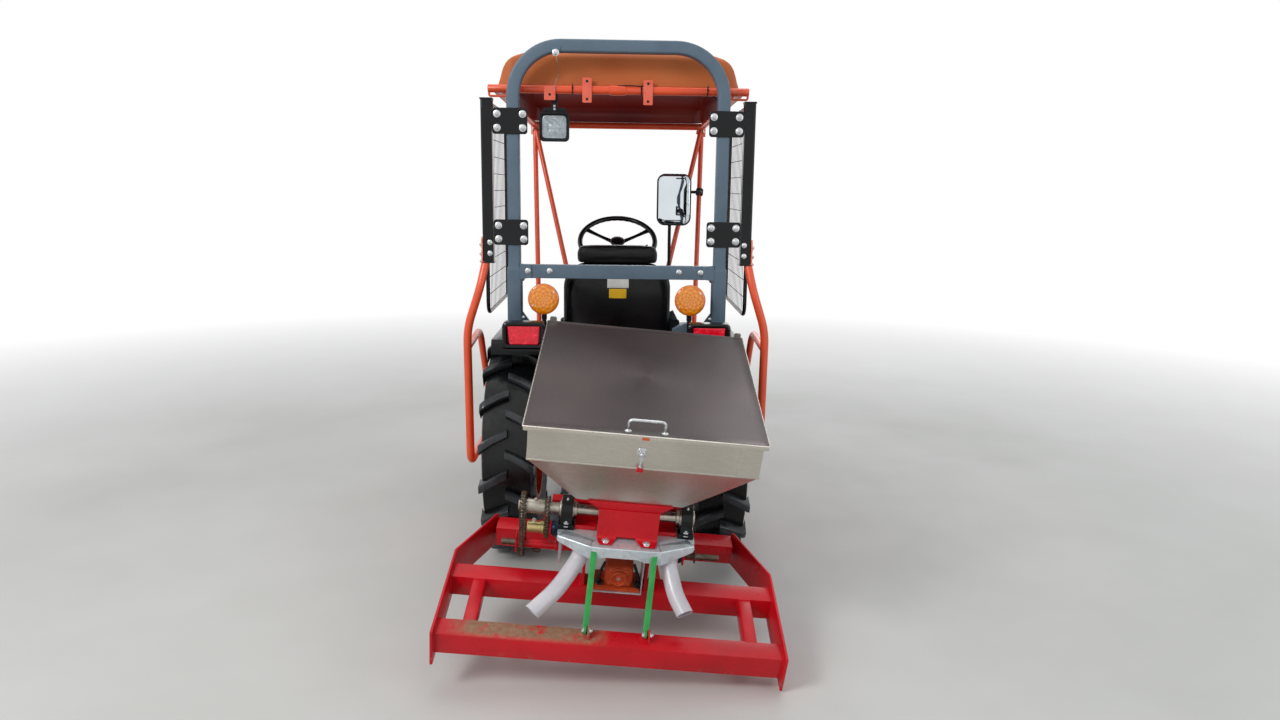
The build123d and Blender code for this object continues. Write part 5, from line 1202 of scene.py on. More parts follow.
pieceOf("bearing_blocks", inTool(blockParts), "glossBlack", stands=["pillow_blocks"], bevel=0.0026, segments=3, angle=25, slot="cast_iron")
pieceOf("bearing_rings", inTool(ringParts), "steel", sharp=30)
pieceOf("bearing_bolts", inTool(blockBolts), "boltSteel", sharp=30)


# chains: rollers on pins between waisted side plates, and the sprockets that carry them
def loopFrames(centreA, centreB, radius, count):
    # Even places along a belt round two equal wheels: point and direction in (y, z).
    a, b = np.array(centreA, float), np.array(centreB, float)
    span = np.linalg.norm(b - a)
    run = (b - a) / span
    normal = np.array((-run[1], run[0]))
    length = 2 * span + 2 * np.pi * radius
    where = np.arange(count) * length / count
    points, ways = [], []
    for s in where:
        if s < span:
            points.append(a + run * s + normal * radius)
            ways.append(run)
        elif s < span + np.pi * radius:
            t = (s - span) / radius
            points.append(b + radius * (normal * cos(t) + run * sin(t)))
            ways.append(run * cos(t) - normal * sin(t))
        elif s < 2 * span + np.pi * radius:
            points.append(b - run * (s - span - np.pi * radius) - normal * radius)
            ways.append(-run)
        else:
            t = (s - 2 * span - np.pi * radius) / radius
            points.append(a - radius * (normal * cos(t) + run * sin(t)))
            ways.append(-run * cos(t) + normal * sin(t))
    return np.array(points), np.array(ways), length / count


def chainParts(x, centreA, centreB, radius, count, wide):
    points, _, pitch = loopFrames(centreA, centreB, radius, count)
    parts = []
    waist = np.array(((0.0, 4.1), (0.5, 3.1), (1.0, 4.1)))
    for k in range(count):
        here, there = points[k], points[(k + 1) % count]
        run = there - here
        reach = np.linalg.norm(run)
        run = run / reach
        side = np.array((-run[1], run[0]))
        outline = [here + run * reach * t + side * h for t, h in waist]
        outline += [there + run * 3.2 + side * 2.2, there + run * 3.2 - side * 2.2]
        outline += [here + run * reach * t - side * h for t, h in waist[::-1]]
        outline += [here - run * 3.2 - side * 2.2, here - run * 3.2 + side * 2.2]
        outer = 1.7 if k % 2 else 0.0
        for sign in (-1, 1):
            low = x + sign * (wide / 2 + outer)
            parts.append(prismParts(np.array(outline), min(low, low + sign * 1.5), max(low, low + sign * 1.5), 0))
        pin = ((-wide / 2 - 4.2, 0), (-wide / 2 - 4.2, 2.0), (-wide / 2, 2.0), (-wide / 2 + 0.4, 4.0))
        pin += ((wide / 2 - 0.4, 4.0), (wide / 2, 2.0), (wide / 2 + 4.2, 2.0), (wide / 2 + 4.2, 0))
        parts.append(latheParts(pin, (x, *here), (1, 0, 0), 8))
    return parts


def sprocketParts(x, centre, radius, pitch, thick, bore):
    # A toothed disc: the root circle under each roller and a rounded tip between two of them.
    teeth = int(round(2 * np.pi * radius / pitch))
    turn = np.linspace(0, 2 * np.pi, teeth * 8, endpoint=False)
    wave = np.cos(turn * teeth)
    reach = radius + np.where(wave > 0, 3.4 * wave**0.6 * np.sign(wave), -4.0 * np.abs(wave) ** 0.8)
    outline = np.stack((centre[0] + reach * np.cos(turn), centre[1] + reach * np.sin(turn)), -1)
    core = np.stack((centre[0] + bore * np.cos(turn), centre[1] + bore * np.sin(turn)), -1)
    chamfer = np.array(centre) + (outline - centre) * 0.955
    rows = []
    for ring, offset in ((core, -thick / 2), (chamfer, -thick / 2), (outline, -thick / 4), (outline, thick / 4), (chamfer, thick / 2), (core, thick / 2)):
        rows.append(np.column_stack((np.full(len(ring), x + offset), ring)))
    return ringStack(rows, closed=True)


chainRows = (  # across, upper centre, lower centre, pitch radius, links, width between plates
    (-322, (330, 390), (396, 190), 42, 54, 8.0),
    (-240, (330, 390), (360, 286), 32, 34, 7.0),
)
links, steelParts, brassParts = [], [], []
for x, upper, lower, radius, count, wide in chainRows:
    links += chainParts(x, upper, lower, radius, count, wide)
    pitchHere = (2 * np.hypot(upper[0] - lower[0], upper[1] - lower[1]) + 2 * np.pi * radius) / count
    steelParts.append(sprocketParts(x, upper, radius, pitchHere, wide * 0.8, 12))
    (brassParts if x == -240 else steelParts).append(sprocketParts(x, lower, radius, pitchHere, wide * 0.8, 12))
pieceOf("chain_links", inTool(links), "chainSteel", sharp=40, stands=["drive_chains"])


def turned(profile, y, z, direction=(1, 0, 0), sides=32):
    # A turned piece about an axis along X: its profile holds (x, radius).
    return latheParts(profile, (0, y, z), direction, sides)


shaftProfile = ((-336.6, 0), (-336.6, 15.5), (-335, 17), (-252, 17), (-128, 17), (246, 17), (247, 15.8), (247, 0))
steelParts.append(turned(shaftProfile, 330, 390))
hubProfile = ((-317, 17), (-316, 23), (-312, 24.6), (-252, 24.6), (-247, 23.4), (-246, 17))
steelParts.append(turned(hubProfile, 330, 390, sides=40))
collar = ((-154, 17), (-154, 23), (-152.5, 24), (-143.5, 24), (-142, 23), (-142, 17))
for shift in (0, 338):
    steelParts.append(turned([(x + shift, r) for x, r in collar], 330, 390))
steelParts += toolNut(-281, 330, 413, (0, -0.35, 1), 5.2, 7, washer=False)
pieceOf("shaft_steel", inTool(steelParts), "steel", sharp=30, stands=["metering_shaft"], bevel=0.0004, angle=50)

brassHub = ((-306, 12), (-306, 18), (-304, 20), (-262, 20), (-260, 23), (-251, 23), (-250, 21), (-246, 20), (-244, 12))
brassParts.append(turned(brassHub, 360, 286, sides=36))
pieceOf("brass_hub", inTool(brassParts), "brassSteel", sharp=30, bevel=0.0004, angle=50)

# bearing flange, lower tube with its worn stubs, and the uprights that carry them
flange = ((-184, 12), (-184, 34), (-190, 36), (-204, 36), (-208, 33), (-214, 27), (-222, 25), (-226, 22), (-226, 12))
darkParts = [turned(flange, 360, 286, sides=36)]
knob = ((204, 11), (204, 20), (207, 25), (213, 27), (219, 27), (224, 24), (227, 18), (227, 11))
darkParts.append(turned([(x + 6, r) for x, r in knob], 396, 190, sides=36))
pieceOf("drive_bearings", inTool(darkParts), "blueSteel", sharp=30, bevel=0.0008, angle=50)

bracketPlate = np.array(((345, 160), (352, 152), (424, 152), (435, 162), (435, 333), (345, 333)))
greyParts = [prismParts(bracketPlate, -196, -186, 0), prismParts(bracketPlate, 206, 214, 0)]
pieceOf("bracket_plates", inTool(greyParts), "zinc", bevel=0.001)
uprightOutline = np.array(((285, 115), (347, 115), (347, 333), (300, 333), (285, 300)))
earOutline = np.array(((372, 166), (382, 158), (410, 158), (420, 168), (416, 228), (376, 228)))
redParts = [prismParts(uprightOutline, x - 5, x + 5, 0) for x in (-104, 108)]
redParts += [prismParts(earOutline, 232, 238, 0), prismParts(earOutline, -346, -341, 0)]
lowTube = ((-345, 11), (-345, 19), (-341, 20), (-338, 20), (-337, 15.5), (-212, 15.5), (-210, 18), (-198, 18), (-197, 11))
redParts.append(turned(lowTube, 396, 190, sides=28))
for x in (-104, 108):
    redParts.append(beadParts((x - 7, 284, 117), (x - 7, 346, 117), 4))
pieceOf("bracket_red", inTool(redParts), "redPaint", sharp=30, stands=["drive_bracket"], bevel=0.0012, angle=40)
wornParts = [turned(((-395, 0), (-395, 9), (-393, 11), (-336, 11), (-336, 0)), 396, 190, sides=24)]
groove = [(238, 0), (238, 11)] + [(240 + 2.4 * k, 11 - 1.2 * (k % 2)) for k in range(14)]
groove += [(274, 11), (274, 24), (277, 24), (277, 11), (358, 11), (360, 9), (360, 0)]
wornParts.append(turned(groove, 396, 190, sides=24))
pieceOf("bracket_stubs", inTool(wornParts), "chainSteel", sharp=30)
knobParts = [latheParts(((0, 0), (0, 3), (14, 3), (15, 6), (19, 7.4), (23, 6), (25, 0)), (-284, 356, 300), (0, -0.2, 1), 16)]
pieceOf("grease_knob", inTool(knobParts), "whiteSticker", sharp=50)
coilTurn = np.linspace(0, 2 * np.pi * 5, 90)
coil = np.column_stack((-288 + 26 * coilTurn / coilTurn[-1], 396 + 8 * np.cos(coilTurn), 165 + 8 * np.sin(coilTurn)))
pieceOf("rusty_coil", inTool([sweepParts(coil, circle(2.6, 6))]), "chainSteel", sharp=50)

# worm gearbox: ribbed orange casting on its foot, a boss with bearing ring, and clamp bolts
gearParts = [boxParts((-68.5, 268, 115), (88.5, 364, 127)), boxParts((-60, 272, 127), (80, 360, 131))]
bodyRings = []
for z, halfX, halfY, r in ((130, 44, 36, 8), (136, 47, 39, 10), (150, 48.4, 40, 14), (190, 48.4, 40, 14), (202, 46, 38, 16), (207, 40, 32, 16)):
    ring = rectRing(halfX, halfY, r, 2, 6)
    bodyRings.append(np.column_stack((ring + (15, 316), np.full(len(ring), float(z)))))
gearParts.append(ringStack(bodyRings, capStart=True, capEnd=True))
boss = ((0, 0), (0, 36), (4, 36), (6, 34), (6, 31), (9, 30), (16, 29), (18, 27), (18, 22), (13, 21), (12, 12), (15, 11), (16, 9), (16, 7), (9, 6), (9, 0))
gearParts.append(latheParts(boss, (15, 280, 168), (0, -1, 0), 40))
for angle in np.arange(4) * np.pi / 2 + np.pi / 4:
    spot = (15 + 38 * cos(angle), 279, 168 + 34 * sin(angle))
    gearParts.append(latheParts(((0, 8), (5, 8), (6.5, 6.5), (6.5, 0)), spot, (0, -1, 0), 16))
for x in (-22, 0, 30, 52):
    gearParts.append(boxParts((x - 2, 300, 200), (x + 2, 345, 209)))
pieceOf("gear_casting", inTool(gearParts), "gearOrange", sharp=32, stands=["gearbox"], bevel=0.0016, angle=32)
ringOnly = [latheParts(((0, 9), (0, 11), (2.5, 11), (3.2, 10), (3.2, 8), (1, 7.6), (1, 0)), (15, 268, 168), (0, -1, 0), 32)]
pieceOf("gear_ring", inTool(ringOnly), "boltSteel", sharp=30)
clampParts = []
for x, tilt in ((-50, -0.5), (82, 0.5)):
    clampParts += toolNut(x, 286, 134, (tilt, -0.6, 0.8), 9, 8, 16)
    clampParts.append(sweepParts(smoothPath(((x, 290, 134), (x, 300, 160), (x - tilt * 34, 318, 196)), 12, 4), circle(5, 10)))
pieceOf("gear_clamps", inTool(clampParts), "blackPaint", sharp=30)
anglePlate = [boxParts((-70, 262, 111.6), (93, 372, 114.8)), boxParts((92, 262, 111.6), (96, 366, 332))]
pieceOf("gear_plate", inTool(anglePlate), "zinc", bevel=0.001)

# hoses: clear-white pipes with both walls and a slanting cut below
hoseRows = (
    ("left", ((-117, 250, 332.5), (-117, 250, 266), (-185, 150, 195), (-255, 80, 160))),
    ("right", ((168, 250, 332.5), (168, 250, 272), (198, 160, 205), (230, 100, 182))),
)
for side, route in hoseRows:
    path = smoothPath(route, 62, 8)
    t = np.linspace(0, 1, 40)
    steps = np.linspace(0, 1, len(path))
    path = np.column_stack([np.interp(t, steps, path[:, k]) for k in range(3)])
    for _ in range(4):
        path[1:-1] = (path[:-2] + 2 * path[1:-1] + path[2:]) / 4
    pieceOf(f"pipe_{side}", inTool([tubeParts(path, 27.6, 24.2, 28, 0.25)]), "hosePlastic", sharp=50, stands=[f"hose_{side}"])

# green stays from behind the lip to lugs on the rear rail
stayParts, lugParts, stayBolts = [], [], []
for topX, footX in ((-76, -83), (120, 108)):
    top, foot = np.array((topX, 205, 322.0)), np.array((footX, 44, 131.0))
    t = np.linspace(0, 1, 9)[:, None]
    bar = top + (foot - top) * t + (0, 0, 0) + np.array((0, 1.0, -1.0)) * 3 * np.sin(np.pi * t)
    stayParts.append(sweepParts(bar, roundedRect(19, 7, 1.6, 3), up=(0, -1, 1)))
    tip = foot + (0, -2, -2)
    stayParts.append(latheParts(((-3.4, 0), (-3.4, 12.5), (3.4, 12.5), (3.4, 0)), tip + (0, 3, 6), (1, 0, 0), 24))
    lug = np.array(((22, 114), (62, 114), (60, 138), (54, 148), (44, 150), (34, 146), (26, 130)))
    lugParts.append(prismParts(lug, footX + 8, footX + 14, 0))
    lugParts.append(beadParts((footX + 16, 24, 116), (footX + 16, 60, 116), 3.2))
    stayBolts += toolNut(footX + 14, 45, 134, (1, 0, 0), 7.5, 6, 4)
    stayBolts += toolNut(footX - 4, 45, 134, (-1, 0, 0), 7.5, 6)
pieceOf("stay_flats", inTool(stayParts), "greenPaint", sharp=35, stands=["stay_bars"])
pieceOf("stay_lugs", inTool(lugParts), "redPaint", bevel=0.001)
pieceOf("stay_bolts", inTool(stayBolts), "boltSteel", sharp=30)

# weld beads where the rails and struts meet the side plates and one another
weldParts = []
for y in (0, 280):
    for sign in (-1, 1):
        for dy in (0, 72):
            weldParts.append(beadParts((sign * 547, y + dy, 42), (sign * 547, y + dy, 113), 3.4))
        weldParts.append(beadParts((sign * 547, y + 2, 115.5), (sign * 547, y + 70, 115.5), 3.4))
for sign in (-1, 1):
    for y in (72.5, 279.5):
        for dx in (-21, 21):
            weldParts.append(beadParts((sign * 450 + dx, y, 64), (sign * 450 + dx, y, 112), 2.8))
        weldParts.append(beadParts((sign * 450 - 20, y, 113.4), (sign * 450 + 20, y, 113.4), 2.8))
pieceOf("rail_welds", inTool(weldParts), "redPaint", sharp=60)
print("implement dressed")


# pieces on the chassis are built in the tractor's own millimetres
axleMm = -362.5
hoopY = axleMm - 100


def inFrame(parts):
    return [(np.asarray(points, float) / 1000, faces) for points, faces in parts]


def mirrored(parts):
    # The parts and their images across the middle plane.
    flipped = []
    for points, faces in parts:
        points = np.asarray(points, float).reshape(-1, 3) * (-1, 1, 1)
        flipped.append((points, [list(face)[::-1] for face in faces]))
    return list(parts) + flipped


def chassisPiece(name, parts, look, **options):
    return pieceOf(name, inFrame(parts), look, body=options.pop("body", "chassis"), **options)


# roll-over hoop: a rectangular tube with round corners, bent at both shoulders, in wider sockets
hoopLine = 450 - 27
bendTurn = np.radians(np.linspace(0, 90, 17))
bendR = 222 - 27
leftPost = [(-hoopLine, hoopY, z) for z in (1236, 1500, 2142 - 222)]
leftBend = [(-hoopLine + bendR * (1 - cos(a)), hoopY, 2142 - 222 + bendR * sin(a)) for a in bendTurn[1:]]
hoopPath = np.array(leftPost + leftBend)
hoopPath = np.concatenate((hoopPath, hoopPath[::-1] * (-1, 1, 1)))
hoopParts = [sweepParts(hoopPath, roundedRect(50, 54, 8, 5), up=(0, 1, 0))]
socketRings = []
for z, wide, deep in ((990, 54, 50), (1000, 60, 56), (1228, 60, 56), (1235, 60, 56), (1239, 58, 54), (1241, 54, 50)):
    ring = rectRing(wide / 2, deep / 2, 8, 1, 5)
    socketRings.append(np.column_stack((ring + (-hoopLine, hoopY), np.full(len(ring), float(z)))))
socket = ringStack(socketRings, capStart=True, capEnd=True)
footBox = np.array(((-450, 962.5), (-450, 1012), (-282, 1012), (-234, 985), (-234, 560), (-246, 545), (-278, 545), (-278, 962.5)))
footPart = prismParts(footBox, hoopY - 25, hoopY + 25, 1)
gusset = np.array(((-396, 1010), (-360, 1010), (-396, 1060)))
postParts = [socket, footPart, prismParts(gusset, hoopY - 4, hoopY + 4, 1)]
for dy in (-25, 25):
    postParts.append(beadParts((-449, hoopY + dy * 1.04, 1012), (-397, hoopY + dy * 1.04, 1012), 3))
postParts.append(beadParts((-448, hoopY - 25.5, 1240), (-398, hoopY - 25.5, 1240), 2.2))
chassisPiece("hoop_tube", hoopParts + mirrored(postParts), "greyBluePaint", sharp=30, stands=["rops_hoop"], bevel=0.0012, angle=38)

boltsHere = []
for sign in (-1, 1):  # socket bolts on the inner faces and the flat feet
    for z in (1030, 1190):
        boltsHere += hexNut((sign * (hoopLine - 30), hoopY - 12, z), (-sign, 0, 0), 7.5, 7, 3)
    for z in (600, 720, 840):
        boltsHere += hexNut((sign * 256, hoopY - 25, z), (0, -1, 0), 9.5, 8, 4)

# cross bar: a channel open to the front, bolted at both ends to ears on the posts
barPath = np.array(((-395, hoopY - 20, 1223), (395, hoopY - 20, 1223)), float)
barSection = np.array(((-27.8, 31), (-27.8, -4), (-24, -4.6), (24, -4.6), (27.8, -4), (27.8, 31), (23.6, 31), (23.6, 0), (-23.6, 0), (-23.6, 31)))
barRings = []
for x in np.linspace(-396, 396, 13):
    barRings.append([(x, hoopY - 20 + dy, 1223 + dz) for dz, dy in barSection])
barParts = [ringStack(barRings, capStart=True, capEnd=True)]
for sign in (-1, 1):
    ear = np.array(((352, 1198), (400, 1190), (400, 1256), (352, 1248))) * (sign, 1)
    barParts.append(prismParts(ear, hoopY - 30.5, hoopY - 24, 1))
chassisPiece("cross_channel", barParts, "greyBluePaint", sharp=30, stands=["rops_crossbar"], bevel=0.0014, angle=35)
for x in (-367, -278, 254, 343):
    boltsHere += hexNut((x, hoopY - 25 - (5.5 if abs(x) > 300 else 0), 1226), (0, -1, 0), 7.2, 6, 2)

# clamp plates with round corners, each with four bolts, and the straps behind the posts
plateParts2 = []
for height, high in ((1382, 103), (1822, 102)):
    ring = rectRing(70.5, high / 2, 12, 1, 5)
    front, back = hoopY - 32.6, hoopY - 25.4
    stack = []
    for y, shrink in ((back, 1.0), (back - 0.8, 0), (front + 1.2, 0), (front, 1.4)):
        scale = 1 - shrink / 70
        stack.append(np.column_stack((ring[:, 0] * scale + 434, np.full(len(ring), y), ring[:, 1] * scale + height)))
    plateParts2.append(ringStack(stack, capStart=True, capEnd=True))
    plateParts2.append(boxParts((376, hoopY + 25.5, height - 34), (496, hoopY + 32, height + 34)))
    for x in (384, 486):
        for dz in (-27, 27):
            plateParts2.append(latheParts(((0, 5), (52, 5)), (x, hoopY - 25, height + dz), (0, 1, 0), 12))
            for sign in (-1, 1):
                boltsHere += hexNut((sign * (x - 2), front, height + dz), (0, -1, 0), 9.0, 7.5, 2.5)
                boltsHere += hexNut((sign * (x - 2), hoopY + 32, height + dz), (0, 1, 0), 8.0, 7, 5)
chassisPiece("clamp_sheets", mirrored(plateParts2), "glossBlack", sharp=30, stands=["clamp_plates"], bevel=0.0008, angle=35)

# side guards: a glossy channel by each post, a bent tube frame with wires, and its clamps
channel = np.array(((505, -33), (505, 18), (509, 18), (509, -26), (512, -29), (541, -29), (546, -24), (546, 18), (550, 18), (550, -27), (544, -33)))
channelRings = []
for z in np.linspace(1260, 1908, 12):
    channelRings.append([(x, hoopY + dy, z) for x, dy in channel])
guardParts = [ringStack(channelRings, capStart=True, capEnd=True)]
guardParts.append(boxParts((503, hoopY - 36, 1904), (552, hoopY + 18, 1911)))
guardParts.append(boxParts((503, hoopY - 34, 1256), (552, hoopY + 18, 1261)))
guardX, guardBack, guardFront, guardLow, guardHigh = 537.5, hoopY + 18, 239.5, 1043, 1906
frameTurn = [(guardX, guardBack, guardLow + 120), (guardX, guardBack, guardHigh), (guardX, guardFront, guardHigh)]
frameTurn += [(guardX, guardFront, guardLow), (guardX, guardBack, guardLow)]
closedPath = smoothPath(np.array(frameTurn + frameTurn[:2]), 56, 9)[1:-1]
guardParts.append(sweepParts(closedPath[:-1], circle(8, 14), closed=True, up=(1, 0, 0)))
wires = []
for k in range(1, 16):
    y = guardBack + k * (guardFront - guardBack) / 16
    wires.append(sweepParts(((guardX - 2, y, guardLow), (guardX - 2, y, (guardLow + guardHigh) / 2), (guardX - 2, y, guardHigh)), circle(1.15, 6)))
for k in range(1, 12):
    z = guardLow + k * (guardHigh - guardLow) / 12
    wires.append(sweepParts(((guardX + 1.8, guardBack, z), (guardX + 1.8, (guardBack + guardFront) / 2, z), (guardX + 1.8, guardFront, z)), circle(1.7, 6)))
for z in (1330, 1560, 1790):  # clamps from channel to tube
    guardParts.append(boxParts((512, hoopY - 8, z - 16), (530, hoopY + 22, z + 16)))
for sign in (-1, 1):
    for y, z in ((hoopY - 33, 1296), (hoopY - 33, 1340)):
        boltsHere += hexNut((sign * 520, y, z), (0, -1, 0), 6.5, 5.5, 2)
    for z in (1285, 1320):
        boltsHere += hexNut((sign * 550, hoopY - 8, z), (sign, 0, 0), 7.5, 6.5, 3)
chassisPiece("guard_frames", mirrored(guardParts), "glossBlack", sharp=35, stands=["side_guards"], bevel=0.0008, angle=45)
chassisPiece("guard_wires", mirrored(wires), "blackPaint", sharp=60, slot="paint_black")

# canopy frame: rear tube between end loops, side and front tubes, struts with clevis ends
rimRear, rimFront, roofRear, roofFront = 1962 - 6, 1895 - 6, axleMm - 28, axleMm + 1130
halfRear, halfFront = 505 - 4, 452 - 4
corners = [(0, roofRear, rimRear), (halfRear, roofRear, rimRear), (halfFront, roofFront - 4, rimFront)]
corners += [(-halfFront, roofFront - 4, rimFront), (-halfRear, roofRear, rimRear), (0, roofRear, rimRear)]
framePath = smoothPath(np.array(corners, float), 52, 9)[:-1]
canopyParts = [sweepParts(framePath, circle(16.9, 20), closed=True, up=(0, 0, 1))]
for sign in (-1, 1):
    canopyParts.append(sweepParts(((sign * 430, roofRear, rimRear), (sign * 529, roofRear, rimRear), (sign * 532, roofRear, rimRear)), circle(16.2, 20), scale=(1, 1, 0.9)))
    loop = rectRing(34.5, 17.5, 7, 1, 5)
    loopPath = np.column_stack((sign * (532 - 39) + loop[:, 0], np.full(len(loop), roofRear), rimRear - 12 + loop[:, 1]))
    canopyParts.append(sweepParts(loopPath, roundedRect(9, 8, 2, 3), closed=True, up=(0, 1, 0)))
sleeve = ((-34, 17.2), (-32, 19.4), (-20, 20.2), (20, 20.2), (32, 19.4), (34, 17.2))
canopyParts.append(latheParts(sleeve, (-4, roofRear, rimRear), (1, 0, 0), 24))
strutBolts = []
for sign in (-1, 1):
    top = np.array((sign * 444, axleMm + 1126, 1889.0))
    for foot in ((410, axleMm + 969, 442), (206, axleMm + 915, 880)):
        foot = np.array((sign * foot[0], foot[1], foot[2]), float)
        run = foot - top
        length = np.linalg.norm(run)
        t = np.array((0.015, 0.03, 0.05, 0.3, 0.6, 0.93, 0.955, 0.975))[:, None]
        size = (0.7, 0.9, 1, 1, 1, 1, 0.86, 0.66)
        canopyParts.append(sweepParts(top + run * t, circle(12.8, 18), up=(1, 0, 0), scale=size))
        side = np.cross(run / length, (0, 1, 0))
        for end in (top + run * 0.02, foot - run * 0.02):
            for lateral in (-1, 1):
                spot = end + side * lateral * 7
                canopyParts.append(sweepParts((spot - run / length * 22, spot + run / length * 22), roundedRect(4.5, 30, 2, 3), up=side))
            strutBolts += hexNut(end + side * 10, side, 7, 6, 2) + hexNut(end - side * 10, -side, 7, 6)
chassisPiece("canopy_tubes", canopyParts, "orangePaint", sharp=40, stands=["canopy_frame"])
chassisPiece("strut_bolts", strutBolts, "boltSteel", sharp=30)


# roof: a moulded shell, its outside painted the brown of its orange in shade, its inside a darker red
roofSize = {"halfRear": 505, "halfFront": 452, "shoulder": 1978, "corner": 132, "crown": 2121, "wall": 6, "endRound": 34, "rimFront": 1895, "rimRear": 1962, "lean": 14}


def roofTop(x, y, wall):
    # Height over a plan point: the lower of the arched section and the arc from front to rear,
    # both rounded off towards their edges as quarter circles, and eased where they cross.
    s = roofSize
    u = (roofFront - y) / (roofFront - roofRear)
    half = s["halfFront"] + (s["halfRear"] - s["halfFront"]) * u - wall - s["lean"]
    fromSide = np.clip(half - np.abs(x), 0, None)
    flat = half - s["corner"]
    bow = (s["crown"] - s["shoulder"] - s["corner"]) * (1 - np.clip(np.abs(x) / flat, 0, 1) ** 2)
    corner = s["corner"] - wall
    roundSide = corner - np.sqrt(np.clip(corner**2 - np.clip(corner - fromSide, 0, None) ** 2, 0, None))
    section = s["shoulder"] + s["corner"] - wall + bow - roundSide
    rise = 4 * u * (1 - u)
    crest = (s["rimFront"] + 70) * (1 - u) + (s["shoulder"] + s["corner"] - 6) * u
    middle = (s["rimFront"] + 70 + s["shoulder"] + s["corner"] - 6) / 2
    crest = crest + (s["crown"] + 2 - middle) * rise - wall
    fromEnd = np.clip(np.minimum(roofFront - y, y - roofRear) - wall - s["lean"], 0, None)
    ends = s["endRound"] - wall
    roundEnd = ends - np.sqrt(np.clip(ends**2 - np.clip(ends - fromEnd, 0, None) ** 2, 0, None))
    crest = crest - roundEnd
    soft = 9.0
    low = np.minimum(section, crest)
    return low - soft * np.log(1 + np.exp(-np.abs(section - crest) / soft))


def roofPlan(inset, round0, perSide=26, steps=9):
    # A trapezoid seen from above with round corners, walked once round, drawn in by inset.
    s = roofSize
    u = (roofFront - inset, roofRear + inset)
    slope = (s["halfRear"] - s["halfFront"]) / (roofFront - roofRear)
    corners = [(s["halfRear"] - inset - slope * inset, u[1]), (s["halfFront"] - inset + slope * inset, u[0])]
    corners = [corners[0], corners[1], (-corners[1][0], corners[1][1]), (-corners[0][0], corners[0][1])]
    radius = max(round0 - inset, 2)
    out = []
    for k in range(4):
        here, back, ahead = (np.array(corners[i % 4]) for i in (k, k - 1, k + 1))
        a = (back - here) / np.linalg.norm(back - here)
        b = (ahead - here) / np.linalg.norm(ahead - here)
        half = np.arccos(a @ b) / 2
        middle = here + (a + b) / np.linalg.norm(a + b) * radius / np.sin(half)
        start, stop = here + a * radius / np.tan(half) - middle, here + b * radius / np.tan(half) - middle
        t = np.linspace(0, 1, steps)[:, None]
        arc = start * (1 - t) + stop * t
        arc = middle + arc / np.linalg.norm(arc, axis=1)[:, None] * radius
        out.append(arc)
    out = np.concatenate(out)
    ring = []
    for k in range(4):
        part = out[k * steps : (k + 1) * steps]
        nextStart = out[(k + 1) * steps % len(out)]
        t = np.linspace(0, 1, perSide + 2)[1:-1, None]
        ring += [part, part[-1] * (1 - t) + nextStart * t]
    return np.concatenate(ring)


def roofRings(wall):
    # Rings from the rim up the wall, over the round edge and in to the middle.
    s = roofSize
    edge, topEdge = roofPlan(wall, 70), roofPlan(wall + s["lean"], 70)
    centre = np.array((0, (roofFront + roofRear) / 2))
    rim = s["rimFront"] + (s["rimRear"] - s["rimFront"]) * (roofFront - edge[:, 1]) / (roofFront - roofRear) + 11.3
    low, high = np.column_stack((edge, rim)), np.column_stack((topEdge, roofTop(topEdge[:, 0], topEdge[:, 1], wall)))
    rings = [low * (1 - t) + high * t for t in np.linspace(0, 1, 6)[:-1]]
    for inset in (0, 0.4, 1.6, 3.8, 7, 11.5, 17, 24, 32, 42, 54, 68, 84, 100, 118):
        spot = roofPlan(wall + s["lean"] + inset, 70 + inset * 0.2)
        rings.append(np.column_stack((spot, roofTop(spot[:, 0], spot[:, 1], wall))))
    last = rings[-1][:, :2]
    for t in (0.15, 0.3, 0.45, 0.6, 0.75, 0.88, 0.97, 0.999):
        spot = last * (1 - t) + centre * t
        rings.append(np.column_stack((spot, roofTop(spot[:, 0], spot[:, 1], wall))))
    return np.array(rings)


outerRings, innerRings = roofRings(0.0), roofRings(roofSize["wall"])
roofVerts, roofFaces = ringStack(np.concatenate((innerRings[::-1], outerRings)), capStart=True, capEnd=True)
roof = meshObject("roof_shell", np.asarray(roofVerts) / 1000, roofFaces, sharp=50)
insideRows = len(innerRings)
perRow = len(innerRings[0])
insideFlags = [1 if min(face) // perRow < insideRows - 1 else 0 for face in roofFaces]
roof.data.polygons.foreach_set("material_index", insideFlags[: len(roof.data.polygons)])
outwards(roof)
finishPiece(roof, "chassis", ["roofOutsideInShade", "roofInside"], stands=["canopy_roof"])

# brackets on the rear tube: flat straps with two holes each, cable ties and the lamp's ear; each hole is a black disc
# on the strap, painted shade
strapParts, holeShadeParts, tieParts = [], [], []
for x, half, high, low, holes in ((-129, 19, 46, -52, (-38, 32)), (119, 19, 40, -58, (-44, 26)), (-280, 23, 12, -44, (-22,))):
    ring = rectRing(half, (high - low) / 2, 4, 1, 4)
    stack = []
    for y, scale in ((roofRear - 17, 0.985), (roofRear - 18, 1), (roofRear - 21.5, 1), (roofRear - 22.5, 0.985)):
        stack.append(np.column_stack((x + ring[:, 0] * scale, np.full(len(ring), y), rimRear + (high + low) / 2 + ring[:, 1] * scale)))
    strapParts.append(ringStack(stack, capStart=True, capEnd=True))
    for dz in holes:
        # a black disc with a rim in each hole: painted shade
        holeShadeProfile = ((0, 0), (0.5, 0), (0.5, 4.2), (0.9, 5.2), (0, 5.6))
        holeShadeParts.append(latheParts(holeShadeProfile, (x, roofRear - 22.4, rimRear + dz), (0, -1, 0), 16))
chassisPiece("roof_straps", strapParts, "salmonPaint", sharp=30, bevel=0.0008)
chassisPiece("strap_hole_shade", holeShadeParts, "blackPlastic", sharp=30)
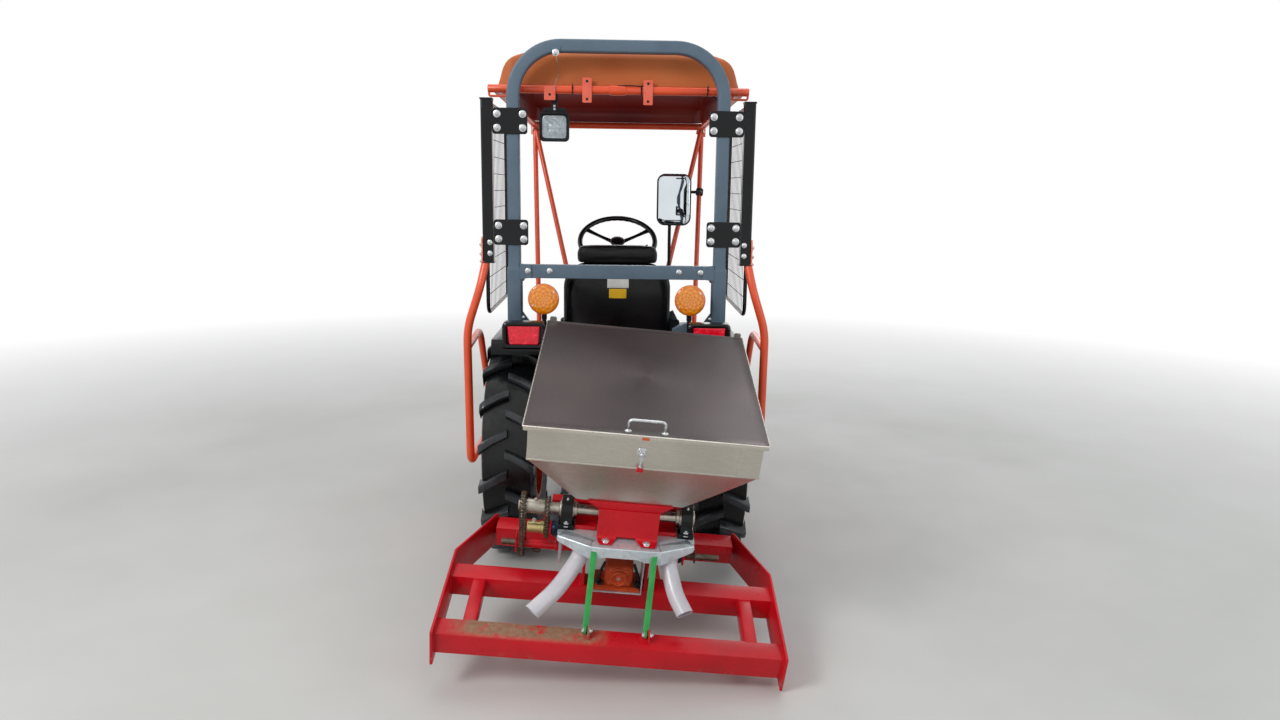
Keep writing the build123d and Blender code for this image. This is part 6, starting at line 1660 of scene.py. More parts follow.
for x in (-188, 92, 362):
    tie = rectRing(2.3, 0.9, 0.5, 1, 3)
    turn = np.linspace(0, 2 * np.pi, 25)[:-1]
    loopPath = np.column_stack((np.full(24, float(x)), roofRear + 18.2 * np.cos(turn), rimRear + 18.2 * np.sin(turn)))
    tieParts.append(sweepParts(loopPath, tie[:, ::-1], closed=True, up=(1, 0, 0)))
    tieParts.append(boxParts((x - 3, roofRear - 21, rimRear + 2), (x + 3, roofRear - 17, rimRear + 8)))
    tieParts.append(sweepParts(((x, roofRear - 19, rimRear + 8), (x + 2, roofRear - 22, rimRear + 18), (x + 1, roofRear - 24, rimRear + 26)), circle(1.2, 6)))
inTube = ((-262, roofRear - 2, 1872), (-264, roofRear + 2, 1905), (-262, roofRear + 20, 1936), (-240, roofRear + 19, 1962))
inTube += ((92, roofRear + 19, 1962), (362, roofRear + 19, 1957), (392, roofRear + 10, 1938), (418, roofRear - 2, 1900), (424, roofRear + 4, 1872))
tieParts.append(sweepParts(smoothPath(inTube, 22, 6), circle(2.4, 8)))
shown = ((-22, roofRear + 4, 1972), (-4, roofRear - 11, 1973), (50, roofRear - 12, 1974.5), (92, roofRear - 12, 1972), (108, roofRear - 3, 1973))
tieParts.append(sweepParts(smoothPath(shown, 12, 6), circle(2.2, 8)))
chassisPiece("cable_ties", tieParts, "blackPlastic", sharp=60)

# clip under the hoop's left shoulder with its bolt and the thin lead that hangs from it
clipParts = [prismParts(np.array(((-272, 2112), (-228, 2112), (-240, 2080), (-260, 2080))), hoopY - 30, hoopY - 26, 1)]
chassisPiece("hoop_clip", clipParts, "greyBluePaint", bevel=0.0008)
boltsHere += hexNut((-250, hoopY - 30, 2086), (0, -1, 0), 8.5, 7, 3)
lead = smoothPath(((-250, hoopY - 34, 2080), (-244, hoopY - 20, 2048), (-236, hoopY + 20, 2022), (-252, hoopY + 40, 1992), (-262, roofRear - 24, 1970), (-262, roofRear - 22, 1950)), 20, 6)
lampLead = chassisPiece("lamp_lead", [sweepParts(lead, circle(1.6, 6))], "steel", sharp=60, slot="steel")
# a hole in the hoop, drawn as a black disc with a rim: painted shade in the hole
hoopHoleShadeRing = ((-0.4, 0), (-0.4, 7.5), (0.3, 8.2), (0.9, 8.2), (0.9, 7.2), (-0.2, 6.8), (-0.2, 0))
chassisPiece("hoop_hole_shade", [latheParts(hoopHoleShadeRing, (15, hoopY - 25.9, 2119), (0, -1, 0), 24)], "blackPlastic", sharp=30)

# work lamp: a finned housing with a deep bezel, ribbed glass and a bright bowl behind it
lampX, lampY, lampZ = -262, roofRear, 1806
housing = []
for y, wide, high, r in ((-28, 106, 98, 14), (-31, 112, 106, 16), (-31, 120, 114, 18), (-29, 122, 116, 18), (-12, 122, 116, 18), (-10, 116, 110, 16), (8, 112, 104, 16), (24, 84, 76, 16), (31, 60, 50, 12)):
    ring = rectRing(wide / 2, high / 2, r, 1, 6)
    housing.append(np.column_stack((lampX + ring[:, 0], np.full(len(ring), lampY + y), lampZ + ring[:, 1])))
lampParts = [ringStack(housing, capEnd=True)]
inner = []
for y, wide, high, r in ((-28, 106, 98, 14), (-24, 98, 90, 14), (-22, 98, 90, 14)):
    ring = rectRing(wide / 2, high / 2, r, 1, 6)
    inner.append(np.column_stack((lampX + ring[:, 0], np.full(len(ring), lampY + y), lampZ + ring[:, 1])))
lampParts.append(ringStack(inner[::-1]))
for dx in (-42, -28, -14, 0, 14, 28, 42):
    fin = np.array(((-6, 48), (12, 46), (24, 34), (24, 57), (-6, 57)))
    lampParts.append(prismParts(np.column_stack((lampY + fin[:, 0], lampZ + fin[:, 1])), lampX + dx - 1.6, lampX + dx + 1.6, 0))
lampParts.append(boxParts((lampX - 13, lampY - 3, lampZ + 55), (lampX + 13, lampY + 3, 1938)))
bail = smoothPath(((lampX - 40, lampY + 2, lampZ + 56), (lampX - 40, lampY + 2, lampZ + 68), (lampX + 40, lampY + 2, lampZ + 68), (lampX + 40, lampY + 2, lampZ + 56)), 8, 4)
lampParts.append(sweepParts(bail, roundedRect(22, 3, 1, 3), up=(0, 1, 0)))
chassisPiece("work_lamp_case", lampParts, "blackPlastic", sharp=32, stands=["work_lamp"], bevel=0.0008, angle=40)
glassRings = []
ring = rectRing(49, 45, 13, 10, 5)
for y, scale in ((-21, 1.0), (-25.5, 1.0), (-26.5, 0.975), (-27.0, 0.9), (-27.2, 0.6), (-27.4, 0.3), (-27.4, 0.01)):
    points = np.column_stack((lampX + ring[:, 0] * scale, np.full(len(ring), lampY + y), lampZ + ring[:, 1] * scale))
    points[:, 1] -= 0.5 * np.cos(ring[:, 0] * scale / 3.4) * (0.6 if scale < 0.95 else 0)
    glassRings.append(points)
chassisPiece("work_lamp_glass", [ringStack(glassRings, capStart=True)], "clearLens", sharp=50)
bowl = []
for y, scale in ((-20, 1.0), (-16, 0.9), (-8, 0.7), (2, 0.5), (8, 0.3), (9, 0.01)):
    bowl.append(np.column_stack((lampX + ring[:, 0] * scale * 0.98, np.full(len(ring), lampY + y), lampZ + ring[:, 1] * scale * 0.98)))
bowlParts = [ringStack(bowl)]
bulb = ((9, 6), (2, 6), (-2, 5.4), (-10, 5.4), (-14, 3.6), (-15, 0))
bowlParts.append(latheParts([(-d, r) for d, r in bulb], (lampX, lampY, lampZ), (0, -1, 0), 16))
chassisPiece("work_lamp_bowl", bowlParts, "reflector", sharp=50)
for dx in (-6, 6):
    boltsHere += hexNut((lampX + dx * 0, lampY - 4, lampZ + 78 + dx), (0, -1, 0), 5, 4, 1, washer=False)

# turn lamps: ribbed amber domes in dark rings, on stems with their feet
lensParts, ringsDark = [], []
for sign in (-1, 1):
    centre = np.array((sign * 300, hoopY - 60, 1115.0))
    sides = 72
    profile = [(0, 60), (4, 62.5), (8, 63.5), (12, 63.5), (15, 62), (17, 57.5), (18.5, 52), (19.5, 44), (20, 34), (20.2, 22), (20.2, 11), (20.2, 0)]
    points, faces = latheParts(profile, centre, (0, -1, 0), sides)
    grid = points.reshape(len(profile), sides, 3)
    turn = np.linspace(0, 2 * np.pi, sides, endpoint=False)
    ripple = 0.8 * np.cos(turn * 24)[None, :] * np.array((0, 0, 0, 0, 0.3, 1, 1, 1, 0.6, 0, 0, 0))[:, None]
    rings = 0.5 * np.cos(np.array([r for _, r in profile]) / 3.0)[:, None]
    grid[..., 1] -= ripple + np.where(np.array([r for _, r in profile])[:, None] < 56, rings, 0)
    lensParts.append((grid.reshape(-1, 3), faces))
    cup = ((-0.5, 0), (-0.5, 61), (-4, 61), (-8, 58), (-26, 52), (-40, 44), (-42, 0))
    ringsDark.append(latheParts([(d, r) for d, r in cup], centre, (0, -1, 0), 40))
    stem = ((0, 13), (4, 13), (6, 9), (60, 9), (66, 11), (96, 11), (108, 11))
    ringsDark.append(latheParts(stem, (sign * 300, hoopY - 38, 963.5), (0, 0, 1), 20))
    ringsDark.append(boxParts((sign * 300 - 24, hoopY - 60, 962.5), (sign * 300 + 24, hoopY - 16, 967)))
    for angle in (0.6, 3.7):
        spot = centre + (51 * cos(angle), -17, 51 * sin(angle))
        boltsHere += hexNut(spot, (0, -1, 0), 3.4, 2.4, washer=False, sides=12)
chassisPiece("amber_domes", lensParts, "amberLens", sharp=60, stands=["amber_lamps"])
chassisPiece("amber_cases", ringsDark, "blackPlastic", sharp=32, bevel=0.0008, angle=40)
chassisPiece("frame_bolts", boltsHere, "boltSteel", sharp=30, slot="steel")
print("overhead dressed")


# soft pieces: a closed form is blown up a little by a cloth simulation, then capped and smoothed
def plump(obj, voxel=0.006, pressure=4.0, cap=0.006, hold=None):
    # Swells a pad by gas pressure; no point moves further than cap, and held ones stay.
    remesh = obj.modifiers.new("voxels", "REMESH")
    remesh.mode, remesh.voxel_size = "VOXEL", voxel
    depsgraph = bpy.context.evaluated_depsgraph_get()
    mesh = bpy.data.meshes.new_from_object(obj.evaluated_get(depsgraph))
    obj.modifiers.clear()
    look = list(obj.data.materials)
    obj.data = mesh
    obj.data.materials.clear()
    for material in look:
        obj.data.materials.append(material)
    start = np.empty(len(mesh.vertices) * 3)
    mesh.vertices.foreach_get("co", start)
    start = start.reshape(-1, 3)
    cloth = obj.modifiers.new("cloth", "CLOTH")
    cloth.settings.use_pressure = True
    cloth.settings.uniform_pressure_force = pressure
    cloth.settings.effector_weights.gravity = 0
    cloth.settings.quality = 5
    cloth.settings.tension_stiffness = 30
    cloth.settings.bending_stiffness = 2.0
    cloth.point_cache.frame_start, cloth.point_cache.frame_end = 1, 20
    scene = bpy.context.scene
    for step in range(1, 21):
        scene.frame_set(step)
    moved = np.empty(len(mesh.vertices) * 3)
    evaluated = obj.evaluated_get(bpy.context.evaluated_depsgraph_get()).data
    evaluated.vertices.foreach_get("co", moved)
    moved = moved.reshape(-1, 3) - start
    reach = np.linalg.norm(moved, axis=1)[:, None]
    moved = moved * np.minimum(1, cap / np.maximum(reach, 1e-9))
    if hold is not None:
        moved = moved * hold(start)[:, None]
    obj.modifiers.clear()
    scene.frame_set(1)
    mesh.vertices.foreach_set("co", (start + moved).ravel())
    mesh.update()
    mesh.shade_smooth()
    smooth = obj.modifiers.new("smooth", "SUBSURF")
    smooth.levels = smooth.render_levels = 1
    return obj


def onSurface(obj, points, lift=0.0):
    # Points carried to the nearest place on a piece's finished surface, then lifted off it.
    bm = bmesh.new()
    bm.from_object(obj, bpy.context.evaluated_depsgraph_get())
    tree = BVHTree.FromBMesh(bm)
    out = []
    for point in np.asarray(points, float):
        spot, normal, _, _ = tree.find_nearest(Vector(point))
        out.append(np.array(spot) + lift * np.array(normal))
    bm.free()
    return np.array(out)


def pipingOn(obj, points, radius, name, look="vinyl", closed=True, body="chassis"):
    # A seam's cord laid along a path on a pad.
    path = onSurface(obj, np.asarray(points) / 1000, radius * 0.25)
    for _ in range(2):
        path = (np.roll(path, 1, 0) + 2 * path + np.roll(path, -1, 0)) / 4 if closed else path
    cord = meshObject(name, *sweepParts(path, circle(radius, 8), closed=closed), sharp=80)
    outwards(cord)
    return finishPiece(cord, body, look)


seatBack = axleMm + 195


def backOutline(shrink, low=792.0):
    # The seat back's outline in (x, z): straight sides, round shoulders and a flat top.
    turn = np.linspace(0, np.pi / 2, 14)
    half, top = 240 - shrink, 1235 - shrink
    shoulder = np.stack((half - 104 * (1 - np.cos(turn)), top - 112 * (1 - np.sin(turn))), -1)
    foot = np.array(((half - 30, low + shrink), (half - 9, low + 9 + shrink), (half, low + 30 + shrink)))
    side = np.column_stack((np.full(5, half), np.linspace(low + 80, top - 170, 5)))
    right = np.concatenate((foot, side, shoulder))
    left = right[::-1] * (-1, 1)
    across = np.linspace(0.8, -0.8, 7)[:, None]
    topRun = np.column_stack((across * (half - 104), np.full(7, top)))
    footRun = np.column_stack((-across * (half - 30), np.full(7, low + shrink)))
    return np.concatenate((right, topRun, left, footRun))


def backRings(rows):
    out = []
    for y, shrink, crown in rows:
        outline = backOutline(min(shrink, 200))
        if shrink > 200:
            outline = outline * 0.001 + (0, 1013)
        u = outline[:, 0] / 240
        v = (outline[:, 1] - 1013) / 222
        out.append(np.column_stack((outline[:, 0], y + crown * np.clip(1 - u**2, 0, 1) * np.clip(1 - v**2, 0, 1), outline[:, 1])))
    return np.array(out)


shellRows = [(seatBack + 34, 6, 0), (seatBack + 20, 0, 0), (seatBack + 10, 2, 0), (seatBack + 3, 8, 0), (seatBack, 18, -1)]
shellRows += [(seatBack, s, -4) for s in (40, 80, 120, 160, 199, 201)]
shell = chassisPiece("seat_shell", [ringStack(backRings(shellRows)[::-1], capEnd=True)], "glossBlack", sharp=50, stands=["seat"])
padRows = [(seatBack + 30, 201, 0), (seatBack + 30, 120, 0), (seatBack + 30, 20, 0), (seatBack + 36, 9, 0), (seatBack + 48, 5, 0), (seatBack + 56, 8, 0), (seatBack + 61, 18, 0)]
padRows += [(seatBack + 63, s, 3) for s in (34, 60, 90, 130, 170, 199, 201)]
backPad = chassisPiece("seat_back_pad", [ringStack(backRings(padRows))], "vinyl", sharp=80)
plump(backPad, cap=0.005, hold=lambda p: np.clip((p[:, 1] * 1000 - seatBack - 34) / 20, 0, 1))

cushionRows = ((756, 190, 180, 60), (757, 205, 198, 70), (764, 214, 208, 74), (790, 216, 211, 76), (820, 215, 210, 76), (834, 208, 203, 72), (841, 190, 185, 64), (843, 150, 145, 50), (840, 90, 85, 30), (838, 30, 28, 10), (838, 0.3, 0.3, 0.1))
cushionRings = []
for z, halfX, halfY, r in cushionRows:
    ring = rectRing(halfX, halfY, r, 10, 8)
    swell = 1 - 0.02 * np.cos(ring[:, 0] / halfX * 4.2) * np.cos(ring[:, 1] / halfY * 4.2)
    dish = -9 * np.exp(-((ring[:, 0] / 120) ** 2 + (ring[:, 1] / 120) ** 2)) * (z > 836)
    cushionRings.append(np.column_stack((ring * swell[:, None] + (0, seatBack + 250), np.full(len(ring), float(z)) + dish)))
cushion = chassisPiece("seat_cushion", [ringStack(cushionRings, capStart=True)], "vinyl", sharp=80)
plump(cushion, cap=0.006, hold=lambda p: np.clip((p[:, 2] * 1000 - 760) / 20, 0, 1))
seamRing = rectRing(211, 206, 73, 10, 8) + (0, seatBack + 250)
pipingOn(cushion, np.column_stack((seamRing, np.full(len(seamRing), 831.0))), 0.0028, "cushion_piping")
for x in (-72, 72):
    run = np.column_stack((np.full(20, float(x)), seatBack + 250 + np.linspace(-165, 165, 20), np.full(20, 846.0)))
    pipingOn(cushion, run, 0.0022, f"cushion_channel_{'left' if x < 0 else 'right'}", closed=False)
seamBack = backOutline(13)
pipingOn(backPad, np.column_stack((seamBack[:, 0], np.full(len(seamBack), seatBack + 62.0), seamBack[:, 1])), 0.0028, "back_piping")

baseParts = [boxParts((-120, seatBack - 95, 660.3), (120, seatBack + 389, 690)), boxParts((-110, seatBack + 20, 690), (110, seatBack + 370, 748))]
for sign in (-1, 1):  # slide rails under the cushion
    baseParts.append(boxParts((sign * 118, seatBack + 40, 738), (sign * 134, seatBack + 380, 756)))
chassisPiece("seat_base", baseParts, "blackPaint", bevel=0.003)

# pad on top of the back: a firm roll with a narrower lip above a sewn line
rollRows = (
    (1235.5, 150, 24, 20), (1236, 168, 37, 24), (1241, 175, 42, 26), (1252, 178.5, 44, 26), (1270, 179, 44.5, 26),
    (1283, 178, 43.5, 25), (1288, 175, 41, 24), (1290.5, 171, 38, 22), (1293, 173, 39.5, 22), (1299, 172, 39, 22),
    (1305, 167, 35, 20), (1309, 152, 27, 16), (1310.3, 110, 16, 10), (1310.6, 50, 6, 4), (1310.6, 0.3, 0.1, 0.05),
)
rollRings = []
for z, halfX, halfY, r in rollRows:
    ring = rectRing(halfX, halfY, r, 12, 6)
    sag = 0.9 * np.sin(ring[:, 0] / 31.0) * np.cos(z / 13.0)
    rollRings.append(np.column_stack((ring[:, 0], ring[:, 1] * (1 + sag / 60) + seatBack + 35, z + 0.5 * np.sin(ring[:, 0] / 47.0))))
roll = chassisPiece("pad_roll", [ringStack(rollRings, capStart=True)], "vinyl", sharp=80, stands=["seat_pad"])
plump(roll, voxel=0.004, cap=0.0025, hold=lambda p: np.clip((p[:, 2] * 1000 - 1238) / 10, 0, 1))

# two blank stickers on the shell
stickers = []
for name, low, high, look in (("white", (-44, 1124), (52, 1184), "whiteSticker"), ("yellow", (-36, 1078), (42, 1120), "yellowSticker")):
    middle = ((low[0] + high[0]) / 2, (low[1] + high[1]) / 2)
    ring = rectRing((high[0] - low[0]) / 2, (high[1] - low[1]) / 2, 3, 8, 3) + middle
    stack = []
    for lift, scale in ((0.5, 1.0), (-0.5, 1.0), (-0.8, 0.985), (-0.85, 0.6), (-0.9, 0.01)):
        spot = (ring - middle) * scale + middle
        stack.append(np.column_stack((spot[:, 0], np.zeros(len(ring)), spot[:, 1], np.full(len(ring), lift))))
    stack = np.array(stack)
    u, v = stack[..., 0] / 240, (stack[..., 2] - 1013) / 222
    surface = seatBack - 4 * np.clip(1 - u**2, 0, 1) * np.clip(1 - v**2, 0, 1) - 0.3
    stack[..., 1] = surface + stack[..., 3]
    chassisPiece(f"sticker_{name}", [ringStack(stack[..., :3], capStart=True)], look, sharp=40)

# belt at the seat's right: a folded strap and its buckle
strap = smoothPath(((236, seatBack + 50, 1010), (262, seatBack + 20, 960), (268, seatBack + 30, 900), (250, seatBack + 60, 850), (236, seatBack + 90, 800), (200, seatBack + 100, 742)), 30, 6)
chassisPiece("belt_strap", [sweepParts(strap, roundedRect(44, 2.6, 1.2, 3), up=(0, 1, 0))], "webbing", sharp=50)
buckle = []
for y, wide, high in ((-8, 38, 50), (-9, 44, 56), (8, 44, 56), (9, 38, 50)):
    ring = rectRing(wide / 2, high / 2, 9, 1, 5)
    buckle.append(np.column_stack((262 + ring[:, 0], np.full(len(ring), seatBack + 26 + y), 952 + ring[:, 1])))
chassisPiece("belt_buckle", [ringStack(buckle, capStart=True, capEnd=True)], "blackPlastic", sharp=40)

# steering wheel: a rim with finger grips below, three pressed spokes and a domed hub
wheelTilt = radians(35)
wheelAxes = np.array(((1, 0, 0), (0, cos(wheelTilt), sin(wheelTilt)), (0, -sin(wheelTilt), cos(wheelTilt))))
wheelCentre = np.array((0, axleMm + 720, 1303.0))


def onWheel(parts):
    # From the wheel's own axes, whose third points up its column.
    return [(wheelCentre + np.asarray(points, float) @ wheelAxes, faces) for points, faces in parts]


rimTurn = np.linspace(0, 2 * np.pi, 193)[:-1]
rimPath = np.column_stack((187 * np.cos(rimTurn), 187 * np.sin(rimTurn), np.zeros(192)))
rimPoints, rimFaces2 = sweepParts(rimPath, circle(12.8, 14), closed=True)
rimGrid = rimPoints.reshape(192, 14, 3)
offset = rimGrid - rimPath[:, None]
grip = np.clip(-offset[..., 2] / 12.8, 0, 1) * (0.5 + 0.5 * np.cos(rimTurn * 36))[:, None]
rimGrid -= offset * (0.13 * grip)[..., None]
wheelParts = [(rimGrid.reshape(-1, 3), rimFaces2)]
for angle in np.radians((-90, 30, 150)):
    t = np.linspace(0, 1, 9)
    reach = 22 + (182 - 22) * t
    rise = -16 + 14 * t**1.5
    half = 15 - 5 * np.sin(np.pi * t)
    spoke = []
    for r, z, h in zip(reach, rise, half):
        section = np.array(((-h, 0), (-h + 2, 3.5), (-3, 4), (-2, 1.2), (2, 1.2), (3, 4), (h - 2, 3.5), (h, 0), (h - 3, -3.5), (-h + 3, -3.5)))
        spoke.append([(r * cos(angle) - s * sin(angle), r * sin(angle) + s * cos(angle), z + up) for s, up in section])
    wheelParts.append(ringStack(spoke, capStart=True, capEnd=True))
hub = ((-29, 0), (-29, 24), (-24, 28), (-14, 30), (-6, 36), (-2, 38), (2, 36), (5, 30), (8, 18), (9, 0))
wheelParts.append(latheParts(hub, (0, 0, 0), (0, 0, 1), 40))
wheelObject = pieceOf("wheel_rim", inFrame(onWheel(wheelParts)), "glossBlack", sharp=38, body="steering_wheel", stands=["steering_wheel"])

# mirror: a rounded case with a raised lip, slightly convex glass, and its stalks
mirrorX, mirrorY, mirrorZ = 290, axleMm + 925, 1508
caseRings = []
for y, shrink in ((-34, 40), (-34, 14), (-31, 5), (-24, 1), (-8, 0), (-1, 1.5), (0, 3.5), (-0.6, 6), (-3.5, 7)):
    ring = rectRing(89 - shrink, 132 - shrink, max(42 - shrink, 6), 4, 8)
    caseRings.append(np.column_stack((mirrorX + ring[:, 0], np.full(len(ring), mirrorY - 34 - y), mirrorZ + ring[:, 1])))
mirrorParts = [ringStack(caseRings[::-1], capEnd=True)]
strutX, strutY, strutZ = 436.3, 710.7, 1548.0
stalk = smoothPath(((mirrorX + 60, mirrorY - 12, strutZ), (mirrorX + 60, mirrorY + 50, strutZ), (strutX, mirrorY + 50, strutZ), (strutX, strutY - 14, strutZ)), 24, 7)
mirrorParts.append(sweepParts(stalk, circle(7.8, 14)))
clampRing = ((-16, 14), (-16, 19), (-14, 20), (14, 20), (16, 19), (16, 14))
mirrorParts.append(latheParts(clampRing, (strutX, strutY, strutZ), (0.08, 0.4, 0.9), 20))
chassisPiece("mirror_case", mirrorParts, "blackPlastic", sharp=35, stands=["mirror"])
glassRings = []
ring = rectRing(82.3, 125.3, 35, 8, 8)
for scale in (1.0, 0.97, 0.8, 0.6, 0.4, 0.2, 0.002):
    dome = -34 + 3.0 - 3.2 * (1 - scale**2) if scale < 1 else -34 + 4.0
    glassRings.append(np.column_stack((mirrorX + ring[:, 0] * scale, np.full(len(ring), mirrorY + dome), mirrorZ + ring[:, 1] * scale)))
chassisPiece("mirror_glass", [ringStack(glassRings)], "mirrorGlass", sharp=60)

# grab rails: bent tubes with straps bolted to the channels, a branch and foot plates
railY, railLow = axleMm - 150, 414.7
mainRail = smoothPath(((542, railY + 34, 1253), (560, railY + 2, 1160), (617, railY, 985), (613, railY, railLow), (609, 242.5, railLow), (365, 272.5, railLow)), 58, 8)
branch = smoothPath(((617, railY, 905), (617, axleMm + 200, 930), (610, 162.5, railLow)), 70, 8)
railParts = [sweepParts(mainRail, circle(17, 22)), sweepParts(branch, circle(15, 20))]
railParts.append(prismParts(np.array(((hoopY - 30, 1236), (hoopY + 8, 1236), (hoopY + 8, 1352), (hoopY - 2, 1362), (hoopY - 24, 1362), (hoopY - 30, 1352))), 550.4, 556, 0))
bead = circle(1, 22)
for path, radius, where in ((mainRail, 17, 0), (branch, 15, 0), (branch, 15, -1)):
    spot, run = path[where], path[1 if where == 0 else -1] - path[0 if where == 0 else -2]
    railParts.append(latheParts(((-3, radius - 1), (-3, radius + 1.2), (0, radius + 1.8), (3, radius + 1.2), (3, radius - 1)), spot, run, 22))
railParts.append(boxParts((345, 250, 431.4), (425, 292, 436)))
chassisPiece("rail_tubes", mirrored(railParts), "orangePaint", sharp=40, stands=["grab_rails"])
railBolts = []
for sign in (-1, 1):
    for z in (1262, 1292, 1330):
        railBolts += hexNut((sign * 556, hoopY - 10, z), (sign, 0, 0), 7, 6, 3)
    for x in (358, 412):
        railBolts += hexNut((sign * x, 271, 440), (0, 0, 1), 6.5, 5)
chassisPiece("rail_bolts", railBolts, "boltSteel", sharp=30, slot="steel")

# tail lamps: moulded boxes with round corners and clear red lenses
lampXs, lampBack, lampMid = 366, axleMm - 280 - 58, 989
boxRings = []
for y, shrink, r in ((58, 3, 16), (54, 0, 18), (12, 0, 20), (4, 2, 20), (0, 7, 18), (0, 13, 14), (2, 17, 10), (18, 21, 8)):
    ring = rectRing(86 - shrink, 54 - shrink, r, 3, 6)
    boxRings.append(np.column_stack((lampXs + ring[:, 0], np.full(len(ring), lampBack + y), lampMid + ring[:, 1])))
lampBoxes = [ringStack(boxRings[::-1], capEnd=True, capStart=True)]
bracketLip = np.array(((-86, -54), (86, -54), (82, -61), (-82, -61))) + (lampXs, lampMid)
lampBoxes.append(prismParts(bracketLip, lampBack + 2, lampBack + 56, 1))
chassisPiece("tail_boxes", mirrored(lampBoxes), "glossBlack", sharp=35, stands=["tail_lamps"])
lensRings = []
for y, scaleX, scaleZ in ((17, 1, 1), (5, 1, 1), (2.4, 0.97, 0.95), (1.8, 0.85, 0.8), (1.6, 0.5, 0.5), (1.6, 0.01, 0.01)):
    ring = rectRing(60.5, 38.5, 5, 10, 4)
    taper = 1 + 0.06 * ring[:, 1] / 38.5
    lensRings.append(np.column_stack((lampXs + ring[:, 0] * scaleX * taper, np.full(len(ring), lampBack + y), lampMid + 3 + ring[:, 1] * scaleZ)))
lensParts2 = [ringStack(lensRings, capStart=True)]
for k in range(-4, 5):  # ribs on the lens
    lensParts2.append(boxParts((lampXs + k * 12.4 - 0.8, lampBack + 0.9, lampMid - 30), (lampXs + k * 12.4 + 0.8, lampBack + 3, lampMid + 34)))
chassisPiece("tail_glass", mirrored(lensParts2), "redLens", sharp=40, stands=["tail_lenses"])
print("seat, mirror, rails and lamps dressed")


# bonnet details: they ride with the hood, on its flat flanks and in the nose's windows
hood = dict(rear=955, kink=1745, front=1935, halfRear=212, halfKink=198, halfFront=178, low=610)


def hoodSide(y):
    # The flank's distance from the middle: two straight tapers that meet at the kink.
    y = np.asarray(y, float) - axleMm
    t = np.clip((y - hood["rear"]) / (hood["kink"] - hood["rear"]), 0, 1)
    u = np.clip((y - hood["kink"]) / (hood["front"] - hood["kink"]), 0, 1)
    return hood["halfRear"] + (hood["halfKink"] - hood["halfRear"]) * t + (hood["halfFront"] - hood["halfKink"]) * u


def flankStrip(start, stop, low, high, lift, count=12):
    # A strip that lies on the flank between two distances and two heights, lift millimetres proud.
    y = axleMm + np.linspace(start, stop, count)
    x = hoodSide(y)
    rings = [np.column_stack((x - 1.5, y, np.full(count, low))), np.column_stack((x + lift, y, np.full(count, low + lift)))]
    rings += [np.column_stack((x + lift, y, np.full(count, high - lift))), np.column_stack((x - 1.5, y, np.full(count, high)))]
    return ringStack(np.stack(rings, 1), capStart=True, capEnd=True)


louvres = dict(first=1330, step=34, count=9, low=730, high=880, half=9, rise=6)


def louvreParts(centre):
    # A pressed louvre: a quarter bulge across its width that fades to nothing at both ends.
    u = np.linspace(0, 1, 9)[:, None]
    v = np.linspace(0, 1, 19)[None, :]
    swell = np.sin(np.pi / 2 * u) * np.clip(np.sin(np.pi * v) * 3.2, 0, 1) ** 0.5
    y = axleMm + centre + (u - 0.5) * 2 * louvres["half"] + 0 * v
    z = louvres["low"] + (louvres["high"] - louvres["low"]) * v + 0 * u
    x = hoodSide(y) - 0.8 + louvres["rise"] * swell
    front = np.stack((x, y, z), -1)
    back = np.stack((hoodSide(y) - 1.4, y, z), -1)
    both = np.concatenate((front, back[::-1]))
    return both.reshape(-1, 3), gridFaces(18, 19, closeRows=True).tolist() + [list(range(0, 18 * 19, 19)), list(range(18, 18 * 19, 19))[::-1]]


louvreRow, slotShadeAndSeams = [], []
for k in range(louvres["count"]):
    centre = louvres["first"] + k * louvres["step"]
    louvreRow.append(louvreParts(centre))
    # a black strip in each louvre's opening: painted shade
    slotShadeAndSeams.append(flankStrip(centre + louvres["half"] - 1, centre + louvres["half"] + 5, louvres["low"] + 12, louvres["high"] - 12, 0.5, 2))
pieceOf("bonnet_louvres", inFrame(mirrored(louvreRow)), "bonnetPaint", sharp=50, body="hood")
# two seam lines on each flank: dark joints
slotShadeAndSeams.append(flankStrip(1256, 1260, 620, 1000, 0.4, 2))
slotShadeAndSeams.append(flankStrip(hood["rear"] + 4, 1900, 640, 644, 0.4, 24))
pieceOf("bonnet_slot_shade_and_seams", inFrame(mirrored(slotShadeAndSeams)), "blackPlastic", sharp=40, body="hood")
sideStripe = [flankStrip(1270, 1860, 664, 690, 1.2, 24)]
pieceOf("bonnet_stripe", inFrame(mirrored(sideStripe)), "stripeGrey", sharp=40, body="hood")
catchParts = []
for y, z in ((1100, 700), (1180, 960)):
    x = float(hoodSide(axleMm + y))
    catchParts.append(latheParts(((-1, 0), (-1, 15), (1.5, 15), (3, 13), (3.4, 6), (5.5, 5), (6.5, 3.5), (6.8, 0)), (x, axleMm + y, z), (1, 0, 0), 28))
pieceOf("bonnet_catches", inFrame(mirrored(catchParts)), "steel", sharp=35, body="hood", slot="steel")

# headlamps: bezel, bowl, bulb and a fluted lens in each window
lampHalf, lampHigh, lampX, lampZ0 = 25.7, 41.7, 140, 818
lensStack, bowlStack, bezelStack, bulbs = [], [], [], []
noseY = axleMm + 1935
for y, scale in ((-4, 0.9), (-1, 0.9), (-0.6, 0.87), (-0.4, 0.5), (-0.4, 0.01)):
    ring = rectRing(lampHalf * scale, lampHigh * scale, 7 * scale + 0.01, 6, 6)
    flute = 0.5 * np.cos(ring[:, 0] * 1.2) if 0.1 < scale < 0.89 else 0
    lensStack.append(np.column_stack((lampX + ring[:, 0], np.full(len(ring), noseY + y) + flute, lampZ0 + ring[:, 1])))
for depth in np.linspace(0, 1, 8):
    scale = max(0.86 * (1 - depth**2.2) ** 0.5, 0.06)
    ring = rectRing(lampHalf * scale, lampHigh * scale, 8 * scale + 0.01, 4, 6)
    bowlStack.append(np.column_stack((lampX + ring[:, 0], np.full(len(ring), noseY - 5 - 24 * depth), lampZ0 + ring[:, 1])))
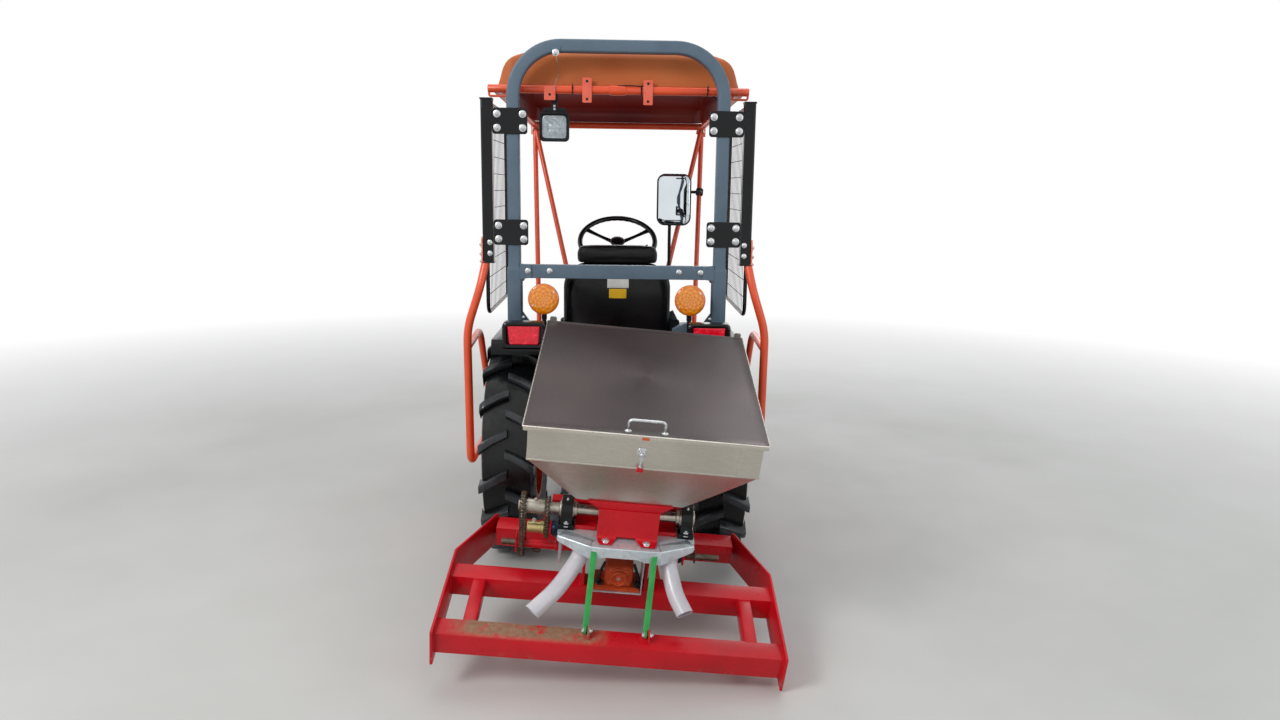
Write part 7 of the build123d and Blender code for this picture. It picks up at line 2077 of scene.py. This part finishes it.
for y, scale in ((-30, 0.98), (-3, 0.98), (-1.2, 1.0), (-0.2, 0.97), (-1.0, 0.9), (-5, 0.88), (-28, 0.9)):
    ring = rectRing(lampHalf * scale, lampHigh * scale, 8, 4, 6)
    bezelStack.append(np.column_stack((lampX + ring[:, 0], np.full(len(ring), noseY + y), lampZ0 + ring[:, 1])))
bulbs.append(latheParts(((0, 0), (0, 5), (8, 5), (9, 3), (18, 2.6), (20, 1.6), (21, 0)), (lampX, noseY - 28, lampZ0), (0, 1, 0), 16))
bowlClosed = ringStack(np.concatenate((np.array(bowlStack), np.array(bowlStack)[::-1] - (0, 0.8, 0))), closed=True)
pieceOf("headlamp_bezels", inFrame(mirrored([ringStack(bezelStack, closed=True)])), "glossBlack", sharp=35, body="hood", stands=["headlamps"])
pieceOf("headlamp_bowls", inFrame(mirrored([bowlClosed])), "reflector", sharp=60, body="hood")
pieceOf("headlamp_bulbs", inFrame(mirrored(bulbs)), "clearLens", sharp=50, body="hood")
pieceOf("headlamp_glass", inFrame(mirrored([ringStack(lensStack, capStart=True)])), "clearLens", sharp=60, body="hood")

# grille: a fine mesh behind the slats
meshWires = []
for x in np.arange(-84, 85, 12.0):
    meshWires.append(sweepParts(((x, noseY - 20, 684), (x, noseY - 20, 765), (x, noseY - 20, 846)), circle(1.1, 6)))
pieceOf("grille_mesh", inFrame(meshWires), "steel", sharp=60, body="hood")

# dash: sloping dials, column boot and side stalk
panelDir = np.array((0, -0.651, 0.759))
panelMid = np.array((0, axleMm + 860, 1100.0))
bezels, faces2, glassRound, needles = [], [], [], []
for x, radius in ((0, 44), (-88, 24), (88, 24), (-132, 12), (132, 12)):
    spot = panelMid + (x, 0, 0)
    bezels.append(latheParts(((-2, 0), (-2, radius), (3, radius), (4.5, radius - 1.5), (4.5, radius - 3), (1.5, radius - 4), (1.5, 0)), spot, panelDir, 40))
    faces2.append(latheParts(((1.5, 0), (1.5, radius - 4.2), (1.9, radius - 4.2), (1.9, 0)), spot, panelDir, 40))
    glassRound.append(latheParts(((3.0, 0), (3.0, radius - 3.4), (3.6, radius - 3.6), (4.2, radius * 0.5), (4.4, 0)), spot, panelDir, 40))
    if radius > 20:
        side3 = np.cross(panelDir, (1, 0, 0))
        tip = spot + panelDir * 2.3 + (np.array((-1, 0, 0)) * 0.6 - side3 * 0.7) * radius * 0.7
        needles.append(sweepParts((spot + panelDir * 2.3, (spot + panelDir * 2.3 + tip) / 2, tip), circle(0.9, 6)))
chassisPiece("dial_bezels", bezels, "blackPlastic", sharp=35)
chassisPiece("dial_faces", faces2, "dialFace", sharp=35)
# the needles take the amber lens finish, so they glow faintly though they are no lamp, and carry its painted highlights
# and shade
chassisPiece("dial_needles", needles, "amberLens", sharp=50)
chassisPiece("dial_glass", glassRound, "clearLens", sharp=50)
bootAxis = np.array((0, -sin(wheelTilt), cos(wheelTilt)))
pleats = [(-250 + 14 * k + 7 * j, 40 - 1.2 * k - (5 if j else 0)) for k in range(8) for j in (0, 1)]
columnParts = [latheParts([(-255, 24.2), *pleats, (-136, 24.4), (-60, 24.4), (-58, 27), (-36, 27), (-34, 24.2)], wheelCentre, bootAxis, 32)]
stalkEnd = wheelCentre + bootAxis * -52 + (118, 0, 0)
columnParts.append(sweepParts(smoothPath((wheelCentre + bootAxis * -52 + (20, 0, 0), stalkEnd, stalkEnd + (34, 12, 22)), 14, 5), circle(4.5, 10), caps=True))
chassisPiece("column_boot", columnParts, "blackPlastic", sharp=40)

# levers: bright rods in pleated boots, with turned knobs; pedals with ribbed pads
rods, knobs, boots, pads = [], [], [], []
for x, y, z, dx, dy, dz in ((-271.7, 37.5, 640, 20, 30, 300), (271.7, 37.5, 650, -20, 50, 290), (271.7, -22.5, 660, -20, 10, 300)):
    foot, run = np.array((x, y, z)), np.array((dx, dy, dz), float)
    way = run / np.linalg.norm(run)
    rods.append(sweepParts(smoothPath((foot, foot + run * 0.5, foot + run * 0.97), 30, 4), circle(6, 14)))
    knobs.append(latheParts(((-20, 6.5), (-19, 9), (-12, 13), (-3, 16.6), (3, 17), (10, 14.5), (14.5, 9), (16.5, 3), (16.8, 0)), foot + run, way, 28))
    steps = [(8 * k + 4 * j, 20 - 1.9 * k - (3 if j else 0)) for k in range(7) for j in (0, 1)]
    boots.append(latheParts([(-2, 0), (-2, 20), *steps, (58, 6.2)], foot, way, 24))
    boots.append(boxParts(foot + (-12, -20, -28), foot + (12, 20, 8)))
for x in (-210, 200, 290):
    rods.append(boxParts((x - 8, 520.5, 440.5), (x + 8, 564.5, 490)))
    rods.append(boxParts((x - 28, 515, 459), (x + 28, 523, 541)))
    for k in range(9):
        pads.append(boxParts((x - 29, 511.6, 460 + 9 * k), (x + 29, 515, 465 + 9 * k)))
    pads.append(boxParts((x - 30, 513.5, 456), (x + 30, 516.5, 544)))
chassisPiece("lever_rods", rods, "steel", sharp=40, stands=["control_levers"])
chassisPiece("lever_knobs", knobs, "glossBlack", sharp=50)
chassisPiece("lever_boots", boots, "vinyl", sharp=45)
chassisPiece("pedal_pads", pads, "rubberMat", sharp=35)

# ribbed mats on the footplate, and bolts along the frame and under the floor's edge
mats = []
for sign in (-1, 1):
    low, high = sorted((sign * 200, sign * 400))
    mats.append(boxParts((low, 160, 439.8), (high, 470, 443)))
    for k in range(19):
        mats.append(boxParts((low + 8, 172 + 16 * k, 442.5), (high - 8, 178 + 16 * k, 445.5)))
chassisPiece("floor_mats", mats, "rubberMat", sharp=35)
frameBolts = []
for sign in (-1, 1):
    for y in (700, 780, 1130, 1260, 1420, 1500):
        frameBolts += hexNut((sign * 118.2, y, 470), (sign, 0, 0), 9, 7, 0)
    for y in (180, 300, 420, 580):
        frameBolts += hexNut((sign * 412, y, 440.2), (0, 0, 1), 6, 4.5, 0)
    for x, z in ((90, 560), (90, 420)):
        frameBolts += hexNut((sign * x, axleMm + 1965.2, z), (0, 1, 0), 8, 6, 0)
chassisPiece("body_bolts", frameBolts, "boltSteel", sharp=30, slot="steel")

# small brown flanges on the fenders beside the hoop's feet
flanges = [boxParts((262, hoopY - 66, 962.3), (352, hoopY + 6, 966)), boxParts((276, hoopY - 58, 965), (338, hoopY - 2, 968))]
chassisPiece("fender_flanges", mirrored(flanges), "brownPaint", bevel=0.0012)

# post from the mirror's foot down to the dash
mirrorPost = smoothPath(((270, mirrorY - 16, 1378), (270, mirrorY - 10, 1330), (272, mirrorY - 4, 1120), (262, mirrorY - 4, 1066), (188, mirrorY - 4, 1052)), 34, 7)
postParts = [sweepParts(mirrorPost, circle(8.5, 14)), boxParts((188, mirrorY - 30, 1028), (194.5, mirrorY + 22, 1078))]
chassisPiece("mirror_post", postParts, "blackPlastic", sharp=40)

# a bright hem round the lid's rim
hemRing = rectRing(lid["width"] / 2 + 0.2, lid["length"] / 2 + 0.2, 3, 14, 4)
hemPath = np.column_stack((hemRing + (lid["x"], lid["rear"] + lid["length"] / 2), np.full(len(hemRing), lid["top"] - 3.6)))
pieceOf("lid_hem", inTool([sweepParts(hemPath, circle(2.3, 8), closed=True)]), "hemSteel", sharp=70, body="lid")
print("front, controls and trim dressed")
